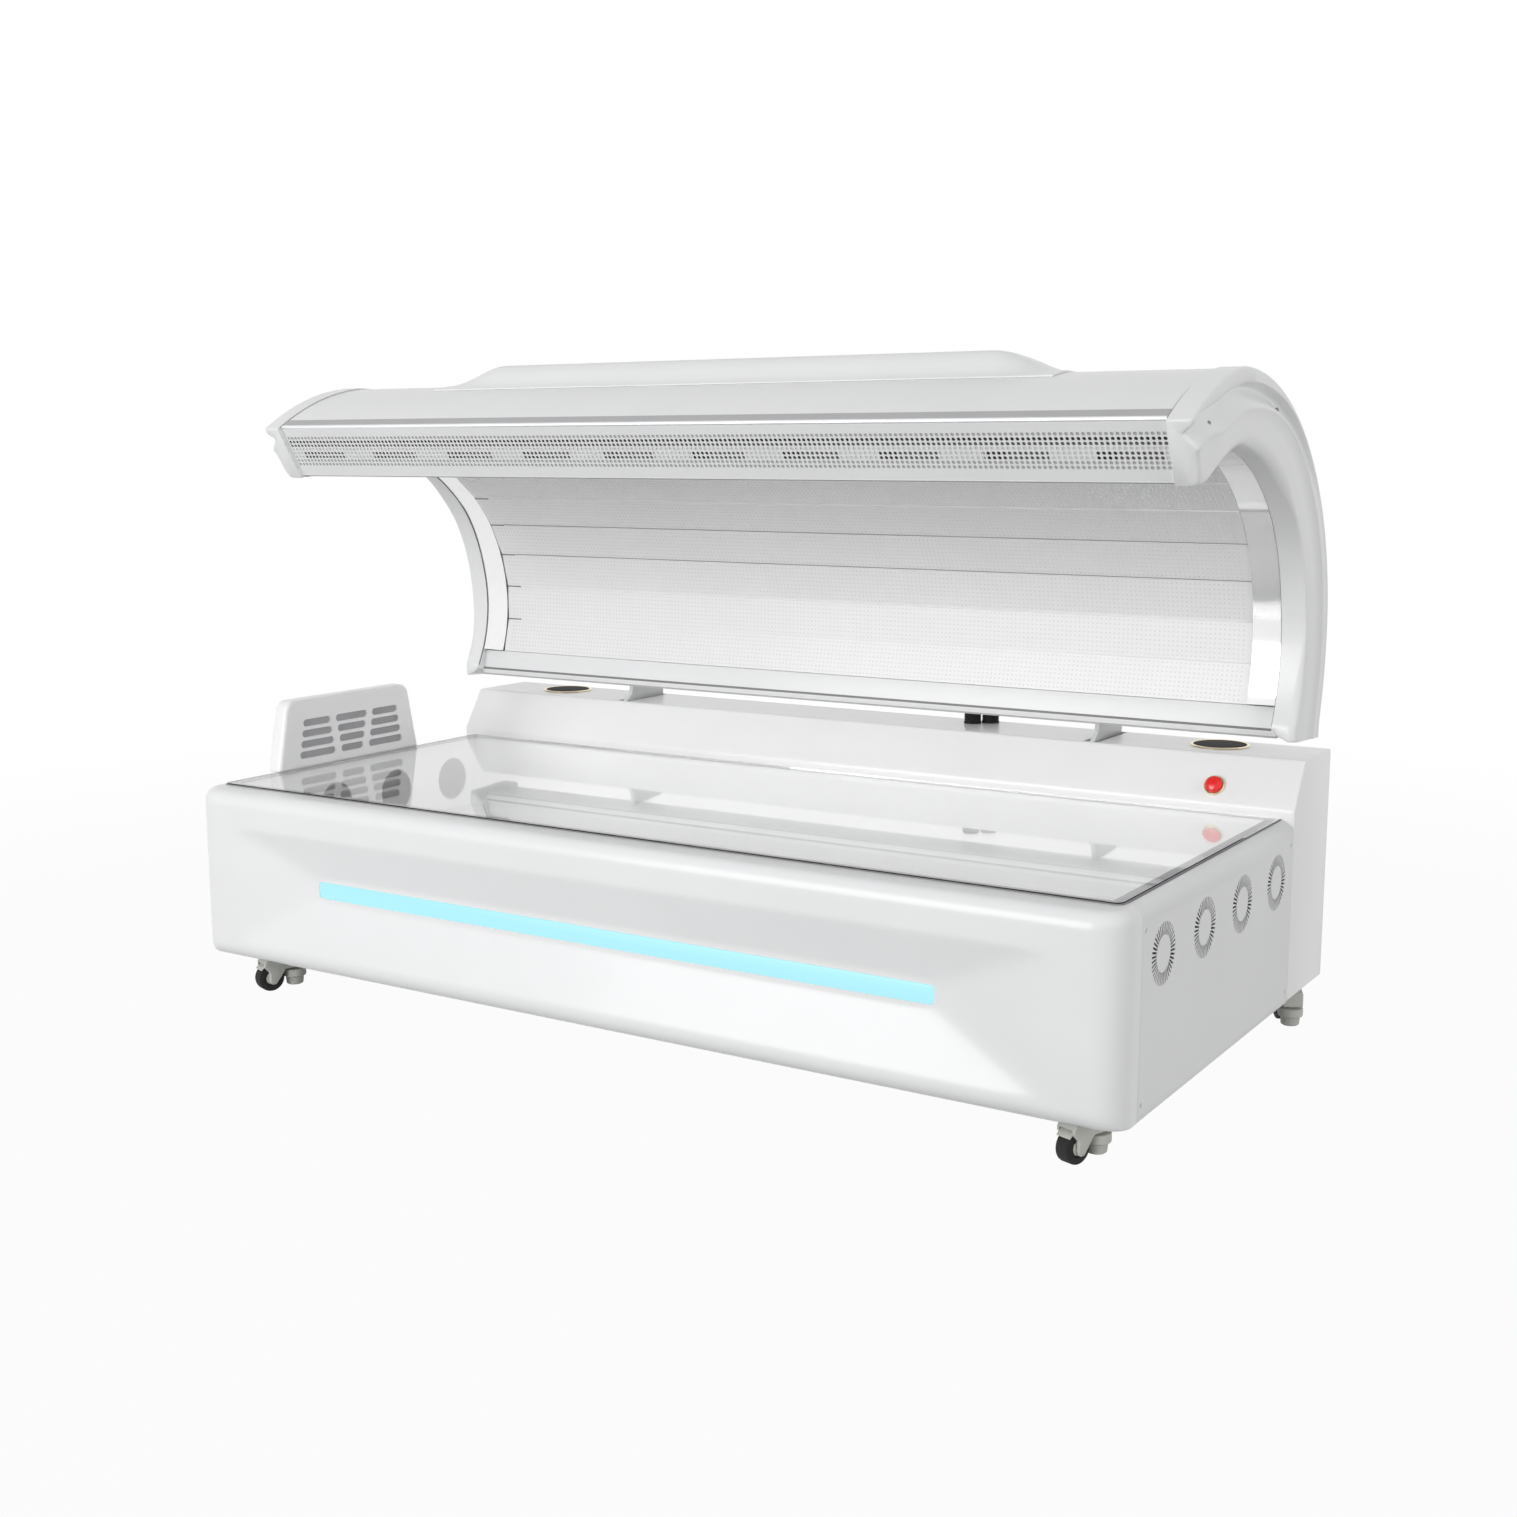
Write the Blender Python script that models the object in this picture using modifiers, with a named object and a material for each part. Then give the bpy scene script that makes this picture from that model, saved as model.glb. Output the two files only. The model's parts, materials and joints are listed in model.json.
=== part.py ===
"""Red light therapy bed: a hinged LED canopy over a clear lying sheet, on levelling casters.

Metres, +Z up. X runs along the bed, people get in from the -Y side, and the floor is Z = 0.
The canopy is modelled open, as it stands when somebody is about to lie down.
"""
import math

import bmesh
import bpy
from mathutils import Matrix, Vector

# Overall base
BED_LENGTH = 2.200
BED_DEPTH = 1.157
BASE_BOTTOM = 0.100
BED_TOP_HEIGHT = 0.482
DECK_HEIGHT = 0.5935
SKIN = 0.004
FIT = 0.0003

# Front fascia with its tray-shaped recess and light bar
FASCIA_DEPTH = 0.089
FASCIA_WALL = 0.005
FASCIA_CORNER = 0.065
FASCIA_RADIUS = 0.032
RIM_STEP = 0.004
RECESS_END_INSET = 0.130
RECESS_RISE = 0.040
RECESS_DROP = 0.078
RECESS_DEPTH = 0.030
LIGHT_BAR_END_INSET = 0.354
LIGHT_BAR_HEIGHT = 0.036
LIGHT_BAR_RISE = 0.1425
LIGHT_BAR_THICKNESS = 0.016
LIGHT_BAR_CORNER = 0.009

# Clear sheet, its seal and the tub below
SHEET_END_INSET = 0.030
SHEET_FRONT_INSET = 0.067
SHEET_THICKNESS = 0.010
SHEET_CORNER = 0.015
SEAL_LIP = 0.003
SEAL_BED = 0.0020
SEAL_WIDTH = 0.026
TUB_END_INSET = 0.038
TUB_FRONT_INSET = 0.0745
TUB_REAR_GAP = 0.0065
FLOOR_LIP = 0.006
RIB_SPACING = 0.600
LED_TRAY_RISE = 0.180
LED_TRAY_THICKNESS = 0.015
LED_TRAY_BOARDS = 8
LED_TRAY_GROOVE = 0.004

# Rear console; places on it are measured from the bed's end and from its back
CONSOLE_DEPTH = 0.242
DECK_DEPTH = 0.181
NOSE_RISE = 0.016
REAR_PANEL_THICKNESS = 0.003
REAR_PANEL_INSET = 0.004
SPEAKER_END_INSET = 0.215
SPEAKER_REAR_INSET = 0.078
SPEAKER_FLANGE_RADIUS = 0.0625
SPEAKER_BODY_RADIUS = 0.0525
SPEAKER_BODY_DEPTH = 0.045
BOOT_RADIUS = 0.020
BOOT_HEIGHT = 0.036
BOOT_PLACES = ((0.290, 0.0605), (0.322, 0.0325))
BUTTON_END_INSET = 0.175
BUTTON_SHARE = 0.3455
BUTTON_RADIUS = 0.0185
BUTTON_TRAVEL = 0.004
BUTTON_STEM_RADIUS = 0.010
BEZEL_RADIUS = 0.022
BEZEL_HEIGHT = 0.007
SUPPLY_SIZE = (0.340, 0.150, 0.085)
SUPPLY_X = -0.150
SUPPLY_REAR_INSET = 0.1185
INLET_SIZE = (0.050, 0.030)
INLET_END_INSET = 0.180
INLET_RISE = 0.120
INLET_BODY_DEPTH = 0.025

# End panel vents and the fans behind the right-hand end
VENT_COUNT = 4
VENT_PITCH = 0.2066
VENT_DROP = 0.106
VENT_OUTER_RADIUS = 0.056
VENT_INNER_RADIUS = 0.033
VENT_SLOTS = 16
VENT_SLOT_WIDTH = 0.005
FAN_SIZE = 0.119
FAN_THICKNESS = 0.025
FAN_WEB = 0.004
FAN_HUB_RADIUS = 0.018
FAN_HUB_LENGTH = 0.017
FAN_BLADES = 5
FAN_BLADE_CHORD = 0.024
FAN_BLADE_THICKNESS = 0.0025
FAN_BLADE_PITCH = math.radians(35)
FAN_TIP_CLEARANCE = 0.003
FAN_SPOKE_WIDTH = 0.006

# Air hood at the left-hand end, in a notch of the sheet
HOOD_SETBACK = 0.4605
HOOD_FOOT_WIDTH = 0.468
HOOD_TOP_WIDTH = 0.412
HOOD_HEIGHT = 0.163
HOOD_THICKNESS = 0.0405
HOOD_CORNER = 0.030
HOOD_WALL = 0.004
HOOD_ROWS = 4
HOOD_ROW_PITCH = 0.025
HOOD_FIRST_ROW = 0.031
HOOD_SLOT_HEIGHT = 0.017
HOOD_SLOT_SHIFT = 0.0035
HOOD_SIDE_SLOT_OUTER = (0.171, 0.157)
HOOD_SIDE_SLOT_INNER = (0.056, 0.070)
HOOD_MIDDLE_SLOT_HALF = (0.037, 0.052)

# Canopy section, seen along X; its places are measured from the hinge axis and up from the deck
CAP_WIDTH = 0.050
CAP_PROUD = 0.003
CAP_WALL = 0.006
CAP_LIP = 0.030
CAP_CORE = 0.070
TRIM_WIDTH = 0.072
TRIM_THICKNESS = 0.003
SHELL_CENTRE_AT = (-0.520, 0.2545)
SHELL_REACH = 0.5685
SHELL_RISE = 0.514
SHELL_FALL = 0.620
SHELL_LOW_AT = 0.0665
SHELL_NOSE_AT = (-0.7755, 0.6795)
SHELL_PULL_AT = (-0.650, 0.7565)
LED_CENTRE_AT = (-0.5365, 0.2355)
LED_REACH = 0.4645
LED_RISE = 0.400
LED_START = math.radians(-18.2)
LED_STEP = math.radians(12.1)
LED_PANELS = 5
LED_BOARDS_PER_PANEL = 2
LED_THICKNESS = 0.014
GRILLE_FOOT_AT = (-0.7135, 0.5685)
GRILLE_THICKNESS = 0.004
RAIL_FRONT_AT = -0.103
RAIL_REAR_AT = 0.010
RAIL_BOTTOM_AT = 0.0465
RAIL_HEIGHT = 0.014
COVER_END_INSET = 0.345
COVER_END_RAMP = 0.155
COVER_FRONT_RAMP = 0.075
COVER_REAR_RAMP = 0.110
COVER_HEIGHT = 0.045
COVER_SKIN = 0.0035
COVER_COLUMNS = 16
REAR_STEPS = 3
BACK_STEPS = 20
BROW_STEPS = 8
LIP_STEPS = 18

# How an end cap flares, from its seam to its end: share of its width, lip drawn back, rim drawn in
CAP_FLARE = ((0.0, 0.0, 0.0), (0.3, 0.012, 0.0), (0.6, 0.035, 0.0), (0.8, 0.060, 0.002), (1.0, 0.095, 0.010))

# Hinge, arms and lift struts
HINGE_END_INSET = 0.470
HINGE_REAR_INSET = 0.1185
HINGE_DROP = 0.0235
ARM_THICKNESS = 0.010
ARM_BOSS_RADIUS = 0.014
ARM_BOSS_WIDTH = 0.031
PIN_RADIUS = 0.008
PIN_HEAD_RADIUS = 0.012
PIN_HEAD_LENGTH = 0.004
CHEEK_THICKNESS = 0.007
CHEEK_AHEAD = 0.028
CHEEK_BEHIND = 0.030
WEB_DROP = 0.040
SLOT_WIDTH = 0.036
SLOT_FRONT_INSET = 0.0045
SLOT_REAR_INSET = 0.008
LUG_REACH = 0.055
LUG_RADIUS = 0.012
LUG_WIDTH = 0.020
STRUT_AHEAD = 0.048
STRUT_TUBE_DROP = 0.130
STRUT_TUBE_RADIUS = 0.014
STRUT_FOOT_RADIUS = 0.020
STRUT_FOOT_HEIGHT = 0.006
STRUT_ROD_RADIUS = 0.006
STRUT_ROD_DEPTH = 0.120
STRUT_PAD_RADIUS = 0.018
STRUT_PAD_HEIGHT = 0.006
STRUT_PAD_CLEARANCE = 0.0018

# Levelling casters: each pair's swivel axes, in from the end and the edge, and how they are turned
FRONT_CASTER_INSETS = (0.112, 0.1305)
FRONT_CASTER_TURN = math.radians(-19)
REAR_CASTER_INSETS = (0.056, 0.056)
REAR_CASTER_TURN = math.radians(-147)
WHEEL_RADIUS = 0.031
WHEEL_WIDTH = 0.029
WHEEL_SIDES = 20
WHEEL_TRAIL = 0.026
WHEEL_CLEARANCE = 0.005
AXLE_RADIUS = 0.004
HOUSING_WIDTH = 0.043
TURNTABLE_RADIUS = 0.032
FOOT_OFFSET = 0.035
FOOT_RADIUS = 0.020
FOOT_RING_RADIUS = 0.025
FOOT_STEM_RADIUS = 0.006
FOOT_LIFT = 0.006

# Base places worked out from the sizes above
HALF = BED_LENGTH / 2
FRONT = -BED_DEPTH / 2
REAR = BED_DEPTH / 2
FASCIA_SEAM = FRONT + FASCIA_DEPTH
RIM_TOP = BED_TOP_HEIGHT - RIM_STEP
RECESS_BOTTOM = BASE_BOTTOM + RECESS_RISE
RECESS_TOP = RIM_TOP - RECESS_DROP
RECESS_HALF = HALF - RECESS_END_INSET
LIGHT_BAR_HALF = HALF - LIGHT_BAR_END_INSET
LIGHT_BAR_CENTRE = RECESS_BOTTOM + LIGHT_BAR_RISE
SHEET_HALF = HALF - SHEET_END_INSET
SHEET_FRONT = FRONT + SHEET_FRONT_INSET
SHEET_BOTTOM = BED_TOP_HEIGHT - SHEET_THICKNESS
SEAL_TOP = BED_TOP_HEIGHT - SEAL_BED
EDGE_ROLL = SHEET_END_INSET - SEAL_LIP - 2 * FIT
NOSE_Y = REAR - CONSOLE_DEPTH
NOSE_HEIGHT = BED_TOP_HEIGHT + NOSE_RISE
DECK_FRONT = REAR - DECK_DEPTH
TUB_HALF = HALF - TUB_END_INSET
TUB_FRONT = FRONT + TUB_FRONT_INSET
TUB_REAR = NOSE_Y - TUB_REAR_GAP
TUB_RIM = SHEET_BOTTOM - FIT - SEAL_BED - FIT
LED_TRAY_HEIGHT = BASE_BOTTOM + LED_TRAY_RISE
FLOOR_TOP = BASE_BOTTOM + SKIN
FLOOR_FRONT = TUB_FRONT - FLOOR_LIP
PANEL_REAR = REAR - REAR_PANEL_INSET
PANEL_FRONT = PANEL_REAR - REAR_PANEL_THICKNESS
SPEAKER_X = HALF - SPEAKER_END_INSET
SPEAKER_Y = REAR - SPEAKER_REAR_INSET
INLET_PLACE = (INLET_END_INSET - HALF, BASE_BOTTOM + INLET_RISE)
VENT_HEIGHT = RIM_TOP - VENT_DROP
VENT_MIDDLE = (FASCIA_SEAM + NOSE_Y) / 2
VENT_PLACES = [VENT_MIDDLE + (i - (VENT_COUNT - 1) / 2) * VENT_PITCH for i in range(VENT_COUNT)]
HOOD_CENTRE_Y = NOSE_Y - HOOD_SETBACK
HOOD_BACK = -HALF + SKIN / 2
HOOD_FACE = HOOD_BACK + HOOD_THICKNESS
HOOD_LOW = SEAL_TOP + FIT
WHEEL_HEIGHT = WHEEL_RADIUS * math.cos(math.pi / WHEEL_SIDES)

# Hinge and canopy places
HINGE_X = HALF - HINGE_END_INSET
HINGE_Y = REAR - HINGE_REAR_INSET
HINGE_Z = DECK_HEIGHT - HINGE_DROP
CHEEK_FRONT = HINGE_Y - CHEEK_AHEAD
CHEEK_REAR = HINGE_Y + CHEEK_BEHIND
STRUT_Y = HINGE_Y - STRUT_AHEAD
STRUT_TUBE_TOP = HINGE_Z - STRUT_TUBE_DROP
CAP_SEAM = HALF - CAP_WIDTH
TRIM_INNER = CAP_SEAM - TRIM_WIDTH
LED_END = LED_START + LED_PANELS * LED_BOARDS_PER_PANEL * LED_STEP
SHELL_LOW = DECK_HEIGHT + SHELL_LOW_AT
RAIL_FRONT = HINGE_Y + RAIL_FRONT_AT
RAIL_REAR = HINGE_Y + RAIL_REAR_AT
RAIL_BOTTOM = DECK_HEIGHT + RAIL_BOTTOM_AT


def canopy_place(offset):
    """Place in the canopy's section, from its distance to the hinge axis and its height over the deck."""
    return (HINGE_Y + offset[0], DECK_HEIGHT + offset[1])


SHELL_CENTRE = canopy_place(SHELL_CENTRE_AT)
SHELL_NOSE = canopy_place(SHELL_NOSE_AT)
SHELL_PULL = canopy_place(SHELL_PULL_AT)
LED_CENTRE = canopy_place(LED_CENTRE_AT)
GRILLE_FOOT = canopy_place(GRILLE_FOOT_AT)

# Finish of each group of pieces: colour, roughness, metallic
FINISHES = {
    "white_gloss": ((0.86, 0.87, 0.87), 0.25, 0.0),
    "white_satin": ((0.80, 0.81, 0.81), 0.45, 0.0),
    "white_steel": ((0.78, 0.79, 0.79), 0.50, 0.0),
    "polished_aluminium": ((0.82, 0.83, 0.84), 0.12, 1.0),
    "clear_sheet": ((0.92, 0.95, 0.95), 0.05, 0.0),
    "dark_seal": ((0.10, 0.10, 0.11), 0.60, 0.0),
    "cyan_lens": ((0.45, 0.90, 1.00), 0.30, 0.0),
    "black_plastic": ((0.02, 0.02, 0.02), 0.45, 0.0),
    "black_rubber": ((0.015, 0.015, 0.015), 0.75, 0.0),
    "brass_bezel": ((0.78, 0.58, 0.25), 0.30, 1.0),
    "red_button": ((0.75, 0.03, 0.02), 0.20, 0.0),
    "zinc_steel": ((0.55, 0.56, 0.57), 0.35, 1.0),
    "caster_plastic": ((0.62, 0.63, 0.58), 0.50, 0.0),
}

# Map from an outline's own plane to the world, by the axis that it is extruded along
PLANES = {
    "X": Matrix(((0, 0, 1, 0), (1, 0, 0, 0), (0, 1, 0, 0), (0, 0, 0, 1))),
    "Y": Matrix(((1, 0, 0, 0), (0, 0, -1, 0), (0, 1, 0, 0), (0, 0, 0, 1))),
    "Z": Matrix.Identity(4),
}


def clear_scene():
    """Remove every object, so that the script can be run again."""
    for leftover in list(bpy.data.objects):
        bpy.data.objects.remove(leftover, do_unlink=True)


def new_collection(name):
    """Make a collection in the scene."""
    group = bpy.data.collections.new(name)
    bpy.context.scene.collection.children.link(group)
    return group


def material(name, finish):
    """Principled material of one piece."""
    colour, roughness, metallic = FINISHES[finish]
    made = bpy.data.materials.new(name)
    made.use_nodes = True
    shader = made.node_tree.nodes["Principled BSDF"]
    shader.inputs["Base Color"].default_value = (*colour, 1.0)
    shader.inputs["Roughness"].default_value = roughness
    shader.inputs["Metallic"].default_value = metallic
    made.diffuse_color = (*colour, 1.0)
    return made


def part(name, mesh, finish, parent=None):
    """Put a mesh in the parts collection as one named piece, in its parent's frame."""
    piece = bpy.data.objects.new(name, mesh)
    PARTS.objects.link(piece)
    if parent:
        piece.parent = parent
    if not mesh.materials:
        mesh.materials.append(material(name, finish))
    return piece


def helper(name, mesh):
    """A cutter or a building body, which is drawn as wire and never rendered."""
    body = bpy.data.objects.new(name, mesh)
    CUTTERS.objects.link(body)
    body.hide_render = True
    body.display_type = "WIRE"
    return body


def boolean(piece, operation, meshes):
    """Cut meshes from a piece, or join them to it, as one Boolean for each mesh."""
    for number, mesh in enumerate(meshes):
        body = helper(f"{piece.name}_{operation.lower()}_{len(piece.modifiers)}", mesh)
        body.parent = piece.parent
        body.matrix_basis = piece.matrix_basis
        step = piece.modifiers.new(f"{operation.lower()}_{number}", "BOOLEAN")
        step.operation = operation
        step.object = body
        step.solver = "EXACT"


def cut(piece, *meshes):
    """Cut meshes from a piece."""
    boolean(piece, "DIFFERENCE", meshes)


def join(piece, *meshes):
    """Join meshes to a piece."""
    boolean(piece, "UNION", meshes)


def bake(piece):
    """The mesh of a piece after its modifiers; the piece itself is removed."""
    bpy.context.view_layer.update()
    graph = bpy.context.evaluated_depsgraph_get()
    mesh = bpy.data.meshes.new_from_object(piece.evaluated_get(graph))
    bpy.data.objects.remove(piece, do_unlink=True)
    return mesh


def finish_mesh(bm, name="shape"):
    """Turn a closed bmesh into a mesh whose faces point out."""
    bmesh.ops.remove_doubles(bm, verts=bm.verts, dist=1e-6)
    bmesh.ops.recalc_face_normals(bm, faces=bm.faces)
    mesh = bpy.data.meshes.new(name)
    bm.to_mesh(mesh)
    bm.free()
    return mesh


def box(low, high):
    """Box between two corners."""
    bm = bmesh.new()
    size = Vector(high) - Vector(low)
    middle = (Vector(high) + Vector(low)) / 2
    place = Matrix.Translation(middle) @ Matrix.Diagonal((*size, 1.0))
    bmesh.ops.create_cube(bm, size=1.0, matrix=place)
    return finish_mesh(bm)


def rounded_box(low, high, radius, is_round, segments=3):
    """Box whose chosen edges are rounded; is_round gets each edge's two ends."""
    bm = bmesh.new()
    bm.from_mesh(box(low, high))
    edges = [edge for edge in bm.edges if is_round(edge.verts[0].co, edge.verts[1].co)]
    bmesh.ops.bevel(bm, geom=edges, offset=radius, segments=segments, profile=0.5, affect="EDGES")
    return finish_mesh(bm)


def merged(meshes):
    """Several separate meshes as one, for a cutter with many bodies."""
    bm = bmesh.new()
    for mesh in meshes:
        bm.from_mesh(mesh)
    return finish_mesh(bm)


def moved(mesh, matrix):
    """A mesh after a move or a turn."""
    mesh.transform(matrix)
    return mesh


def cylinder(radius, start, end, sides=20):
    """Round bar between two points."""
    bm = bmesh.new()
    run = Vector(end) - Vector(start)
    turn = Vector((0, 0, 1)).rotation_difference(run).to_matrix().to_4x4()
    place = Matrix.Translation((Vector(start) + Vector(end)) / 2) @ turn
    bmesh.ops.create_cone(bm, cap_ends=True, segments=sides, radius1=radius, radius2=radius,
                          depth=run.length, matrix=place)
    return finish_mesh(bm)


def extruded(outline, axis, low, high):
    """Flat outline drawn out along an axis from low to high."""
    curve = bpy.data.curves.new("outline", "CURVE")
    curve.dimensions = "2D"
    curve.fill_mode = "BOTH"
    curve.extrude = (high - low) / 2
    spline = curve.splines.new("POLY")
    spline.points.add(len(outline) - 1)
    for point, (across, up) in zip(spline.points, outline):
        point.co = (across, up, 0.0, 1.0)
    spline.use_cyclic_u = True
    flat = bpy.data.objects.new("outline", curve)
    CUTTERS.objects.link(flat)
    mesh = bake(flat)
    bpy.data.curves.remove(curve)
    # The Y plane looks along -Y, so its middle has the other sign
    middle = -(low + high) / 2 if axis == "Y" else (low + high) / 2
    mesh.transform(PLANES[axis] @ Matrix.Translation((0, 0, middle)))
    bm = bmesh.new()
    bm.from_mesh(mesh)
    return finish_mesh(bm)


def turned(profile, steps):
    """Profile of (radius, height) points spun about Z; a closed ring repeats its first point."""
    mesh = bpy.data.meshes.new("profile")
    corners = [(radius, 0.0, height) for radius, height in profile]
    mesh.from_pydata(corners, [(i, i + 1) for i in range(len(corners) - 1)], [])
    spun = bpy.data.objects.new("profile", mesh)
    CUTTERS.objects.link(spun)
    screw = spun.modifiers.new("spin", "SCREW")
    screw.steps = steps
    screw.render_steps = steps
    screw.use_merge_vertices = True
    screw.merge_threshold = 1e-5
    bm = bmesh.new()
    bm.from_mesh(bake(spun))
    return finish_mesh(bm)


def lofted(sections):
    """Closed body through closed loops of points that all have the same count."""
    bm = bmesh.new()
    loops = [[bm.verts.new(point) for point in section] for section in sections]
    for near, far in zip(loops, loops[1:]):
        for i in range(len(near)):
            bm.faces.new((near[i - 1], near[i], far[i], far[i - 1]))
    bm.faces.new(loops[0])
    bm.faces.new(loops[-1])
    return finish_mesh(bm)


def along_x(mesh, place):
    """A mesh that was made about Z, laid along X at a place."""
    return moved(mesh, Matrix.Translation(place) @ Matrix.Rotation(math.pi / 2, 4, "Y"))


def mitres(path):
    """Unit offset direction at each point of an open path, lengthened at its corners."""
    points = [Vector(point) for point in path]
    sides = []
    for start, end in zip(points, points[1:]):
        run = (end - start).normalized()
        sides.append(Vector((-run.y, run.x)))
    found = [sides[0]]
    for before, after in zip(sides, sides[1:]):
        found.append((before + after) / (1 + before.dot(after)))
    found.append(sides[-1])
    return found


def offset_path(path, distance):
    """Open path moved to its left by a distance."""
    return [tuple(Vector(point) + side * distance) for point, side in zip(path, mitres(path))]


def strip(path, thickness):
    """Closed outline of a sheet that follows an open path, thick to the path's left."""
    return list(path) + list(reversed(offset_path(path, thickness)))


def inset(outline, distance):
    """Closed outline drawn in by a distance; the outline runs anticlockwise."""
    loop = [outline[-1], *outline, outline[0]]
    return offset_path(loop, distance)[1:-1]


def arc(centre, radius_a, radius_b, start, end, steps):
    """Points along an ellipse's arc."""
    angles = [start + (end - start) * i / steps for i in range(steps + 1)]
    return [(centre[0] + radius_a * math.cos(a), centre[1] + radius_b * math.sin(a)) for a in angles]


def smooth_step(value):
    """Rise from 0 to 1 with level ends."""
    value = min(max(value, 0.0), 1.0)
    return value * value * (3 - 2 * value)


def pivot(name, place, turn=0.0):
    """Empty on a joint's axis, which carries what moves there."""
    empty = bpy.data.objects.new(name, None)
    empty.empty_display_size = 0.05
    empty.location = place
    empty.rotation_euler = (0, 0, turn)
    PARTS.objects.link(empty)
    return empty


def to_pivot(mesh, place):
    """A mesh written in world places, moved into the frame of a pivot that isn't turned."""
    return moved(mesh, Matrix.Translation(-Vector(place)))


def base_frame():
    """Floor pan with the white tub that the sheet lies on, and the ribs inside it."""
    floor_half = HALF - FASCIA_WALL - FIT
    piece = part("base_frame", box((-floor_half, FLOOR_FRONT, BASE_BOTTOM),
                                   (floor_half, PANEL_FRONT - FIT, FLOOR_TOP)), "white_steel")
    sunk = BASE_BOTTOM + SKIN / 2
    tub = box((-TUB_HALF, TUB_FRONT, sunk), (TUB_HALF, TUB_REAR, TUB_RIM))
    hollow = box((-TUB_HALF + SKIN, TUB_FRONT + SKIN, FLOOR_TOP),
                 (TUB_HALF - SKIN, TUB_REAR - SKIN, TUB_RIM + SKIN))
    vents = [cylinder(VENT_OUTER_RADIUS - SKIN / 2, (side * (TUB_HALF - 2 * SKIN), y, VENT_HEIGHT),
                      (side * (TUB_HALF + SKIN), y, VENT_HEIGHT), 16)
             for side in (-1, 1) for y in VENT_PLACES]
    ribs = [box((x - SKIN / 2, TUB_FRONT + SKIN / 2, sunk),
                (x + SKIN / 2, TUB_REAR - SKIN / 2, LED_TRAY_HEIGHT))
            for x in (-RIB_SPACING, 0.0, RIB_SPACING)]
    join(piece, tub)
    cut(piece, hollow, merged(vents))
    join(piece, *ribs)


def fascia_section(height, wall):
    """Fascia seen from above at one height: round front corners, edges rolled in, drawn in by a wall."""
    def rolled(radius, rise):
        rest = max(radius - rise, 0.0)
        return radius - math.sqrt(max(radius ** 2 - rest ** 2, 0.0))

    below = height - BASE_BOTTOM - wall
    above = RIM_TOP - wall - height
    front = FRONT + wall + rolled(FASCIA_RADIUS - wall, min(below, above))
    half = HALF - wall - rolled(EDGE_ROLL - wall, above)
    depth = FRONT + FASCIA_CORNER - front
    width = FASCIA_CORNER - wall
    back = FASCIA_SEAM + wall if wall else FASCIA_SEAM - FIT
    right = arc((half - width, front + depth), width, depth, -math.pi / 2, 0.0, 6)
    left = [(-x, y) for x, y in reversed(right)]
    return [(x, y, height) for x, y in (*right, (half, back), (-half, back), *left)]


def fascia_body(wall):
    """Fascia's outer body, or its hollow where a wall is given."""
    rise = [(FASCIA_RADIUS - wall) * (1 - math.sin(math.pi / 6 * step)) for step in range(3, -1, -1)]
    low, high = BASE_BOTTOM + wall, RIM_TOP - wall
    heights = [low + step for step in rise] + [high - step for step in reversed(rise)]
    return lofted([fascia_section(height, wall) for height in heights])


def front_fascia():
    """Moulded front with rounded edges, a sunk tray and the light bar's window."""
    wall = FASCIA_WALL
    piece = part("front_fascia", fascia_body(0.0), "white_gloss")
    seal_half = SHEET_HALF + SEAL_LIP
    seat = box((-seal_half - FIT, SHEET_FRONT - SEAL_LIP - FIT, TUB_RIM - wall),
               (seal_half + FIT, FASCIA_SEAM + wall, RIM_TOP + wall))
    underside = box((-HALF + wall, FLOOR_FRONT - FIT, BASE_BOTTOM - wall),
                    (HALF - wall, FASCIA_SEAM + wall, BASE_BOTTOM + 2 * wall))
    cut(piece, fascia_body(wall), seat, underside)
    join(piece, recess_body(wall, wall))
    cut(piece, recess_body(0.0, 0.0), light_bar_body(FIT, 2 * LIGHT_BAR_THICKNESS))


def recess_body(grow, deeper):
    """Tray-shaped body that narrows from the fascia's face to the light bar, grown by a wall."""
    half_length = RECESS_HALF + grow
    bar_half = LIGHT_BAR_HALF + grow + LIGHT_BAR_CORNER
    bar_low = LIGHT_BAR_CENTRE - LIGHT_BAR_HEIGHT / 2 - grow - LIGHT_BAR_CORNER
    bar_high = LIGHT_BAR_CENTRE + LIGHT_BAR_HEIGHT / 2 + grow + LIGHT_BAR_CORNER
    mouth = FRONT + grow / 2 if grow else FRONT
    back = FRONT + RECESS_DEPTH + deeper
    bm = bmesh.new()
    bm.from_mesh(box((-half_length, mouth, RECESS_BOTTOM - grow), (half_length, back, RECESS_TOP + grow)))
    for corner in bm.verts:
        if corner.co.y > (mouth + back) / 2:
            corner.co.x = math.copysign(bar_half, corner.co.x)
            corner.co.z = bar_low if corner.co.z < LIGHT_BAR_CENTRE else bar_high
        elif not grow:
            corner.co.y -= FIT
    return finish_mesh(bm)


def light_bar_body(grow, thickness):
    """Round-cornered bar along X at the bottom of the tray."""
    def end_edge(a, b):
        return abs(a.x - b.x) < 1e-6 and abs(a.z - b.z) < 1e-6

    face = FRONT + RECESS_DEPTH - grow
    half = LIGHT_BAR_HALF + grow
    low = LIGHT_BAR_CENTRE - LIGHT_BAR_HEIGHT / 2 - grow
    high = LIGHT_BAR_CENTRE + LIGHT_BAR_HEIGHT / 2 + grow
    return rounded_box((-half, face, low), (half, face + thickness, high), LIGHT_BAR_CORNER + grow, end_edge)


def light_bar():
    """Cyan light bar in the fascia's window."""
    part("light_bar", light_bar_body(0.0, LIGHT_BAR_THICKNESS), "cyan_lens")


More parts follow.
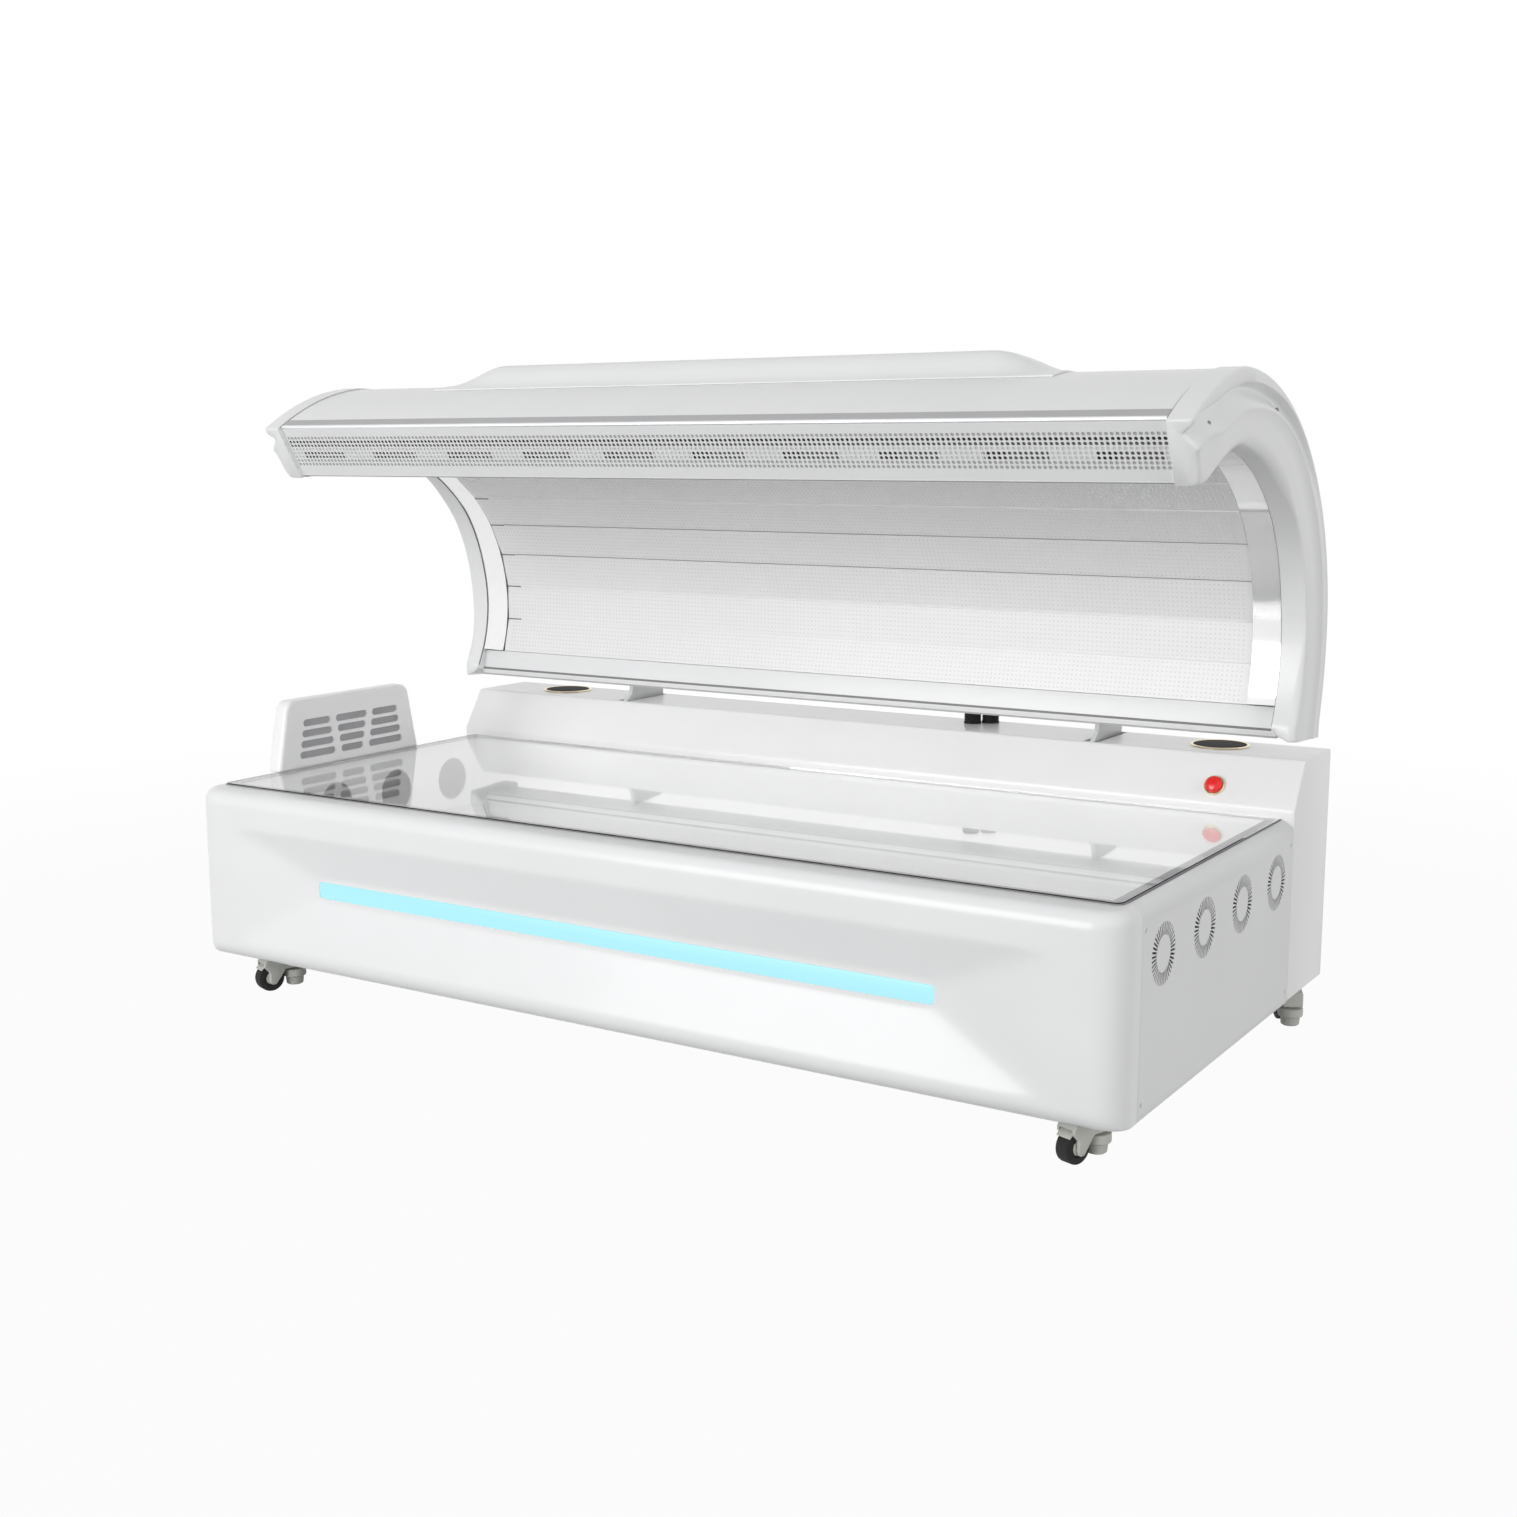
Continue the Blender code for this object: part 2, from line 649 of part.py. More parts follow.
def vent_slots(low_x, high_x):
    """Radial slots of every vent in an end panel, as one cutter."""
    middle = (VENT_OUTER_RADIUS + VENT_INNER_RADIUS) / 2
    size = (high_x - low_x, VENT_OUTER_RADIUS - VENT_INNER_RADIUS, VENT_SLOT_WIDTH)
    bm = bmesh.new()
    for y in VENT_PLACES:
        for number in range(VENT_SLOTS):
            turn = Matrix.Rotation(2 * math.pi * number / VENT_SLOTS, 4, "X")
            place = Matrix.Translation(((low_x + high_x) / 2, y, VENT_HEIGHT))
            shape = Matrix.Translation((0, middle, 0)) @ Matrix.Diagonal((*size, 1.0))
            bmesh.ops.create_cube(bm, size=1.0, matrix=place @ turn @ shape)
    return finish_mesh(bm)


def side_panel(name, side):
    """End panel whose top edge rolls in to the sheet, with four vents."""
    centre = (HALF - EDGE_ROLL, RIM_TOP - EDGE_ROLL)
    outer = arc(centre, EDGE_ROLL, EDGE_ROLL, 0.0, math.pi / 2, 4)
    inner = arc(centre, EDGE_ROLL - SKIN, EDGE_ROLL - SKIN, math.pi / 2, 0.0, 4)
    section = [(HALF, BASE_BOTTOM), *outer, *inner, (HALF - SKIN, BASE_BOTTOM)]
    section = [(side * x, z) for x, z in section]
    piece = part(name, extruded(section, "Y", FASCIA_SEAM, NOSE_Y - FIT), "white_satin")
    edges = sorted((side * (HALF - 2 * SKIN), side * (HALF + SKIN)))
    cut(piece, vent_slots(*edges))


def console_frame():
    """Place and turn of the console's slanted face at the button: local Z points out of the face."""
    low, high = Vector((0, NOSE_Y, NOSE_HEIGHT)), Vector((0, DECK_FRONT, DECK_HEIGHT))
    place = low.lerp(high, BUTTON_SHARE) + Vector((HALF - BUTTON_END_INSET, 0, 0))
    out = Vector((0, NOSE_HEIGHT - DECK_HEIGHT, DECK_FRONT - NOSE_Y)).normalized()
    return Matrix.Translation(place) @ Vector((0, 0, 1)).rotation_difference(out).to_matrix().to_4x4()


def rear_console():
    """Raised cover along the back: deck, slanted face and closed ends, open behind and below."""
    outline = [(NOSE_Y, BASE_BOTTOM), (REAR, BASE_BOTTOM), (REAR, DECK_HEIGHT),
               (DECK_FRONT, DECK_HEIGHT), (NOSE_Y, NOSE_HEIGHT)]
    piece = part("rear_console", extruded(outline, "X", -HALF, HALF), "white_gloss")
    inside = inset(outline, SKIN)
    inside[0] = (inside[0][0], BASE_BOTTOM - SKIN)
    inside[1] = (REAR + SKIN, BASE_BOTTOM - SKIN)
    inside[2] = (REAR + SKIN, inside[2][1])
    inner_half = HALF - SKIN
    hollow = extruded(inside, "X", -inner_half, inner_half)
    under = box((-inner_half, NOSE_Y - SKIN, BASE_BOTTOM - SKIN),
                (inner_half, NOSE_Y + 2 * SKIN, FLOOR_TOP + FIT))
    low, high = DECK_HEIGHT - 2 * SKIN, DECK_HEIGHT + SKIN
    holes = []
    for side in (-1, 1):
        holes.append(box((side * HINGE_X - SLOT_WIDTH / 2, DECK_FRONT + SLOT_FRONT_INSET, low),
                         (side * HINGE_X + SLOT_WIDTH / 2, REAR - SLOT_REAR_INSET, high)))
        holes.append(cylinder(SPEAKER_BODY_RADIUS + 2 * FIT, (side * SPEAKER_X, SPEAKER_Y, low),
                              (side * SPEAKER_X, SPEAKER_Y, high), 20))
    button_hole = cylinder(BEZEL_RADIUS * 0.65, (0, 0, -3 * SKIN), (0, 0, SKIN), 16)
    holes.append(moved(button_hole, console_frame()))
    cut(piece, hollow, under, merged(holes))


def rear_panel():
    """Flat back with the opening for the power inlet."""
    half = HALF - SKIN - FIT
    piece = part("rear_panel", box((-half, PANEL_FRONT, FLOOR_TOP + FIT),
                                   (half, PANEL_REAR, DECK_HEIGHT - SKIN - FIT)), "white_steel")
    width, height = INLET_SIZE
    x, z = INLET_PLACE
    cut(piece, box((x - width / 2 + SKIN / 2, PANEL_FRONT - SKIN, z - height / 2 + SKIN / 2),
                   (x + width / 2 - SKIN / 2, PANEL_REAR + SKIN, z + height / 2 - SKIN / 2)))


def power_inlet():
    """Appliance inlet in the back: a flange, a body through the panel and the socket in it."""
    width, height = INLET_SIZE
    x, z = INLET_PLACE
    edge = SKIN / 2 + FIT
    piece = part("power_inlet", box((x - width / 2, PANEL_REAR + FIT, z - height / 2),
                                    (x + width / 2, REAR - FIT, z + height / 2)), "black_plastic")
    join(piece, box((x - width / 2 + edge, PANEL_FRONT - INLET_BODY_DEPTH, z - height / 2 + edge),
                    (x + width / 2 - edge, PANEL_REAR + 2 * SKIN / 4, z + height / 2 - edge)))
    cut(piece, box((x - width / 2 + 2 * SKIN, PANEL_FRONT - INLET_BODY_DEPTH / 2, z - height / 2 + 2 * SKIN),
                   (x + width / 2 - 2 * SKIN, REAR + SKIN, z + height / 2 - 2 * SKIN)))


def bed_top():
    """Clear sheet that people lie on, with a notch where the hood stands."""
    def front_corner(a, b):
        return abs(a.z - b.z) > 1e-6 and a.y < TUB_FRONT

    piece = part("bed_top", rounded_box((-SHEET_HALF, SHEET_FRONT, SHEET_BOTTOM),
                                        (SHEET_HALF, NOSE_Y - FIT, BED_TOP_HEIGHT),
                                        SHEET_CORNER, front_corner, 4), "clear_sheet")
    reach = HOOD_FOOT_WIDTH / 2 + FIT
    cut(piece, box((-HALF, HOOD_CENTRE_Y - reach, SHEET_BOTTOM - SKIN),
                   (HOOD_FACE + FIT, HOOD_CENTRE_Y + reach, BED_TOP_HEIGHT + SKIN)))


def bed_seal():
    """Dark seal round the sheet: a bed below its edge and a lip outside it."""
    def front_corner(a, b):
        return abs(a.z - b.z) > 1e-6 and a.y < TUB_FRONT

    half = SHEET_HALF
    piece = part("bed_seal", rounded_box((-half - SEAL_LIP, SHEET_FRONT - SEAL_LIP, TUB_RIM + FIT),
                                         (half + SEAL_LIP, NOSE_Y - FIT, SEAL_TOP),
                                         SHEET_CORNER + SEAL_LIP, front_corner, 4), "dark_seal")
    pocket = rounded_box((-half - FIT, SHEET_FRONT - FIT, SHEET_BOTTOM - FIT),
                         (half + FIT, NOSE_Y + SKIN, SEAL_TOP + SKIN), SHEET_CORNER + FIT, front_corner, 4)
    inner = half + SEAL_LIP - SEAL_WIDTH
    opening = box((-inner, SHEET_FRONT - SEAL_LIP + SEAL_WIDTH, TUB_RIM - SKIN),
                  (inner, TUB_REAR - 2 * SKIN, SHEET_BOTTOM + SKIN))
    cut(piece, pocket, opening)


def lower_led_tray():
    """LED boards under the sheet, as one tray with a groove between boards."""
    front, rear = TUB_FRONT + SKIN + FIT, TUB_REAR - SKIN - FIT
    low = LED_TRAY_HEIGHT + FIT
    high = low + LED_TRAY_THICKNESS
    pitch = (rear - front) / LED_TRAY_BOARDS
    outline = [(front, low), (rear, low), (rear, high)]
    for number in range(LED_TRAY_BOARDS - 1, 0, -1):
        seam = front + number * pitch
        half_groove = LED_TRAY_GROOVE / 2
        outline += [(seam + half_groove, high), (seam, high - LED_TRAY_GROOVE), (seam - half_groove, high)]
    outline.append((front, high))
    half = TUB_HALF - SKIN - FIT
    part("lower_led_tray", extruded(outline, "X", -half, half), "white_satin")


def fan_bank():
    """Four square fan frames in one strip on the tub's right-hand end, each with its spider."""
    inner = TUB_HALF + FIT
    outer = inner + FAN_THICKNESS
    reach = FAN_SIZE / 2
    piece = part("fan_bank", box((inner, VENT_PLACES[0] - reach, VENT_HEIGHT - reach),
                                 (outer, VENT_PLACES[-1] + reach, VENT_HEIGHT + reach)), "black_plastic")
    bores = [cylinder(VENT_OUTER_RADIUS, (inner - SKIN, y, VENT_HEIGHT), (outer - FAN_WEB, y, VENT_HEIGHT))
             for y in VENT_PLACES]
    windows = []
    for y in VENT_PLACES:
        for quarter in range(4):
            start = quarter * math.pi / 2
            spread = FAN_SPOKE_WIDTH / 2 / VENT_INNER_RADIUS
            rim = VENT_OUTER_RADIUS - FAN_SPOKE_WIDTH / 2
            sector = arc((y, VENT_HEIGHT), rim, rim, start + spread, start + math.pi / 2 - spread, 4)
            sector += arc((y, VENT_HEIGHT), FAN_HUB_RADIUS, FAN_HUB_RADIUS,
                          start + math.pi / 2 - 2 * spread, start + 2 * spread, 2)
            windows.append(extruded(sector, "X", outer - 2 * FAN_WEB, outer + SKIN))
    cut(piece, merged(bores), merged(windows))


def fan_rotors():
    """Bladed rotors, each on its fan's axis."""
    hub_face = TUB_HALF + FIT + FAN_THICKNESS - FAN_WEB - FIT
    profile = [(0, FAN_HUB_LENGTH), (FAN_HUB_RADIUS, FAN_HUB_LENGTH), (FAN_HUB_RADIUS, 0), (0, 0)]
    hub = along_x(turned(profile, 15), (-FAN_HUB_LENGTH, 0, 0))
    pattern = part("fan_rotor", hub, "black_plastic")
    tip = VENT_OUTER_RADIUS - FAN_TIP_CLEARANCE
    root = FAN_HUB_RADIUS * 0.8
    bm = bmesh.new()
    for number in range(FAN_BLADES):
        around = Matrix.Rotation(2 * math.pi * number / FAN_BLADES, 4, "X")
        lean = Matrix.Rotation(FAN_BLADE_PITCH, 4, "Y")
        middle = Matrix.Translation((-FAN_HUB_LENGTH / 2, (tip + root) / 2, 0))
        size = Matrix.Diagonal((FAN_BLADE_THICKNESS, tip - root, FAN_BLADE_CHORD, 1.0))
        bmesh.ops.create_cube(bm, size=1.0, matrix=around @ middle @ lean @ size)
    join(pattern, finish_mesh(bm))
    mesh = bake(pattern)
    for number, y in enumerate(VENT_PLACES, 1):
        rotor = part(f"fan_rotor_{number}", mesh, "black_plastic")
        rotor.location = (hub_face, y, VENT_HEIGHT)


def speaker(name, side):
    """Round speaker let into the deck."""
    profile = [(0, 0.0025), (0.050, 0.0025), (0.052, 0.004), (SPEAKER_FLANGE_RADIUS, 0.003),
               (SPEAKER_FLANGE_RADIUS, FIT), (SPEAKER_BODY_RADIUS, FIT),
               (SPEAKER_BODY_RADIUS, 0.01 - SPEAKER_BODY_DEPTH), (0.030, -SPEAKER_BODY_DEPTH),
               (0, -SPEAKER_BODY_DEPTH)]
    piece = part(name, turned(profile, 20), "black_plastic")
    piece.location = (side * SPEAKER_X, SPEAKER_Y, DECK_HEIGHT)


def cable_boots():
    """Two short rubber boots on the deck, where the canopy's wiring is closed off."""
    profile = [(0, BOOT_HEIGHT), (BOOT_RADIUS - 0.002, BOOT_HEIGHT), (BOOT_RADIUS, BOOT_HEIGHT - 0.002),
               (BOOT_RADIUS, FIT), (0, FIT)]
    mesh = turned(profile, 16)
    for name, (x, inset_y) in zip(("front_cable_boot", "rear_cable_boot"), BOOT_PLACES):
        piece = part(name, mesh, "black_rubber")
        piece.location = (x, REAR - inset_y, DECK_HEIGHT)


def stop_button():
    """Red push button and the bezel that it moves in, on the slanted face."""
    seat = 0.0005
    head = seat + BUTTON_TRAVEL + FIT
    bore = BUTTON_STEM_RADIUS + FIT
    tube = BEZEL_RADIUS * 0.65 - FIT
    depth = -5 * SKIN
    ring = [(BUTTON_RADIUS + FIT, BEZEL_HEIGHT), (BEZEL_RADIUS, BEZEL_HEIGHT - 0.001), (BEZEL_RADIUS, FIT),
            (tube, FIT), (tube, depth), (bore, depth), (bore, seat), (BUTTON_RADIUS + FIT, seat),
            (BUTTON_RADIUS + FIT, BEZEL_HEIGHT)]
    bezel = part("button_bezel", turned(ring, 20), "brass_bezel")
    bezel.matrix_basis = console_frame()
    dome = [(BUTTON_RADIUS * math.sin(a), head + 0.003 + 0.010 * math.cos(a))
            for a in (math.pi / 2 * i / 4 for i in range(5))]
    knob = [*dome, (BUTTON_RADIUS, head), (BUTTON_STEM_RADIUS, head),
            (BUTTON_STEM_RADIUS, depth + 2 * SKIN), (0, depth + 2 * SKIN)]
    button = part("stop_button", turned(knob, 20), "red_button")
    button.matrix_basis = console_frame()


def power_supply():
    """Supply box on the floor behind the tub."""
    def any_edge(a, b):
        return a.z > FLOOR_TOP + SKIN and b.z > FLOOR_TOP + SKIN

    length, depth, height = SUPPLY_SIZE
    x, y = SUPPLY_X, REAR - SUPPLY_REAR_INSET
    low = FLOOR_TOP + FIT
    case = rounded_box((x - length / 2, y - depth / 2, low), (x + length / 2, y + depth / 2, low + height),
                       SKIN, any_edge, 1)
    part("power_supply", case, "zinc_steel")


def hood_outline(shrink):
    """Hood seen along X: a trapezium with round top corners, drawn in by a wall."""
    foot = HOOD_FOOT_WIDTH / 2 - shrink
    top_half = HOOD_TOP_WIDTH / 2 - shrink
    high = BED_TOP_HEIGHT + HOOD_HEIGHT - shrink
    radius = HOOD_CORNER - shrink
    right = arc((HOOD_CENTRE_Y + top_half - radius, high - radius), radius, radius, 0.1, math.pi / 2, 4)
    left = [(2 * HOOD_CENTRE_Y - y, z) for y, z in reversed(right)]
    return [(HOOD_CENTRE_Y - foot, HOOD_LOW), (HOOD_CENTRE_Y + foot, HOOD_LOW), *right, *left]


def head_vent():
    """Slotted air hood on the left-hand end, hollow and open below, standing on the seal."""
    piece = part("head_vent", extruded(hood_outline(0.0), "X", HOOD_BACK, HOOD_FACE), "white_gloss")
    inside = hood_outline(HOOD_WALL)
    inside[0] = (inside[0][0], HOOD_LOW - SKIN)
    inside[1] = (inside[1][0], HOOD_LOW - SKIN)
    middle_y = HOOD_CENTRE_Y + HOOD_SLOT_SHIFT
    slots = []
    for row in range(HOOD_ROWS):
        share = row / (HOOD_ROWS - 1)
        height = BED_TOP_HEIGHT + HOOD_FIRST_ROW + row * HOOD_ROW_PITCH
        outer, inner, middle = (low + (high - low) * share for low, high in
                                (HOOD_SIDE_SLOT_OUTER, HOOD_SIDE_SLOT_INNER, HOOD_MIDDLE_SLOT_HALF))
        for low, high in ((-outer, -inner), (-middle, middle), (inner, outer)):
            radius = HOOD_SLOT_HEIGHT / 2
            right = arc((middle_y + high - radius, height), radius, radius, -math.pi / 2, math.pi / 2, 4)
            left = arc((middle_y + low + radius, height), radius, radius, math.pi / 2, 1.5 * math.pi, 4)
            slots.append(extruded(right + left, "X", HOOD_FACE - 2 * HOOD_WALL, HOOD_FACE + HOOD_WALL))
    cut(piece, extruded(inside, "X", HOOD_BACK + HOOD_WALL, HOOD_FACE - HOOD_WALL), merged(slots))


def shell_path(grow):
    """Canopy's outer line from its low rear edge over the top to the nose, moved out by grow."""
    reach, rise, fall = SHELL_REACH + grow, SHELL_RISE + grow, SHELL_FALL + grow
    low = math.asin((SHELL_LOW - SHELL_CENTRE[1]) / fall)
    rear = arc(SHELL_CENTRE, reach, fall, low, 0.0, REAR_STEPS)
    back = arc(SHELL_CENTRE, reach, rise, 0.0, math.pi / 2, BACK_STEPS)
    start = Vector(back[-1])
    pull = Vector(SHELL_PULL) + Vector((0.0, grow))
    nose = Vector(SHELL_NOSE) + Vector((-grow, 0.0))
    brow = []
    for step in range(1, BROW_STEPS + 1):
        t = step / BROW_STEPS
        brow.append(tuple(start * (1 - t) ** 2 + pull * 2 * t * (1 - t) + nose * t ** 2))
    return rear + back[1:] + brow


def led_arc(grow, start, end, steps):
    """Canopy's inner line between two angles, moved out by grow."""
    return arc(LED_CENTRE, LED_REACH + grow, LED_RISE + grow, start, end, steps)


def canopy_part(name, mesh, finish):
    """Piece that moves with the canopy."""
    return part(name, to_pivot(mesh, HINGE_AXIS.location), finish, HINGE_AXIS)


def canopy_shell():
    """Curved white outer skin of the canopy."""
    half = CAP_SEAM - FIT
    canopy_part("canopy_shell", extruded(strip(shell_path(0.0), SKIN), "X", -half, half), "white_gloss")


def canopy_top_cover():
    """Raised cover along the top of the shell, with ramps all round."""
    whole = shell_path(0.0)
    first, last = REAR_STEPS + BACK_STEPS // 2, REAR_STEPS + BACK_STEPS + BROW_STEPS // 4
    path = [Vector(point) for point in whole[first:last + 1]]
    sides = [-side for side in mitres(whole)[first:last + 1]]
    run = [0.0]
    for start, end in zip(path, path[1:]):
        run.append(run[-1] + (end - start).length)
    half = HALF - COVER_END_INSET
    bm = bmesh.new()
    grid = []
    for point, side, along in zip(path, sides, run):
        rise_along = smooth_step(along / COVER_REAR_RAMP) * smooth_step((run[-1] - along) / COVER_FRONT_RAMP)
        line = []
        for column in range(COVER_COLUMNS + 1):
            x = half * (2 * column / COVER_COLUMNS - 1)
            height = COVER_HEIGHT * rise_along * smooth_step((half - abs(x)) / COVER_END_RAMP)
            y, z = point + side * (FIT + COVER_SKIN + height)
            line.append(bm.verts.new((x, y, z)))
        grid.append(line)
    for near, far in zip(grid, grid[1:]):
        for column in range(COVER_COLUMNS):
            bm.faces.new((near[column], far[column], far[column + 1], near[column + 1]))
    mesh = bpy.data.meshes.new("cover")
    bm.normal_update()
    bm.to_mesh(mesh)
    bm.free()
    cover = canopy_part("canopy_top_cover", mesh, "white_gloss")
    wall = cover.modifiers.new("wall", "SOLIDIFY")
    wall.thickness = COVER_SKIN
    wall.offset = -1.0


def lip_line(drawn_back):
    """Cap's inner line from the front lobe to the low end; the lobe itself isn't drawn back."""
    low = math.asin((SHELL_LOW - LED_CENTRE[1]) / (LED_RISE - CAP_LIP + drawn_back))
    start, full = math.radians(100), math.radians(70)
    points = []
    for step in range(LIP_STEPS + 1):
        angle = start + (low - start) * step / LIP_STEPS
        grow = drawn_back * smooth_step((start - angle) / (start - full)) - CAP_LIP
        points += led_arc(grow, angle, angle, 1)[:1]
    return points


def cap_outline(lip_back, rim_back):
    """End cap seen along X: the shell's line outside, the lip inside, a rounded lobe at the front."""
    outer = shell_path(CAP_PROUD - rim_back)
    nose_y, nose_z = outer[-1]
    foot_y, foot_z = GRILLE_FOOT
    lobe = [(nose_y - 0.003, nose_z - 0.008), (nose_y - 0.001, nose_z - 0.019),
            (foot_y - 0.009, foot_z - 0.003), (foot_y - 0.002, foot_z - 0.008),
            (foot_y + 0.010, foot_z - 0.006), (foot_y + 0.032, foot_z + 0.016)]
    heel = [(RAIL_REAR - 0.011, RAIL_BOTTOM - 0.010), (RAIL_REAR + 0.005 - rim_back, RAIL_BOTTOM - 0.004)]
    return outer + lobe + lip_line(lip_back) + heel


def cap_cavity():
    """Hollow of an end cap, open towards the shell."""
    outer = shell_path(CAP_PROUD - CAP_WALL - CAP_FLARE[-1][2])[1:-BROW_STEPS // 2]
    inner = led_arc(CAP_CORE - CAP_LIP, math.radians(86), LED_START, 14)
    return outer + inner


def end_cap(name, side):
    """Moulded end of the canopy, which flares away from its lip."""
    sections = []
    for share, lip_back, rim_back in CAP_FLARE:
        x = side * (CAP_SEAM + share * CAP_WIDTH)
        sections.append([(x, y, z) for y, z in cap_outline(lip_back, rim_back)])
    hollow = sorted((side * (CAP_SEAM - CAP_WALL), side * (HALF - 2 * CAP_WALL)))
    piece = canopy_part(name, lofted(sections), "white_gloss")
    cut(piece, to_pivot(extruded(cap_cavity(), "X", *hollow), HINGE_AXIS.location))


def front_grille():
    """Perforated front plate with the lip that turns back to the LED boards."""
    end = led_arc(0.0, LED_END + FIT / LED_RISE, LED_END, 1)[0]
    drop = (Vector(GRILLE_FOOT) - Vector(SHELL_NOSE)).normalized()
    nose = tuple(Vector(SHELL_NOSE) + drop * (SKIN + 2 * FIT))
    path = [nose, GRILLE_FOOT, end]
    half = CAP_SEAM - FIT
    plate = extruded(strip(path, GRILLE_THICKNESS), "X", -half, half)
    canopy_part("front_grille", plate, "polished_aluminium")


def lower_rail():
    """Aluminium rail along the canopy's low edge, which carries the shell and the first board."""
    inner = led_arc(0.0, LED_START, LED_START, 1)[0]
    outer = led_arc(LED_THICKNESS, LED_START, LED_START, 1)[0]
    heel_y, heel_z = shell_path(0.0)[0]
    step = RAIL_BOTTOM + RAIL_HEIGHT
    outline = [(RAIL_FRONT, RAIL_BOTTOM), (RAIL_REAR, RAIL_BOTTOM), (heel_y, heel_z - FIT),
               (heel_y - 2 * SKIN, heel_z - FIT), (RAIL_REAR - SKIN, step), (outer[0] + SKIN, step),
               (outer[0], outer[1] - FIT), (inner[0], inner[1] - FIT), (RAIL_FRONT - SKIN, step)]
    half = CAP_SEAM - FIT
    canopy_part("lower_rail", extruded(outline, "X", -half, half), "polished_aluminium")


def trim_strip(name, side):
    """Polished curved strip between the LED boards and an end cap."""
    path = led_arc(0.0, LED_START, LED_END, 20)
    spans = sorted((side * (TRIM_INNER + FIT), side * (CAP_SEAM - FIT)))
    canopy_part(name, extruded(strip(path, -TRIM_THICKNESS), "X", *spans), "polished_aluminium")


def led_panels():
    """LED panels along the canopy's inner line, each of flat boards side by side."""
    half = TRIM_INNER - FIT
    slack = FIT / 2 / LED_RISE
    for number in range(LED_PANELS):
        start = LED_START + number * LED_BOARDS_PER_PANEL * LED_STEP + slack
        end = LED_START + (number + 1) * LED_BOARDS_PER_PANEL * LED_STEP - slack
        path = led_arc(0.0, start, end, LED_BOARDS_PER_PANEL)
        boards = extruded(strip(path, -LED_THICKNESS), "X", -half, half)
        canopy_part(f"led_panel_{number + 1}", boards, "white_satin")


def hinge_arm(name, side):
    """Plate that carries the canopy: it comes up through the deck's slot from the hinge pin."""
    top = RAIL_BOTTOM - FIT
    lug = (HINGE_Y - LUG_REACH, HINGE_Z)
    front = [(HINGE_Y - 0.0225, top), (HINGE_Y - 0.0225, HINGE_Z + 0.0537),
             (HINGE_Y - 0.029, HINGE_Z + 0.036), (HINGE_Y - 0.0505, DECK_HEIGHT)]
    foot = [(lug[0] - 0.004, lug[1] + 0.010), (lug[0] - 0.004, lug[1] - 0.008),
            (HINGE_Y, HINGE_Z - 0.012), (HINGE_Y + 0.040, HINGE_Z - 0.010)]
    back = [(HINGE_Y + 0.1085, DECK_HEIGHT - 0.006), (HINGE_Y + 0.1085, top - 0.018),
            (HINGE_Y + 0.095, top - 0.006), (HINGE_Y + 0.018, top)]
    middle = side * HINGE_X
    plate = extruded(front + foot + back, "X", middle - ARM_THICKNESS / 2, middle + ARM_THICKNESS / 2)
    piece = canopy_part(name, plate, "white_steel")

    def bar(radius, width, y, z, sides):
        ends = (middle - width / 2, y, z), (middle + width / 2, y, z)
        return to_pivot(cylinder(radius, *ends, sides), HINGE_AXIS.location)

    boss = bar(ARM_BOSS_RADIUS, ARM_BOSS_WIDTH, HINGE_Y, HINGE_Z, 20)
    join(piece, boss, bar(LUG_RADIUS, LUG_WIDTH, *lug, 16))
    cut(piece, bar(PIN_RADIUS + FIT, 2 * ARM_BOSS_WIDTH, HINGE_Y, HINGE_Z, 20))


def hinge_bracket(name, side):
    """Channel-shaped post on the floor pan, with the pin's holes at its top."""
    middle = side * HINGE_X
    gap = ARM_BOSS_WIDTH / 2 + FIT
    out = gap + CHEEK_THICKNESS
    channel = [(-out, CHEEK_FRONT), (-gap, CHEEK_FRONT), (-gap, CHEEK_REAR - CHEEK_THICKNESS),
               (gap, CHEEK_REAR - CHEEK_THICKNESS), (gap, CHEEK_FRONT), (out, CHEEK_FRONT),
               (out, CHEEK_REAR), (-out, CHEEK_REAR)]
    channel = [(middle + x, y) for x, y in channel]
    top = HINGE_Z + ARM_BOSS_RADIUS
    piece = part(name, extruded(channel, "Z", FLOOR_TOP + FIT, top), "zinc_steel")
    window = box((middle - gap, CHEEK_REAR - 2 * CHEEK_THICKNESS, HINGE_Z - WEB_DROP),
                 (middle + gap, CHEEK_REAR + CHEEK_THICKNESS, top + SKIN))
    ends = (middle - 2 * out, HINGE_Y, HINGE_Z), (middle + 2 * out, HINGE_Y, HINGE_Z)
    hole = cylinder(PIN_RADIUS + FIT, *ends)
    cut(piece, window, hole)


def hinge_pin(name, side):
    """Headed pin through a bracket and its arm."""
    grip = ARM_BOSS_WIDTH / 2 + FIT + CHEEK_THICKNESS + FIT
    end = grip + PIN_HEAD_LENGTH
    profile = [(0, end), (PIN_HEAD_RADIUS, end), (PIN_HEAD_RADIUS, grip), (PIN_RADIUS, grip),
               (PIN_RADIUS, -grip), (PIN_HEAD_RADIUS, -grip), (PIN_HEAD_RADIUS, -end), (0, -end)]
    part(name, along_x(turned(profile, 20), (side * HINGE_X, HINGE_Y, HINGE_Z)), "zinc_steel")


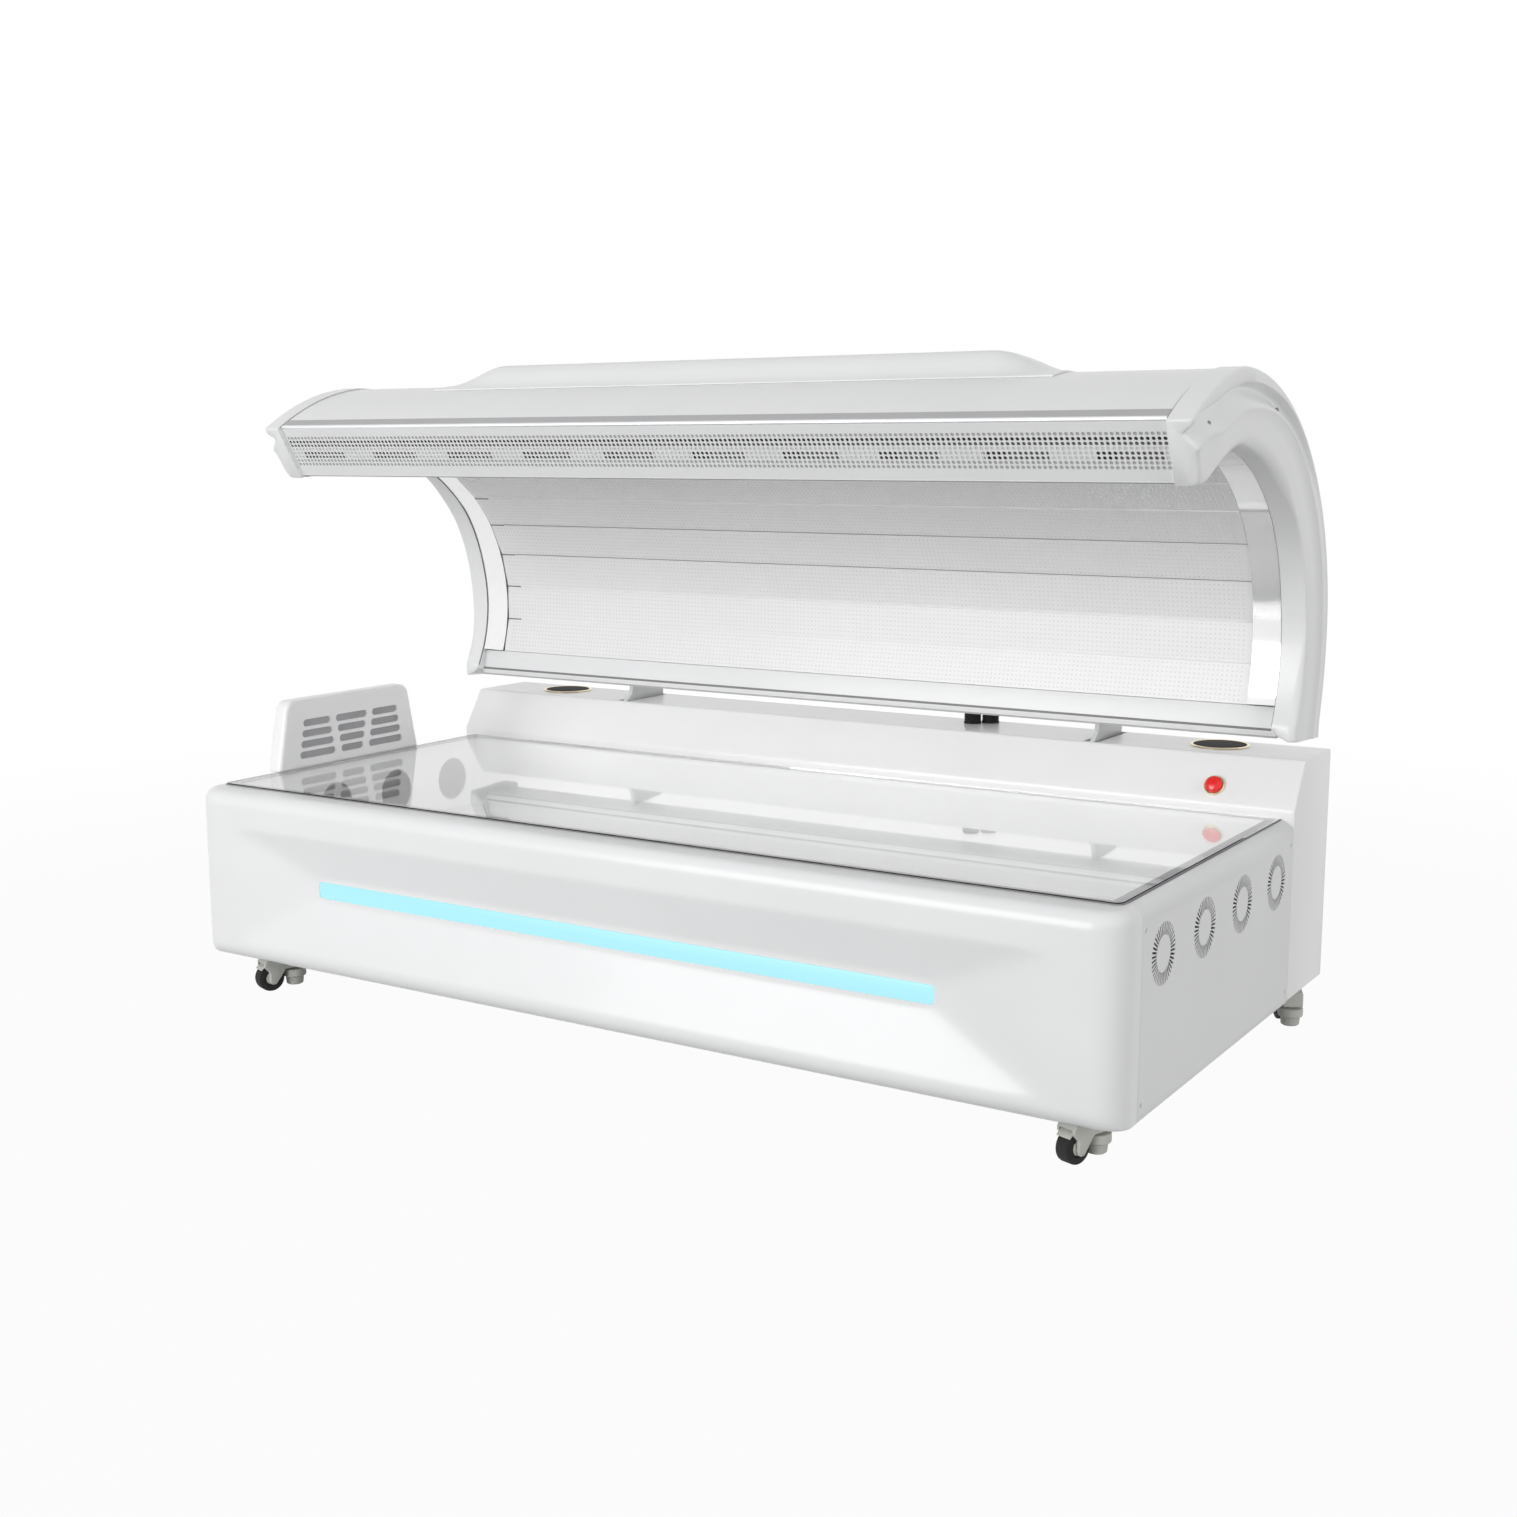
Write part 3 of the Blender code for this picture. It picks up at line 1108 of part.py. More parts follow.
def lift_strut(prefix, side):
    """Gas strut below an arm: its tube stands on the floor pan and its pad bears on the arm's lug."""
    x = side * HINGE_X
    foot = FLOOR_TOP + FIT
    pad_top = HINGE_Z - LUG_RADIUS - STRUT_PAD_CLEARANCE
    bore = STRUT_ROD_RADIUS + FIT
    rod_bottom = STRUT_TUBE_TOP - STRUT_ROD_DEPTH
    bore_bottom = rod_bottom - LUG_REACH
    tube = [(bore, STRUT_TUBE_TOP), (STRUT_TUBE_RADIUS, STRUT_TUBE_TOP),
            (STRUT_TUBE_RADIUS, foot + STRUT_FOOT_HEIGHT), (STRUT_FOOT_RADIUS, foot + STRUT_FOOT_HEIGHT),
            (STRUT_FOOT_RADIUS, foot), (0, foot), (0, bore_bottom), (bore, bore_bottom),
            (bore, STRUT_TUBE_TOP)]
    piece = part(f"{prefix}_lift_tube", turned_cup(tube, 16), "black_plastic")
    piece.location = (x, STRUT_Y, 0)
    rod = [(0, pad_top), (STRUT_PAD_RADIUS, pad_top), (STRUT_PAD_RADIUS, pad_top - STRUT_PAD_HEIGHT),
           (STRUT_ROD_RADIUS, pad_top - STRUT_PAD_HEIGHT), (STRUT_ROD_RADIUS, rod_bottom), (0, rod_bottom)]
    piece = part(f"{prefix}_lift_rod", turned(rod, 16), "zinc_steel")
    piece.location = (x, STRUT_Y, 0)


def turned_cup(profile, steps):
    """Turned tube with a blind bore: the profile's two points on the axis aren't joined."""
    split = next(i for i in range(len(profile) - 1) if profile[i][0] == 0 and profile[i + 1][0] == 0)
    return turned(profile[split + 1:-1] + profile[:split + 1], steps)


def casters():
    """Four levelling casters: a swivelling housing, its wheel and its screw foot."""
    housing_mesh, wheel_mesh, foot_mesh = caster_housing(), caster_wheel(), caster_foot()
    front_x, front_y = HALF - FRONT_CASTER_INSETS[0], FRONT + FRONT_CASTER_INSETS[1]
    rear_x, rear_y = HALF - REAR_CASTER_INSETS[0], REAR - REAR_CASTER_INSETS[1]
    places = (("front_left", -front_x, front_y, FRONT_CASTER_TURN),
              ("front_right", front_x, front_y, FRONT_CASTER_TURN),
              ("rear_left", -rear_x, rear_y, REAR_CASTER_TURN),
              ("rear_right", rear_x, rear_y, REAR_CASTER_TURN))
    for place, x, y, turn in places:
        swivel = pivot(f"{place}_swivel", (x, y, 0), turn)
        part(f"{place}_caster_housing", housing_mesh, "caster_plastic", swivel)
        wheel = part(f"{place}_caster_wheel", wheel_mesh, "black_rubber", swivel)
        wheel.location = (0, -WHEEL_TRAIL, WHEEL_HEIGHT)
        foot = part(f"{place}_caster_foot", foot_mesh, "caster_plastic", swivel)
        foot.location = (0, FOOT_OFFSET, 0)


def caster_housing():
    """Housing with a slot for the wheel, the wheel's axle, and a bore for the foot's screw."""
    top = BASE_BOTTOM - FIT
    half = HOUSING_WIDTH / 2
    ceiling = 2 * WHEEL_RADIUS + WHEEL_CLEARANCE
    shoulder = top - TURNTABLE_RADIUS / 3
    rear = FOOT_OFFSET + FOOT_RADIUS
    outline = [(-WHEEL_TRAIL - 0.020, 0.030), (-WHEEL_TRAIL - 0.012, 0.018), (-WHEEL_TRAIL + 0.008, 0.018),
               (-WHEEL_TRAIL + 0.020, 0.034), (0.006, 0.048), (rear, 0.048), (rear, shoulder - 0.012),
               (TURNTABLE_RADIUS, shoulder), (-TURNTABLE_RADIUS, shoulder), (-WHEEL_TRAIL - 0.020, ceiling)]
    pattern = part("caster_housing", extruded(outline, "X", -half, half), "caster_plastic")
    cut(pattern, box((-WHEEL_WIDTH / 2 - FIT * 4, -WHEEL_TRAIL - 2 * WHEEL_RADIUS, 0),
                     (WHEEL_WIDTH / 2 + FIT * 4, WHEEL_RADIUS + WHEEL_CLEARANCE - WHEEL_TRAIL, ceiling)))
    join(pattern, cylinder(AXLE_RADIUS, (-half + SKIN / 4, -WHEEL_TRAIL, WHEEL_HEIGHT),
                           (half - SKIN / 4, -WHEEL_TRAIL, WHEEL_HEIGHT), 12),
         cylinder(TURNTABLE_RADIUS, (0, 0, shoulder - SKIN / 4), (0, 0, top), 20))
    screw = (0, FOOT_OFFSET, 0), (0, FOOT_OFFSET, shoulder - 0.008)
    cut(pattern, cylinder(FOOT_STEM_RADIUS + FIT, *screw, 12))
    return bake(pattern)


def caster_wheel():
    """Black wheel about X, with a flat of its faceted tread at the bottom."""
    half = WHEEL_WIDTH / 2
    bore = AXLE_RADIUS + FIT
    edge = WHEEL_RADIUS - 0.003
    profile = [(bore, half), (edge, half), (WHEEL_RADIUS, half - 0.0035), (WHEEL_RADIUS, 0.0035 - half),
               (edge, -half), (bore, -half), (bore, half)]
    mesh = moved(turned(profile, WHEEL_SIDES), Matrix.Rotation(math.pi / WHEEL_SIDES, 4, "Z"))
    return along_x(mesh, (0, 0, 0))


def caster_foot():
    """Levelling foot: screw stem, hand ring and pad, held just clear of the floor."""
    ring = FOOT_LIFT + 0.025
    profile = [(0, ring + 0.044), (FOOT_STEM_RADIUS, ring + 0.044), (FOOT_STEM_RADIUS, ring + 0.012),
               (FOOT_RING_RADIUS, ring + 0.012), (FOOT_RING_RADIUS, ring),
               (FOOT_RADIUS - 0.008, ring - 0.012), (FOOT_RADIUS, ring - 0.020), (FOOT_RADIUS, FOOT_LIFT),
               (0, FOOT_LIFT)]
    return turned(profile, 16)


clear_scene()
PARTS = new_collection("red_light_therapy_bed")
CUTTERS = new_collection("cutters")
HINGE_AXIS = pivot("canopy_hinge_axis", (0, HINGE_Y, HINGE_Z))

base_frame()
front_fascia()
light_bar()
side_panel("left_side_panel", -1)
side_panel("right_side_panel", 1)
rear_console()
rear_panel()
power_inlet()
bed_top()
bed_seal()
lower_led_tray()
fan_bank()
fan_rotors()
speaker("left_speaker", -1)
speaker("right_speaker", 1)
cable_boots()
stop_button()
power_supply()
head_vent()
canopy_shell()
canopy_top_cover()
end_cap("left_end_cap", -1)
end_cap("right_end_cap", 1)
front_grille()
lower_rail()
trim_strip("left_trim_strip", -1)
trim_strip("right_trim_strip", 1)
led_panels()
for word, hand in (("left", -1), ("right", 1)):
    hinge_arm(f"{word}_hinge_arm", hand)
    hinge_bracket(f"{word}_hinge_bracket", hand)
    hinge_pin(f"{word}_hinge_pin", hand)
    lift_strut(word, hand)
casters()
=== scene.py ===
"""Looks of the red light therapy bed: its visible pieces, their finishes, the light and the camera.

Metres, +Z up, in the frame of the solids: X runs along the bed, people get in from the -Y side and
the floor is Z = 0. The canopy stands open.
"""
from __future__ import annotations

import json
import logging
import math
from dataclasses import dataclass
from enum import Enum
from typing import Callable, Iterable, Sequence

import bpy
from mathutils import Matrix, Vector

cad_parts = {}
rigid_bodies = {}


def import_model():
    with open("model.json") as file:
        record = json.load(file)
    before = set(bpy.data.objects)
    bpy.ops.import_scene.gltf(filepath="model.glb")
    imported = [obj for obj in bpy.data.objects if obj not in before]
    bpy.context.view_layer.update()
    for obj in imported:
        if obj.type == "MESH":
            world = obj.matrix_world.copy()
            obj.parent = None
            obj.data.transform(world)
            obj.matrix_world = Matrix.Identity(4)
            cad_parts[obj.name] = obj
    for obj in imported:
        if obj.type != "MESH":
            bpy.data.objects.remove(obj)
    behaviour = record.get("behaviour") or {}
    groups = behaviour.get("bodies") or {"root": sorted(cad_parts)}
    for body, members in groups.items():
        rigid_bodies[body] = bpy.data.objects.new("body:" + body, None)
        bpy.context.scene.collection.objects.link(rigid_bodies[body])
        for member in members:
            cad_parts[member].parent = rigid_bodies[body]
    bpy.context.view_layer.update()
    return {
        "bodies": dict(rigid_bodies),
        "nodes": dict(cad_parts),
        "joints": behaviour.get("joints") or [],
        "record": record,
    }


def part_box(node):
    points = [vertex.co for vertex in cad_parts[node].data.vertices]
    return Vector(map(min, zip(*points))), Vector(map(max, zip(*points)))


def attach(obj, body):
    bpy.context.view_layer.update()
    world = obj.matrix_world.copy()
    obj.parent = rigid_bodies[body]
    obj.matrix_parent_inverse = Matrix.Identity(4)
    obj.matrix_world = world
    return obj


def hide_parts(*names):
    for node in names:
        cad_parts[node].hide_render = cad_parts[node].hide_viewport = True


LOG = logging.getLogger("therapy_bed")
FIT = 0.0003
SKIN = 0.004
PURE_WHITE = (1.0, 1.0, 1.0, 1.0)

Piece = bpy.types.Object
Socket = bpy.types.NodeSocket
Tree = bpy.types.NodeTree
Flat = tuple[float, float]
Line = tuple[Flat, ...]
Place = tuple[float, float, float]
Colour = tuple[float, float, float]
Values = dict[str, float | Sequence[float]]


class Axis(Enum):
    """Direction that an outline is drawn out along."""

    X = "X"
    Y = "Y"
    Z = "Z"

    def lift(self, across: float, up: float, along: float) -> Vector:
        """Place of an outline's point at a distance along the axis.

        Args:
            across: How far the point is across the outline.
            up: How far it is up.
            along: Distance along the axis.

        Returns:
            The place.
        """
        if self is Axis.X:
            return Vector((along, across, up))
        if self is Axis.Y:
            return Vector((across, along, up))
        return Vector((across, up, along))


class Grain(Enum):
    """How a finish breaks up at close range."""

    MOULDED = "moulded"
    BRUSHED = "brushed"
    CLOTH = "cloth"


class Side(Enum):
    """End of the bed, as the sign of its X."""

    LEFT = -1
    RIGHT = 1

    @property
    def word(self) -> str:
        """Name of the side, as the pieces use it."""
        return self.name.lower()


def set_inputs(node: bpy.types.Node, values: Values) -> bpy.types.Node:
    """Set a node's sockets by their names.

    Args:
        node: Node to set.
        values: Value of each socket.

    Returns:
        The same node.
    """
    for name, value in values.items():
        node.inputs[name].default_value = value
    return node


def show_mix(tree: Tree, share: Socket, first: Socket, second: Socket, output: str) -> None:
    """Send a blend of two shaders to a tree's output.

    Args:
        tree: Node tree of the material or the world.
        share: Share of the second shader.
        first: First shader.
        second: Second shader.
        output: Name of the output node.
    """
    mix = tree.nodes.new("ShaderNodeMixShader")
    tree.links.new(share, mix.inputs["Fac"])
    tree.links.new(first, mix.inputs[1])
    tree.links.new(second, mix.inputs[2])
    tree.links.new(mix.outputs["Shader"], tree.nodes[output].inputs["Surface"])


@dataclass(frozen=True)
class Finish:
    """Surface finish: a colour with slight mottling, and a fine grain in its gloss and relief."""

    name: str
    slot: str
    colour: Colour
    roughness: float
    metallic: float = 0.0
    coat: float = 0.0
    coat_roughness: float = 0.06
    transmission: float = 0.0
    ior: float = 1.5
    glow: float = 0.0
    lit_base: float = 0.03
    mottle: float = 0.03
    mottle_size: float = 0.25
    mottle_span: Flat = (0.30, 0.70)
    grain: Grain = Grain.MOULDED
    grain_size: float = 0.0015
    grain_depth: float = 0.00002
    grain_strength: float = 0.25
    gloss_spread: Flat = (0.85, 1.15)
    brush_stretch: float = 0.01
    open_to_lamps: bool = False

    def material(self) -> bpy.types.Material:
        """The finish as a node material, made once.

        Returns:
            The material.
        """
        made = bpy.data.materials.get(self.name)
        if made:
            return made
        made = bpy.data.materials.new(self.name)
        made.use_nodes = True
        tree = made.node_tree
        shader = set_inputs(tree.nodes["Principled BSDF"], {
            "Metallic": self.metallic, "IOR": self.ior, "Transmission Weight": self.transmission,
            "Coat Weight": self.coat, "Coat Roughness": self.coat_roughness})
        if self.glow:
            set_inputs(shader, {"Emission Color": (*self.colour, 1.0), "Emission Strength": self.glow})
        place = tree.nodes.new("ShaderNodeTexCoord").outputs["Object"]
        self._mottled(tree, place, shader)
        self._grained(tree, place, shader)
        if self.open_to_lamps:
            path = tree.nodes.new("ShaderNodeLightPath")
            clear = tree.nodes.new("ShaderNodeBsdfTransparent")
            show_mix(tree, path.outputs["Is Shadow Ray"], shader.outputs["BSDF"], clear.outputs["BSDF"],
                     "Material Output")
        return made

    def _mottled(self, tree: Tree, place: Socket, shader: bpy.types.Node) -> None:
        """Give the base colour its slow variation.

        Args:
            tree: Node tree of the material.
            place: Coordinates that the pattern reads.
            shader: Principled shader that takes the colour.
        """
        cloud = set_inputs(tree.nodes.new("ShaderNodeTexNoise"),
                           {"Scale": 1.0 / self.mottle_size, "Detail": 3.0})
        tree.links.new(place, cloud.inputs["Vector"])
        ramp = tree.nodes.new("ShaderNodeValToRGB")
        lit = self.lit_base if self.glow else 1.0
        shades = (1.0 - self.mottle, 1.0)
        for element, position, shade in zip(ramp.color_ramp.elements, self.mottle_span, shades):
            element.position = position
            element.color = (*(lit * part * shade for part in self.colour), 1.0)
        tree.links.new(cloud.outputs["Fac"], ramp.inputs["Fac"])
        tree.links.new(ramp.outputs["Color"], shader.inputs["Base Color"])

    def _grained(self, tree: Tree, place: Socket, shader: bpy.types.Node) -> None:
        """Give the gloss and the relief their fine grain.

        Args:
            tree: Node tree of the material.
            place: Coordinates that the pattern reads.
            shader: Principled shader that takes roughness and normal.
        """
        pitch = 1.0 / self.grain_size
        along = pitch * self.brush_stretch if self.grain is Grain.BRUSHED else pitch
        stretch = set_inputs(tree.nodes.new("ShaderNodeMapping"), {"Scale": (along, pitch, pitch)})
        tree.links.new(place, stretch.inputs["Vector"])
        if self.grain is Grain.CLOTH:
            dots = set_inputs(tree.nodes.new("ShaderNodeTexVoronoi"), {"Scale": 1.0, "Randomness": 0.0})
            source = dots.outputs["Distance"]
        else:
            dots = set_inputs(tree.nodes.new("ShaderNodeTexNoise"), {"Scale": 1.0, "Detail": 2.0})
            source = dots.outputs["Fac"]
        tree.links.new(stretch.outputs["Vector"], dots.inputs["Vector"])
        low, high = (self.roughness * share for share in self.gloss_spread)
        gloss = set_inputs(tree.nodes.new("ShaderNodeMapRange"), {"To Min": low, "To Max": high})
        tree.links.new(source, gloss.inputs["Value"])
        tree.links.new(gloss.outputs["Result"], shader.inputs["Roughness"])
        relief = set_inputs(tree.nodes.new("ShaderNodeBump"),
                            {"Strength": self.grain_strength, "Distance": self.grain_depth})
        tree.links.new(source, relief.inputs["Height"])
        tree.links.new(relief.outputs["Normal"], shader.inputs["Normal"])


WHITE_GLOSS = Finish("white_gloss_plastic", "white_gloss", (0.86, 0.865, 0.87), 0.30, coat=0.1)
WHITE_SATIN = Finish("white_satin_paint", "white_satin", (0.82, 0.825, 0.83), 0.38)
WHITE_STEEL = Finish("white_painted_steel", "white_steel", (0.80, 0.805, 0.81), 0.42)
# Lighter copy of the white gloss: painted light on the console and the hood.
LIT_CONSOLE_WHITE = Finish("white_gloss_lit_copy", "white_gloss", (0.93, 0.93, 0.935), 0.30, coat=0.2)
# Lighter copy of the white steel: painted light on the tub seen through the clear sheet.
LIT_TUB_WHITE = Finish("white_steel_lit_copy", "white_steel", (0.93, 0.935, 0.94), 0.40)
LED_BOARD = Finish("led_board_white", "led_board", (0.855, 0.855, 0.855), 0.30, mottle=0.02)
LED_LENS = Finish("led_lens", "led_board", (0.76, 0.76, 0.76), 0.25, mottle=0.05, mottle_size=0.02)
# Paler than the boards: painted highlight on the raised edges where boards meet.
LED_EDGE_HIGHLIGHT = Finish("led_edge_painted_highlight", "led_board", (0.95, 0.95, 0.95), 0.20, coat=0.3)
POLISHED = Finish("polished_aluminium", "polished_aluminium", (0.92, 0.92, 0.92), 0.14, metallic=1.0,
                  grain=Grain.BRUSHED, grain_size=0.0008, grain_depth=0.000004)
TRIM_METAL = Finish("polished_trim", "polished_aluminium", (0.93, 0.93, 0.93), 0.08, metallic=0.7,
                    grain=Grain.BRUSHED, grain_size=0.0008, grain_depth=0.000002)
GRILLE_WHITE = Finish("grille_white", "polished_aluminium", (0.84, 0.845, 0.85), 0.30)
CLEAR = Finish("clear_acrylic", "clear_sheet", (1.0, 1.0, 1.0), 0.02, transmission=1.0, ior=1.32,
               mottle=0.01, grain_depth=0.000001, open_to_lamps=True)
SEAL_GREY = Finish("seal_rubber", "dark_seal", (0.26, 0.26, 0.27), 0.55, mottle=0.10, mottle_size=0.05)
# Grey strips that paint shade: behind the canopy's nose and under the rail's foot.
PAINTED_SHADE_GREY = Finish("painted_shade_grey", "dark_seal", (0.47, 0.47, 0.48), 0.45, mottle=0.06, mottle_size=0.1)
# Dark strips that paint the shadow in seams, steps and gaps.
GAP_SHADE = Finish("painted_gap_shade", "dark_seal", (0.22, 0.22, 0.23), 0.55, mottle=0.10, mottle_size=0.05)
CYAN = Finish("cyan_diffuser", "cyan_lens", (0.41, 0.84, 0.93), 0.30, glow=1.0)
BLACK_PLASTIC = Finish("black_plastic", "black_plastic", (0.022, 0.022, 0.023), 0.42, mottle=0.15)
BLACK_RUBBER = Finish("black_rubber", "black_rubber", (0.018, 0.018, 0.018), 0.55, mottle=0.2,
                      mottle_size=0.02, grain_depth=0.00008)
SPEAKER_CLOTH = Finish("speaker_mesh", "black_plastic", (0.012, 0.012, 0.012), 0.85, mottle=0.3,
                       mottle_size=0.01, grain=Grain.CLOTH, grain_size=0.0018, grain_depth=0.0004)
BRASS = Finish("champagne_ring", "brass_bezel", (0.88, 0.78, 0.55), 0.20, metallic=1.0, mottle=0.06,
               mottle_size=0.02)
RED = Finish("red_button_gloss", "red_button", (0.90, 0.012, 0.010), 0.16, coat=0.3, mottle=0.06,
             mottle_size=0.01)
ZINC = Finish("zinc_steel", "zinc_steel", (0.58, 0.59, 0.60), 0.34, metallic=1.0, mottle=0.12,
              mottle_size=0.02)
CASTER_WHITE = Finish("caster_plastic", "caster_plastic", (0.74, 0.755, 0.70), 0.42, mottle=0.06,
                      mottle_size=0.02)
# Greys that paint the shade seen through holes and slots.
HOLE_SHADE_BLACK = Finish("hole_shade_black", "black_plastic", (0.012, 0.012, 0.013), 0.7)
HOLE_SHADE_DARK = Finish("hole_shade_dark", "black_plastic", (0.10, 0.10, 0.102), 0.6)
HOLE_SHADE_GREY = Finish("hole_shade_grey", "white_satin", (0.45, 0.45, 0.455), 0.6)
HOLE_SHADE_PALE = Finish("hole_shade_pale", "white_satin", (0.70, 0.70, 0.705), 0.6)
# Grey for the sheet behind the hood's slots: painted shade inside the hood.
HOOD_SHADE_GREY = Finish("hood_shade_grey", "black_plastic", (0.42, 0.42, 0.43), 0.7, mottle=0.1, mottle_size=0.03,
                     grain=Grain.CLOTH, grain_size=0.0012, grain_depth=0.0002)
DARK_SCREW = Finish("dark_screw", "zinc_steel", (0.34, 0.34, 0.345), 0.35, metallic=1.0, mottle=0.2,
                    mottle_size=0.004)


def clear_selection() -> None:
    """Deselect every object."""
    bpy.ops.object.select_all(action="DESELECT")


def grip(piece: Piece) -> None:
    """Make a piece the only selected object, and the active one."""
    clear_selection()
    piece.select_set(True)
    bpy.context.view_layer.objects.active = piece


def started(name: str) -> Piece:
    """Name the primitive that was just added.

    Args:
        name: Name of the piece.

    Returns:
        The piece.
    """
    piece = bpy.context.active_object
    piece.name = name
    piece.data.name = name
    return piece


def tidied(piece: Piece) -> Piece:
    """Merge doubled corners and turn the faces outwards.

    Args:
        piece: Piece to tidy.

    Returns:
        The same piece.
    """
    grip(piece)
    bpy.ops.object.mode_set(mode="EDIT")
    bpy.ops.mesh.select_all(action="SELECT")
    bpy.ops.mesh.remove_doubles(threshold=1e-6)
    bpy.ops.mesh.normals_make_consistent(inside=False)
    bpy.ops.object.mode_set(mode="OBJECT")
    return piece


def loft(name: str, sections: Sequence[Sequence[Vector]]) -> Piece:
    """Closed body through loops of points, drawn out from one loop to the next.

    Args:
        name: Name of the piece.
        sections: Closed loops, all with the same count of points.

    Returns:
        The piece.
    """
    clear_selection()
    bpy.ops.mesh.primitive_circle_add(vertices=len(sections[0]), radius=1.0, fill_type="NGON")
    piece = started(name)
    mesh = piece.data
    ring = {}
    for number, (vertex, point) in enumerate(zip(mesh.vertices, sections[0])):
        vertex.co = point
        ring[tuple(vertex.co)] = number
    for section in sections[1:]:
        bpy.ops.object.mode_set(mode="EDIT")
        bpy.ops.mesh.extrude_region_move()
        bpy.ops.object.mode_set(mode="OBJECT")
        drawn = {}
        for vertex in (corner for corner in mesh.vertices if corner.select):
            number = ring[tuple(vertex.co)]
            vertex.co = section[number]
            drawn[tuple(vertex.co)] = number
        ring = drawn
    return tidied(piece)


def slab(name: str, outline: Sequence[Flat], axis: Axis, low: float, high: float) -> Piece:
    """Closed outline, seen along an axis, drawn out along it from its low to its high end."""
    return loft(name, [[axis.lift(*point, along) for point in outline] for along in (low, high)])


def turned(name: str, profile: Sequence[Flat], steps: int, place: Matrix) -> Piece:
    """Body of round sections, given from one end to the other.

    Args:
        name: Name of the piece.
        profile: Radius and height of each section.
        steps: Sides of each section.
        place: Where the body stands; it is made about Z.

    Returns:
        The piece.
    """
    turns = [2 * math.pi * step / steps for step in range(steps)]
    sections = [[place @ Vector((radius * math.cos(turn), radius * math.sin(turn), height))
                 for turn in turns] for radius, height in profile]
    return loft(name, sections)


def sheet(name: str, columns: int, rows: int, place: Callable[[int, int], Vector], wall: float) -> Piece:
    """Curved sheet with a wall, shaped from a grid.

    Args:
        name: Name of the piece.
        columns: Cells across.
        rows: Cells up.
        place: Place of the corner in a column and a row.
        wall: Thickness, to the side that the faces don't point to.

    Returns:
        The piece.
    """
    clear_selection()
    bpy.ops.mesh.primitive_grid_add(x_subdivisions=columns, y_subdivisions=rows, size=2.0)
    piece = started(name)
    for vertex in piece.data.vertices:
        column = round((vertex.co.x + 1.0) / 2.0 * columns)
        row = round((vertex.co.y + 1.0) / 2.0 * rows)
        vertex.co = place(column, row)
    apply_modifier(piece, "SOLIDIFY", {"thickness": wall, "offset": -1.0})
    return piece


def thicken(piece: Piece, name: str, wall: float) -> Piece:
    """Flat piece with a wall, to the side that its faces point to.

    Args:
        piece: Flat piece.
        name: Its new name.
        wall: Its thickness.

    Returns:
        The same piece.
    """
    piece.name = name
    apply_modifier(piece, "SOLIDIFY", {"thickness": wall, "offset": 1.0})
    return tidied(piece)


def apply_modifier(piece: Piece, kind: str, settings: dict[str, object]) -> None:
    """Apply a modifier to a piece.

    Args:
        piece: Piece to change.
        kind: Kind of modifier.
        settings: Its settings by name.
    """
    step = piece.modifiers.new(kind.lower(), kind)
    for name, value in settings.items():
        setattr(step, name, value)
    grip(piece)
    bpy.ops.object.modifier_apply(modifier=step.name)


def bevel(piece: Piece, width: float, segments: int = 3, angle: float = 30.0) -> None:
    """Round the edges that are sharper than an angle.

    Args:
        piece: Piece to round.
        width: Width of the rounding.
        segments: Faces across it.
        angle: Least angle between an edge's faces, in degrees.
    """
    apply_modifier(piece, "BEVEL", {
        "width": width, "segments": segments, "limit_method": "ANGLE",
        "angle_limit": math.radians(angle), "miter_outer": "MITER_ARC"})


def carve(piece: Piece, cutter: Piece) -> None:
    """Cut one piece out of another; the cutter is used up."""
    apply_modifier(piece, "BOOLEAN", {"operation": "DIFFERENCE", "object": cutter})
    bpy.data.objects.remove(cutter, do_unlink=True)


def box_at(name: str, size: Sequence[float], place: Matrix) -> Piece:
    """Box of a size with its middle at a place.

    Args:
        name: Name of the piece.
        size: Its length along each axis.
        place: Where its middle is, and its turn.

    Returns:
        The piece.
    """
    clear_selection()
    bpy.ops.mesh.primitive_cube_add(size=1.0)
    piece = started(name)
    piece.data.transform(Matrix.Diagonal((*size, 1.0)))
    piece.data.transform(place)
    return piece


def screw_head(profile: Sequence[Flat], blade: Sequence[float], lift: float, spot: Matrix) -> Piece:
    """Screw head with a cross slot.

    Args:
        profile: Radius and height of each section of the head.
        blade: Length, width and depth of the cutter.
        lift: Height of the cutter's middle.
        spot: Where the head stands; it is made about Z.

    Returns:
        The head.
    """
    head = turned("head", profile, 16, spot)
    for quarter in (0.0, math.pi / 2):
        turn = Matrix.Translation((0, 0, lift)) @ Matrix.Rotation(quarter, 4, "Z")
        carve(head, box_at("blade", blade, spot @ turn))
    return head


def joined(name: str, pieces: Sequence[Piece]) -> Piece:
    """Several pieces as one.

    Args:
        name: Name of the whole.
        pieces: Pieces to join.

    Returns:
        The whole.
    """
    grip(pieces[0])
    for piece in pieces[1:]:
        piece.select_set(True)
    bpy.ops.object.join()
    return started(name)


def copied(piece: Piece, name: str, move: Matrix) -> Piece:
    """Copy of a piece with its own mesh, moved by a matrix.

    Args:
        piece: Piece to copy.
        name: Name of the copy.
        move: Move, turn or mirroring of the copy.

    Returns:
        The copy.
    """
    twin = piece.copy()
    twin.data = piece.data.copy()
    twin.name = name
    twin.data.name = name
    twin.data.transform(move)
    if move.determinant() < 0:
        twin.data.flip_normals()
    bpy.context.scene.collection.objects.link(twin)
    return twin


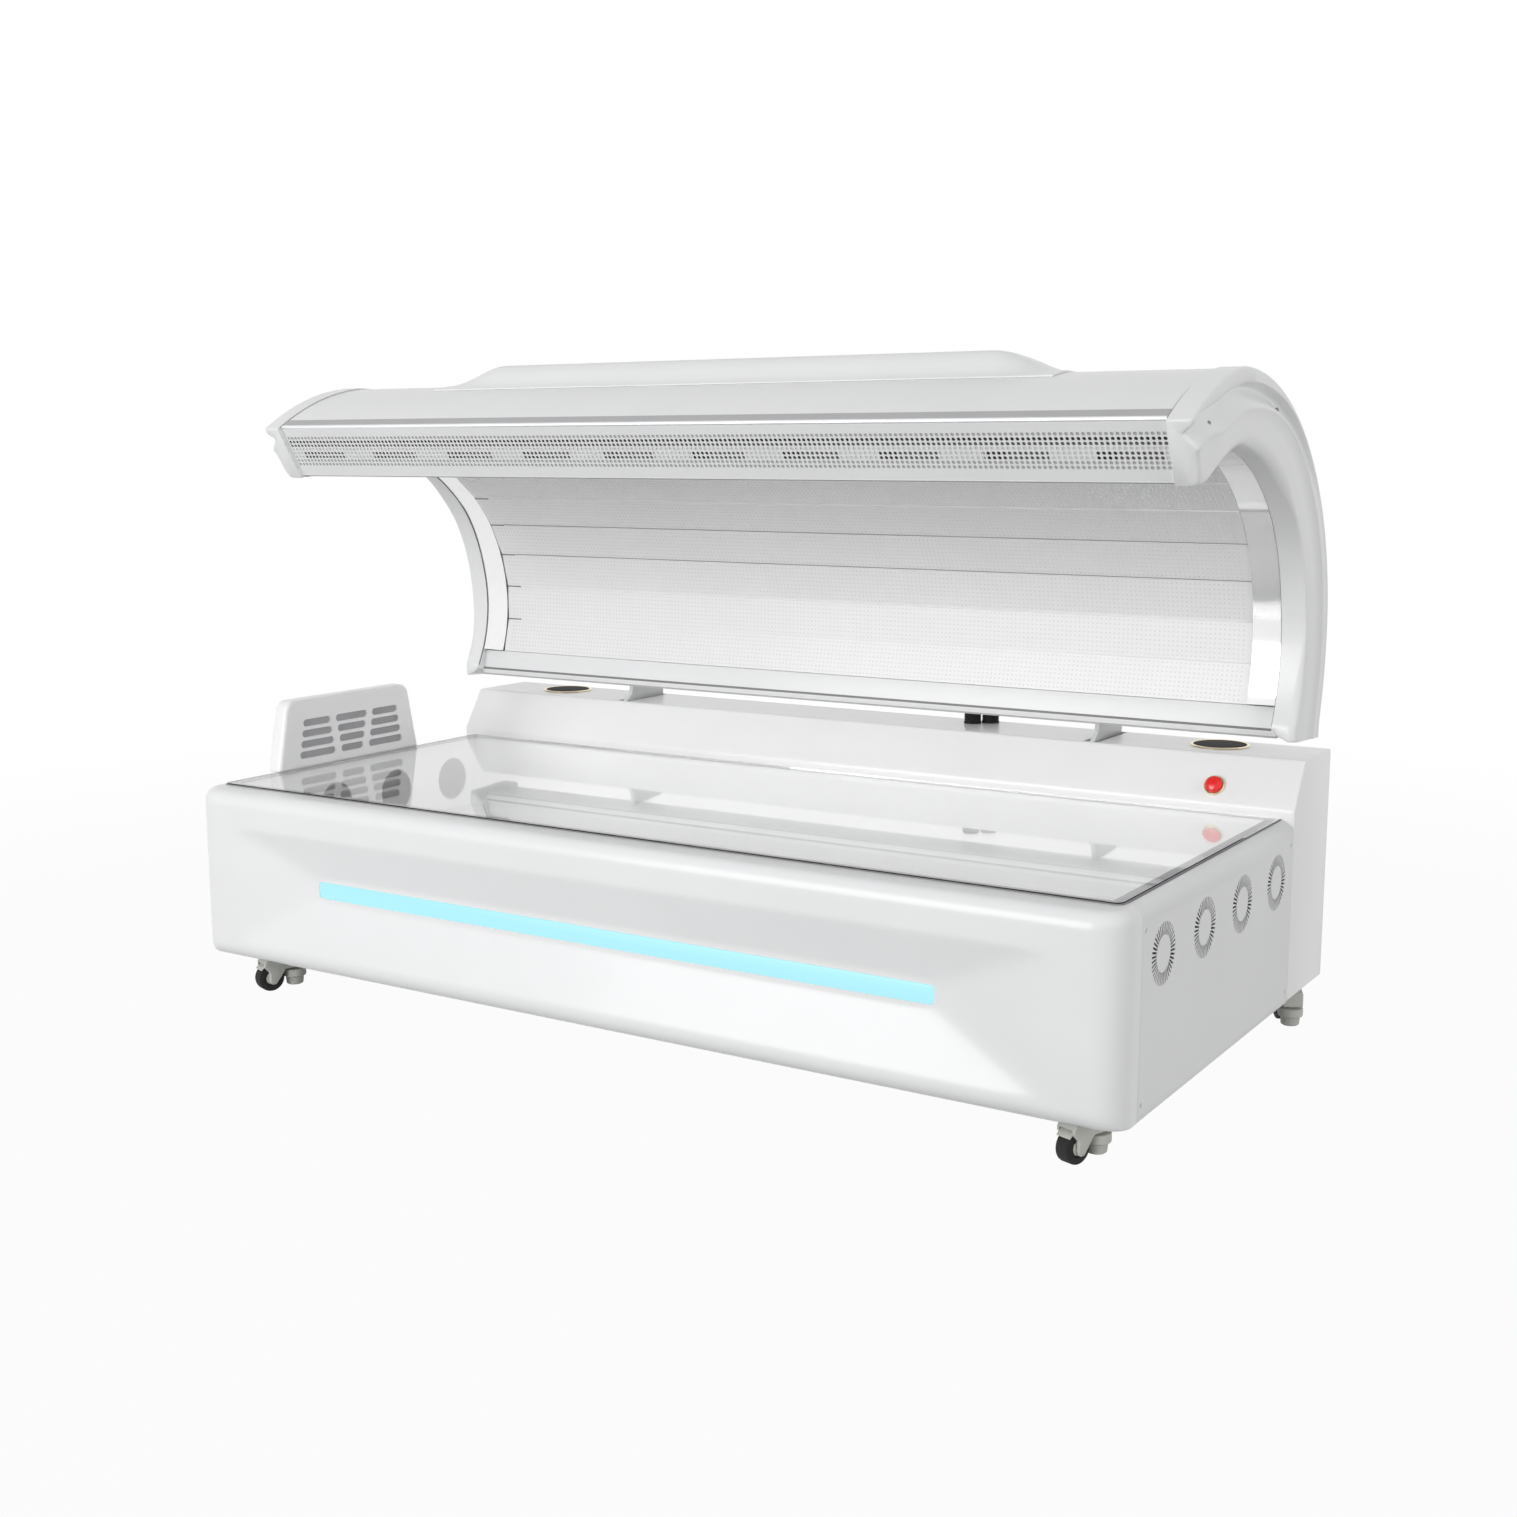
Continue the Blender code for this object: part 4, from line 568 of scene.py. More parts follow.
def repeated(piece: Piece, counts: Sequence[int], steps: Sequence[Sequence[float]]) -> None:
    """Repeat a piece in rows, merging the edges that meet.

    Args:
        piece: Piece to repeat.
        counts: How often, for each direction.
        steps: Step of each direction.
    """
    for count, step in zip(counts, steps):
        apply_modifier(piece, "ARRAY", {
            "count": count, "use_relative_offset": False, "use_constant_offset": True,
            "constant_offset_displace": step, "use_merge_vertices": True, "merge_threshold": 1e-5})


def smooth(piece: Piece, angle: float = 35.0) -> None:
    """Shade a piece smooth except at its sharp edges."""
    grip(piece)
    bpy.ops.object.shade_smooth_by_angle(angle=math.radians(angle))


def dress(piece: Piece, finish: Finish, body: str, replaced: Iterable[str] = (),
          angle: float = 35.0) -> Piece:
    """Finish a piece and put it on the body that carries it.

    Args:
        piece: Piece to finish.
        finish: Its finish.
        body: Body that it moves with.
        replaced: Solids that it stands for.
        angle: Least angle of an edge that stays sharp, in degrees.

    Returns:
        The same piece.
    """
    smooth(piece, angle)
    piece.data.materials.clear()
    piece.data.materials.append(finish.material())
    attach(piece, body)
    for node in replaced:
        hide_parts(node)
    LOG.info("%s: %d faces, on %s", piece.name, len(piece.data.polygons), body)
    return piece


def refinish(nodes: Iterable[str], finish: Finish, objects: dict[str, Piece]) -> None:
    """Give solids that stay in view a better finish.

    Args:
        nodes: Names of the solids.
        finish: Their finish.
        objects: Every solid by its name.
    """
    for node in nodes:
        for slot in objects[node].material_slots:
            slot.material = finish.material()
        LOG.info("%s: solid kept, %s", node, finish.name)


def arc(centre: Flat, radii: Flat, start: float, end: float, steps: int) -> list[Flat]:
    """Points along an ellipse's arc from its first angle to its last, both included."""
    angles = [start + (end - start) * step / steps for step in range(steps + 1)]
    return [(centre[0] + radii[0] * math.cos(a), centre[1] + radii[1] * math.sin(a)) for a in angles]


def circle(centre: Flat, radius: float, sides: int) -> list[Flat]:
    """Corners of a round outline, once round."""
    return arc(centre, (radius, radius), 0.0, 2 * math.pi * (sides - 1) / sides, sides - 1)


def quarter_turns(steps: int) -> list[float]:
    """Angles from 0 to a right angle, both included."""
    return [math.pi / 2 * step / steps for step in range(steps + 1)]


def middle_of(node: str) -> Place:
    """Middle of a solid's box."""
    low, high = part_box(node)
    return ((low.x + high.x) / 2, (low.y + high.y) / 2, (low.z + high.z) / 2)


def smooth_step(value: float) -> float:
    """Rise from 0 to 1 with level ends."""
    value = min(max(value, 0.0), 1.0)
    return value * value * (3 - 2 * value)


def turn_share(angle: float, span: Flat) -> float:
    """Share of the way between two angles, in degrees, with level ends."""
    return smooth_step((angle - span[0]) / (span[1] - span[0]))


def offset_path(path: Sequence[Flat], distance: float) -> list[Flat]:
    """Open path moved to its left.

    Args:
        path: Points of the path.
        distance: How far it moves.

    Returns:
        The moved points.
    """
    points = [Vector(point) for point in path]
    sides = []
    for start, end in zip(points, points[1:]):
        run = (end - start).normalized()
        sides.append(Vector((-run.y, run.x)))
    shifts = [sides[0]]
    for before, after in zip(sides, sides[1:]):
        shifts.append((before + after) / (1 + before.dot(after)))
    shifts.append(sides[-1])
    return [tuple(point + shift * distance) for point, shift in zip(points, shifts)]


def strip(path: Sequence[Flat], thickness: float) -> list[Flat]:
    """Closed outline of a sheet that follows an open path, thick to the path's left."""
    return list(path) + list(reversed(offset_path(path, thickness)))


def resampled(path: Sequence[Flat], count: int) -> list[Flat]:
    """Open path as evenly spaced points.

    Args:
        path: Points of the path.
        count: Points wanted.

    Returns:
        The evenly spaced points, both ends included.
    """
    points = [Vector(point) for point in path]
    runs = [0.0]
    for start, end in zip(points, points[1:]):
        runs.append(runs[-1] + (end - start).length)
    found = []
    part = 0
    for number in range(count):
        target = runs[-1] * number / (count - 1)
        while part < len(points) - 2 and runs[part + 1] < target:
            part += 1
        share = (target - runs[part]) / (runs[part + 1] - runs[part])
        found.append(tuple(points[part].lerp(points[part + 1], share)))
    return found


@dataclass(frozen=True)
class BedSizes:
    """Main places of the bed, read from the solids."""

    half: float
    front: float
    rear: float
    bottom: float
    seam: float
    rim_top: float
    bed_top: float
    nose_y: float
    deck: float
    hinge: Vector

    @classmethod
    def read(cls, joints: Sequence[dict]) -> BedSizes:
        """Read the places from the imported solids.

        Args:
            joints: The record's joints.

        Returns:
            The sizes.
        """
        fascia_low, fascia_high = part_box("front_fascia")
        console_low, console_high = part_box("rear_console")
        hinge = next(joint for joint in joints if joint["name"] == "canopy_hinge")
        return cls(half=fascia_high.x, front=fascia_low.y, rear=console_high.y, bottom=fascia_low.z,
                   seam=fascia_high.y, rim_top=fascia_high.z, bed_top=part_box("bed_top")[1].z,
                   nose_y=console_low.y, deck=console_high.z, hinge=Vector(hinge["pos_m"]))


@dataclass
class Fascia:
    """Moulded front with its soft tray, and the light bar in it."""

    bed: BedSizes
    wall: float = 0.004
    corner: float = 0.065
    front_roll: float = 0.032
    end_roll: float = 0.0264
    flange: float = 0.0635
    underside: float = 0.050
    recess_end_inset: float = 0.130
    recess_rise: float = 0.040
    recess_drop: float = 0.078
    recess_depth: float = 0.030
    recess_edge: float = 0.050
    recess_sharpness: float = 11.0
    recess_reach: Flat = (-1.0, 2.0)
    bar_margin: float = 0.010
    bar_corner: float = 0.009
    bar_edge: float = 0.0025
    window_depth: float = 0.08
    least_corner: float = 0.018
    roll_steps: int = 8
    corner_steps: int = 12
    bar_corner_steps: int = 6
    front_columns: int = 180
    face_rows: int = 60

    def build(self) -> None:
        """Build the front and its light bar."""
        self._front()
        self._light_bar()

    def _levels(self) -> list[tuple[float, float, float]]:
        """Height, front inset and end inset of each row, from the underside to the top flange.

        Returns:
            The rows.
        """
        bed, roll = self.bed, self.front_roll
        turns = quarter_turns(self.roll_steps)
        rows = [(bed.bottom, self.underside, 0.0)]
        rows += [(bed.bottom + roll * (1 - math.cos(a)), roll * (1 - math.sin(a)), 0.0) for a in turns]
        low, high = bed.bottom + roll, bed.rim_top - roll
        rows += [(low + (high - low) * step / self.face_rows, 0.0, 0.0) for step in range(1, self.face_rows)]
        for turn in turns:
            height = high + roll * math.sin(turn)
            above = max(height - (bed.rim_top - self.end_roll), 0.0)
            inset = self.end_roll - math.sqrt(max(self.end_roll ** 2 - above ** 2, 0.0))
            rows.append((height, roll * (1 - math.cos(turn)), inset))
        rows.append((bed.rim_top, self.flange, self.end_roll))
        return rows

    def _plan(self, front_inset: float, end_inset: float) -> list[Flat]:
        """Fascia's edge seen from above, from the left-hand seam to the right-hand one.

        Args:
            front_inset: How far the front is drawn in.
            end_inset: How far the ends are drawn in.

        Returns:
            The points of the edge.
        """
        half, front = self.bed.half - end_inset, self.bed.front + front_inset
        reach = max(self.corner - max(front_inset, end_inset), self.least_corner)
        right = arc((half - reach, front + reach), (reach, reach), -math.pi / 2, 0.0, self.corner_steps)
        span = 2 * (half - reach)
        middle = [(-half + reach + span * step / self.front_columns, front)
                  for step in range(1, self.front_columns)]
        left = [(-x, y) for x, y in reversed(right)]
        back = self.bed.seam - FIT
        return [(-half, back), *left, *middle, *right, (half, back)]

    def _sunk(self, x: float, z: float) -> float:
        """Depth of the tray at a place on the front.

        Args:
            x: Place along the bed.
            z: Height.

        Returns:
            The depth.
        """
        bar_low, bar_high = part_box("light_bar")
        ahead = self.bar_margin
        half = self.bed.half - self.recess_end_inset
        low, high = self.bed.bottom + self.recess_rise, self.bed.rim_top - self.recess_drop
        shares = [(half - abs(x)) / (half - bar_high.x - ahead),
                  (z - low) / (bar_low.z - ahead - low),
                  (high - z) / (high - bar_high.z - ahead)]
        least, most = self.recess_reach
        total = sum(math.exp(-self.recess_sharpness * min(max(share, least), most)) for share in shares)
        share = -math.log(total) / self.recess_sharpness
        lead = self.recess_edge
        if share < -lead:
            return 0.0
        if share < lead:
            return self.recess_depth * (share + lead) ** 2 / (4 * lead)
        return self.recess_depth * min(share, 1.0)

    def _front(self) -> None:
        """Moulded front, as one sheet that wraps round both corners."""
        levels = self._levels()
        plans = [self._plan(front_inset, end_inset) for _, front_inset, end_inset in levels]

        def place(column: int, row: int) -> Vector:
            """Place of a corner of the sheet.

            Args:
                column: Number of the column.
                row: Number of the row.

            Returns:
                The place.
            """
            x, y = plans[row][column]
            height, front_inset, _ = levels[row]
            if front_inset == 0.0 and abs(y - self.bed.front) < 1e-6:
                y += self._sunk(x, height)
            return Vector((x, y, height))

        piece = sheet("fascia_moulding", len(plans[0]) - 1, len(levels) - 1, place, self.wall)
        front = self.bed.front
        carve(piece, self._bar_outline("fascia_window", FIT, front, front + self.window_depth))
        dress(piece, WHITE_GLOSS, "base", ["front_fascia"])

    def _bar_outline(self, name: str, grow: float, front: float, back: float) -> Piece:
        """Round-cornered bar in the tray.

        Args:
            name: Name of the piece.
            grow: How much larger than the solid it is.
            front: Where it starts.
            back: Where it ends.

        Returns:
            The piece.
        """
        low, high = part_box("light_bar")
        radius = self.bar_corner + grow
        left, right = low.x - grow + radius, high.x + grow - radius
        bottom, top = low.z - grow + radius, high.z + grow - radius
        outline = []
        for number, corner in enumerate(((right, top), (left, top), (left, bottom), (right, bottom))):
            start = number * math.pi / 2
            outline += arc(corner, (radius, radius), start, start + math.pi / 2, self.bar_corner_steps)
        return slab(name, outline, Axis.Y, front, back)

    def _light_bar(self) -> None:
        """Lit bar, a little proud of the tray and softly edged."""
        low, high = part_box("light_bar")
        piece = self._bar_outline("light_bar_lens", -FIT, low.y, high.y)
        bevel(piece, self.bar_edge)
        dress(piece, CYAN, "base", ["light_bar"])


@dataclass
class EndPanel:
    """End panel with four slotted vents and its screws."""

    bed: BedSizes
    side: Side
    roll: float = 0.0264
    vent_pitch: float = 0.2066
    vent_drop: float = 0.106
    vent_count: int = 4
    slots: int = 40
    slot_inner: float = 0.033
    slot_outer: float = 0.056
    slot_width: float = 0.0040
    tub_inset: float = 0.038
    edge: float = 0.0012
    roll_steps: int = 14
    ring_sides: int = 48
    shade_ring_margin: float = 0.003
    shade_ring_span: Flat = (-0.0032, -0.0019)
    inlet_shade_margin: float = 0.002
    screw_radius: float = 0.0046
    screw_front: float = 0.017
    screw_rear: float = 0.015
    screw_low: float = 0.026
    screw_high: float = 0.048

    def build(self) -> None:
        """Build the panel, the black rings behind its vents that paint the shade inside them, and its screws.
        """
        bed, sign = self.bed, self.side.value
        centre = (bed.half - self.roll, bed.rim_top - self.roll)
        outer = arc(centre, (self.roll, self.roll), 0.0, math.pi / 2, self.roll_steps)
        inner = arc(centre, (self.roll - SKIN, self.roll - SKIN), math.pi / 2, 0.0, self.roll_steps)
        section = [(bed.half, bed.bottom), *outer, *inner, (bed.half - SKIN, bed.bottom)]
        outline = [(sign * x, z) for x, z in section]
        piece = slab(f"{self.side.word}_end_panel", outline, Axis.Y, bed.seam, bed.nose_y - FIT)
        bevel(piece, self.edge, 2, 60.0)
        carve(piece, self._slot_cutter())
        carve(piece, self._dimple_cutter())
        dress(piece, WHITE_SATIN, "base", [f"{self.side.word}_side_panel"], 30.0)
        self._slot_shade_rings()
        if self.side is Side.LEFT:
            self._inlets()
        self._screws()

    @property
    def outward(self) -> Matrix:
        """Turn that points Z out of the panel."""
        return Matrix.Rotation(self.side.value * math.pi / 2, 4, "Y")

    def _vents(self, inset: float = 0.0) -> list[Matrix]:
        """Middle of each vent, unturned.

        Args:
            inset: How far inside the panel's face it is.

        Returns:
            The places.
        """
        bed = self.bed
        middle = (bed.seam + bed.nose_y) / 2
        x, height = self.side.value * (bed.half - inset), bed.rim_top - self.vent_drop
        steps = [number - (self.vent_count - 1) / 2 for number in range(self.vent_count)]
        return [Matrix.Translation((x, middle + step * self.vent_pitch, height)) for step in steps]

    def _slot_shade_rings(self) -> None:
        """Black rings behind the slots: painted shade inside the vents."""
        inner, outer = self.slot_inner - self.shade_ring_margin, self.slot_outer + self.shade_ring_margin
        back, front = self.shade_ring_span
        profile = [(inner, back), (outer, back), (outer, front), (inner, front)]
        rings = [turned("shading_ring", profile, self.ring_sides, place @ self.outward)
                 for place in self._vents()]
        # Black rings: painted shade inside the vents.
        dress(joined(f"{self.side.word}_vent_slot_shade", rings), HOLE_SHADE_BLACK, "base")

    def _inlets(self) -> None:
        """Dark discs behind the round holes in the tub's end wall: painted shade inside the holes."""
        radius = self.slot_outer + self.inlet_shade_margin
        profile = [(radius - 0.001, 0.0), (radius, 0.001), (radius, 0.003), (radius - 0.001, 0.004)]
        discs = [turned("disc", profile, self.ring_sides, place @ self.outward)
                 for place in self._vents(self.tub_inset - FIT)]
        # Dark discs: painted shade inside the holes.
        dress(joined("left_inlet_hole_shade", discs), HOLE_SHADE_DARK, "base")

    def _slot_cutter(self) -> Piece:
        """Radial slots of every vent.

        Returns:
            One cutter for all of them.
        """
        middle = (self.slot_inner + self.slot_outer) / 2
        size = (4 * SKIN, self.slot_outer - self.slot_inner, self.slot_width)
        slot = box_at("slot", size, Matrix.Translation((0, middle, 0)))
        turns = [Matrix.Rotation(2 * math.pi * (number + 0.5) / self.slots, 4, "X")
                 for number in range(self.slots)]
        copies = [copied(slot, "slot_copy", place @ turn) for place in self._vents() for turn in turns]
        bpy.data.objects.remove(slot, do_unlink=True)
        return joined("slots", copies)

    def _screw_spots(self) -> list[Matrix]:
        """Middle of each screw on the panel's face, with Z out of it.

        Returns:
            The places.
        """
        bed = self.bed
        x = self.side.value * bed.half
        front, rear = bed.seam + self.screw_front, bed.nose_y - self.screw_rear
        low, high = bed.bottom + self.screw_low, bed.rim_top - self.screw_high
        return [Matrix.Translation((x, y, z)) @ self.outward for y in (front, rear) for z in (low, high)]

    def _dimple_cutter(self) -> Piece:
        """Shallow seats for the screws.

        Returns:
            One cutter for all of them.
        """
        radius = self.screw_radius
        profile = [(radius, -0.0016), (radius * 1.25, 0.0), (radius * 1.5, 0.002)]
        return joined("seats", [turned("seat", profile, 20, spot) for spot in self._screw_spots()])

    def _screws(self) -> None:
        """Cross-slot screws, let in so that nothing stands proud of the panel."""
        radius = self.screw_radius * 0.9
        profile = [(radius, -0.003), (radius, -0.0012), (radius * 0.8, -0.0005), (radius * 0.3, -0.0003)]
        blade = (radius * 1.2, radius * 0.28, 0.0018)
        heads = [screw_head(profile, blade, 0.0, spot) for spot in self._screw_spots()]
        dress(joined(f"{self.side.word}_panel_screws", heads), ZINC, "base")


@dataclass
class Console:
    """Raised cover along the back, with its speakers, button and boots."""

    bed: BedSizes
    deck_depth: float = 0.181
    nose_rise: float = 0.016
    edge: float = 0.005
    slot_front_inset: float = 0.0045
    slot_rear_inset: float = 0.008
    slot_width: float = 0.036
    speaker_seat: float = 0.0531
    seat_sides: int = 48
    button_bore: float = 0.0143
    button_share: float = 0.3455
    boot_ribs: int = 5
    boot_flange: float = 0.005
    boot_rim: float = 0.004

    def build(self) -> None:
        """Build the cover and what is set into it."""
        self._cover()
        for side in Side:
            self._speaker(side)
        self._button()
        self._boots()

    def _cover(self) -> None:
        """Cover with soft edges, hollow, with slots for the arms and seats for the speakers."""
        bed = self.bed
        deck_front = bed.rear - self.deck_depth
        nose = bed.bed_top + self.nose_rise
        outline = [(bed.nose_y, bed.bottom), (bed.rear, bed.bottom), (bed.rear, bed.deck),
                   (deck_front, bed.deck), (bed.nose_y, nose)]
        piece = slab("console_cover", outline, Axis.X, -bed.half, bed.half)
        bevel(piece, self.edge, 4, 20.0)
        inside = [(bed.nose_y + SKIN, bed.bottom - SKIN), (bed.rear + SKIN, bed.bottom - SKIN),
                  (bed.rear + SKIN, bed.deck - SKIN), (deck_front + SKIN / 2, bed.deck - SKIN),
                  (bed.nose_y + SKIN, nose - SKIN / 2)]
        carve(piece, slab("hollow", inside, Axis.X, -bed.half + SKIN, bed.half - SKIN))
        low, high = bed.deck - 2 * SKIN, bed.deck + SKIN
        front, back = deck_front + self.slot_front_inset, bed.rear - self.slot_rear_inset
        for side in Side:
            x = middle_of(f"{side.word}_hinge_pin")[0]
            left, right = x - self.slot_width / 2, x + self.slot_width / 2
            slot = [(left, front), (right, front), (right, back), (left, back)]
            carve(piece, slab("slot", slot, Axis.Z, low, high))
            place = self._speaker_place(side)
            ring = circle((place.x, place.y), self.speaker_seat, self.seat_sides)
            carve(piece, slab("seat", ring, Axis.Z, low, high))
        bore = [(self.button_bore, -0.012), (self.button_bore, 0.004)]
        carve(piece, turned("bore", bore, 32, self._button_place()))
        # Lighter white: painted light on the console.
        dress(piece, LIT_CONSOLE_WHITE, "base", ["rear_console"], 25.0)

    def _speaker_place(self, side: Side) -> Vector:
        """Middle of a speaker, on the deck."""
        x, y, _ = middle_of(f"{side.word}_speaker")
        return Vector((x, y, self.bed.deck))

    def _speaker(self, side: Side) -> None:
        """Speaker with a thin bright ring and a domed mesh.

        Args:
            side: End of the bed that it is at.
        """
        place = Matrix.Translation(self._speaker_place(side))
        ring = [(0.0575, 0.0006), (0.0622, 0.0004), (0.0625, 0.0016), (0.0620, 0.0028), (0.0610, 0.0034),
                (0.0600, 0.0036), (0.0590, 0.0030)]
        piece = turned(f"{side.word}_speaker_ring", ring, 64, place)
        dress(piece, BRASS, "base", [f"{side.word}_speaker"])
        mesh = [(0.0300, -0.0440), (0.0520, -0.0340), (0.0520, 0.0006), (0.0588, 0.0008), (0.0588, 0.0026),
                (0.0550, 0.0032), (0.0400, 0.0036), (0.0200, 0.0039), (0.0050, 0.0040)]
        cone = turned(f"{side.word}_speaker_mesh", mesh, 64, place)
        dress(cone, SPEAKER_CLOTH, "base")

    def _button_place(self) -> Matrix:
        """Place and turn of the slanted face at the button: its Z points out of the face.

        Returns:
            The matrix of that place.
        """
        bed = self.bed
        low = Vector((0, bed.nose_y, bed.bed_top + self.nose_rise))
        high = Vector((0, bed.rear - self.deck_depth, bed.deck))
        place = low.lerp(high, self.button_share) + Vector((middle_of("button_bezel")[0], 0, 0))
        out = Vector((0, low.z - high.z, high.y - low.y)).normalized()
        return Matrix.Translation(place) @ Vector((0, 0, 1)).rotation_difference(out).to_matrix().to_4x4()

    def _button(self) -> None:
        """Red push button in a brass-coloured ring."""
        place = self._button_place()
        bezel = [(0.0140, -0.0200), (0.0140, 0.0004), (0.0220, 0.0004), (0.0220, 0.0048), (0.0214, 0.0062),
                 (0.0204, 0.0069), (0.0194, 0.0068), (0.0190, 0.0060), (0.0190, 0.0010), (0.0105, 0.0008),
                 (0.0105, -0.0195)]
        piece = turned("button_ring", bezel, 48, place)
        dress(piece, BRASS, "base", ["button_bezel"])
        knob = [(0.0098, -0.0110), (0.0098, 0.0052), (0.0180, 0.0052), (0.0185, 0.0060), (0.0185, 0.0086)]
        knob += [(0.0185 * math.cos(turn), 0.0086 + 0.0092 * math.sin(turn))
                 for turn in quarter_turns(10)[1:-1]]
        cap = turned("button_cap", knob, 48, place)
        dress(cap, RED, "stop_button", ["stop_button"])

    def _boots(self) -> None:
        """Two ribbed rubber boots on the deck."""
        for node in ("front_cable_boot", "rear_cable_boot"):
            low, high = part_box(node)
            radius, height = (high.x - low.x) / 2, high.z - low.z
            rise = (height - self.boot_flange - self.boot_rim) / self.boot_ribs
            profile = [(radius, 0.0), (radius, 0.004)]
            for rib in range(self.boot_ribs):
                base = self.boot_flange + rise * rib
                profile += [(radius * 0.90, base), (radius * 0.90, base + rise * 0.35),
                            (radius * 0.98, base + rise * 0.5), (radius * 0.98, base + rise * 0.9)]
            profile += [(radius * 0.96, height - 0.002), (radius * 0.86, height),
                        (radius * 0.45, height - 0.0004)]
            x, y, _ = middle_of(node)
            piece = turned(f"{node}_rubber", profile, 40, Matrix.Translation((x, y, low.z)))
            dress(piece, BLACK_RUBBER, "base", [node])


@dataclass
class Hood:
    """Slotted air hood at the left-hand end."""

    bed: BedSizes
    edge: float = 0.009
    wall: float = 0.004
    corner: float = 0.030
    foot_draft: float = 0.028
    rows: int = 4
    row_pitch: float = 0.025
    first_row: float = 0.031
    slot_height: float = 0.017
    slot_shift: float = 0.0035
    side_outer: Flat = (0.171, 0.157)
    side_inner: Flat = (0.056, 0.070)
    middle_half: Flat = (0.037, 0.052)
    shade_sheet_inset: float = 0.006
    shade_sheet_gap: float = 0.0004
    shade_sheet_thickness: float = 0.0016
    corner_start: float = 0.1
    arc_steps: int = 10

    def build(self) -> None:
        """Build the hood."""
        low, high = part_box("head_vent")
        piece = slab("air_hood", self._outline(0.0), Axis.X, low.x, high.x)
        bevel(piece, self.edge, 5, 40.0)
        hollow = self._outline(self.wall)
        carve(piece, slab("hollow", hollow, Axis.X, low.x + self.wall, high.x - self.wall))
        slots = [slab("slot", outline, Axis.X, high.x - 3 * self.wall, high.x + self.wall)
                 for outline in self._slots()]
        carve(piece, joined("slots", slots))
        # Lighter white: painted light on the hood's face.
        dress(piece, LIT_CONSOLE_WHITE, "base", ["head_vent"], 30.0)
        self._filter()

    def _filter(self) -> None:
        """Grey sheet behind the slots: painted shade inside the hood."""
        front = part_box("head_vent")[1].x - self.wall - self.shade_sheet_gap
        outline = self._outline(self.wall + self.shade_sheet_inset)
        piece = slab("hood_slot_shade_sheet", outline, Axis.X, front - self.shade_sheet_thickness, front)
        bevel(piece, 0.0005, 2)
        # Grey sheet: painted shade inside the hood.
        dress(piece, HOOD_SHADE_GREY, "base")

    def _outline(self, shrink: float) -> list[Flat]:
        """Hood seen along X, drawn in by a wall.

        Args:
            shrink: How far it is drawn in.

        Returns:
            The outline.
        """
        low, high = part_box("head_vent")
        middle = (low.y + high.y) / 2
        foot = (high.y - low.y) / 2 - shrink
        top_half = (high.y - low.y) / 2 - self.foot_draft - shrink
        radius = self.corner - shrink
        top = high.z - shrink
        centre = (middle + top_half - radius, top - radius)
        right = arc(centre, (radius, radius), self.corner_start, math.pi / 2, self.arc_steps)
        left = [(2 * middle - y, z) for y, z in reversed(right)]
        base = low.z - SKIN if shrink == self.wall else low.z
        return [(middle - foot, base), (middle + foot, base), *right, *left]

    def _slots(self) -> list[list[Flat]]:
        """Outline of each slot: three to a row.

        Returns:
            The outlines.
        """
        middle_y = middle_of("head_vent")[1] + self.slot_shift
        radius = self.slot_height / 2
        radii = (radius, radius)
        found = []
        for row in range(self.rows):
            share = row / (self.rows - 1)
            height = self.bed.bed_top + self.first_row + row * self.row_pitch
            outer, inner, middle = (start + (end - start) * share for start, end in
                                    (self.side_outer, self.side_inner, self.middle_half))
            for near, far in ((-outer, -inner), (-middle, middle), (inner, outer)):
                left, right = (middle_y + near + radius, height), (middle_y + far - radius, height)
                found.append(arc(right, radii, -math.pi / 2, math.pi / 2, self.arc_steps)
                             + arc(left, radii, math.pi / 2, 1.5 * math.pi, self.arc_steps))
        return found


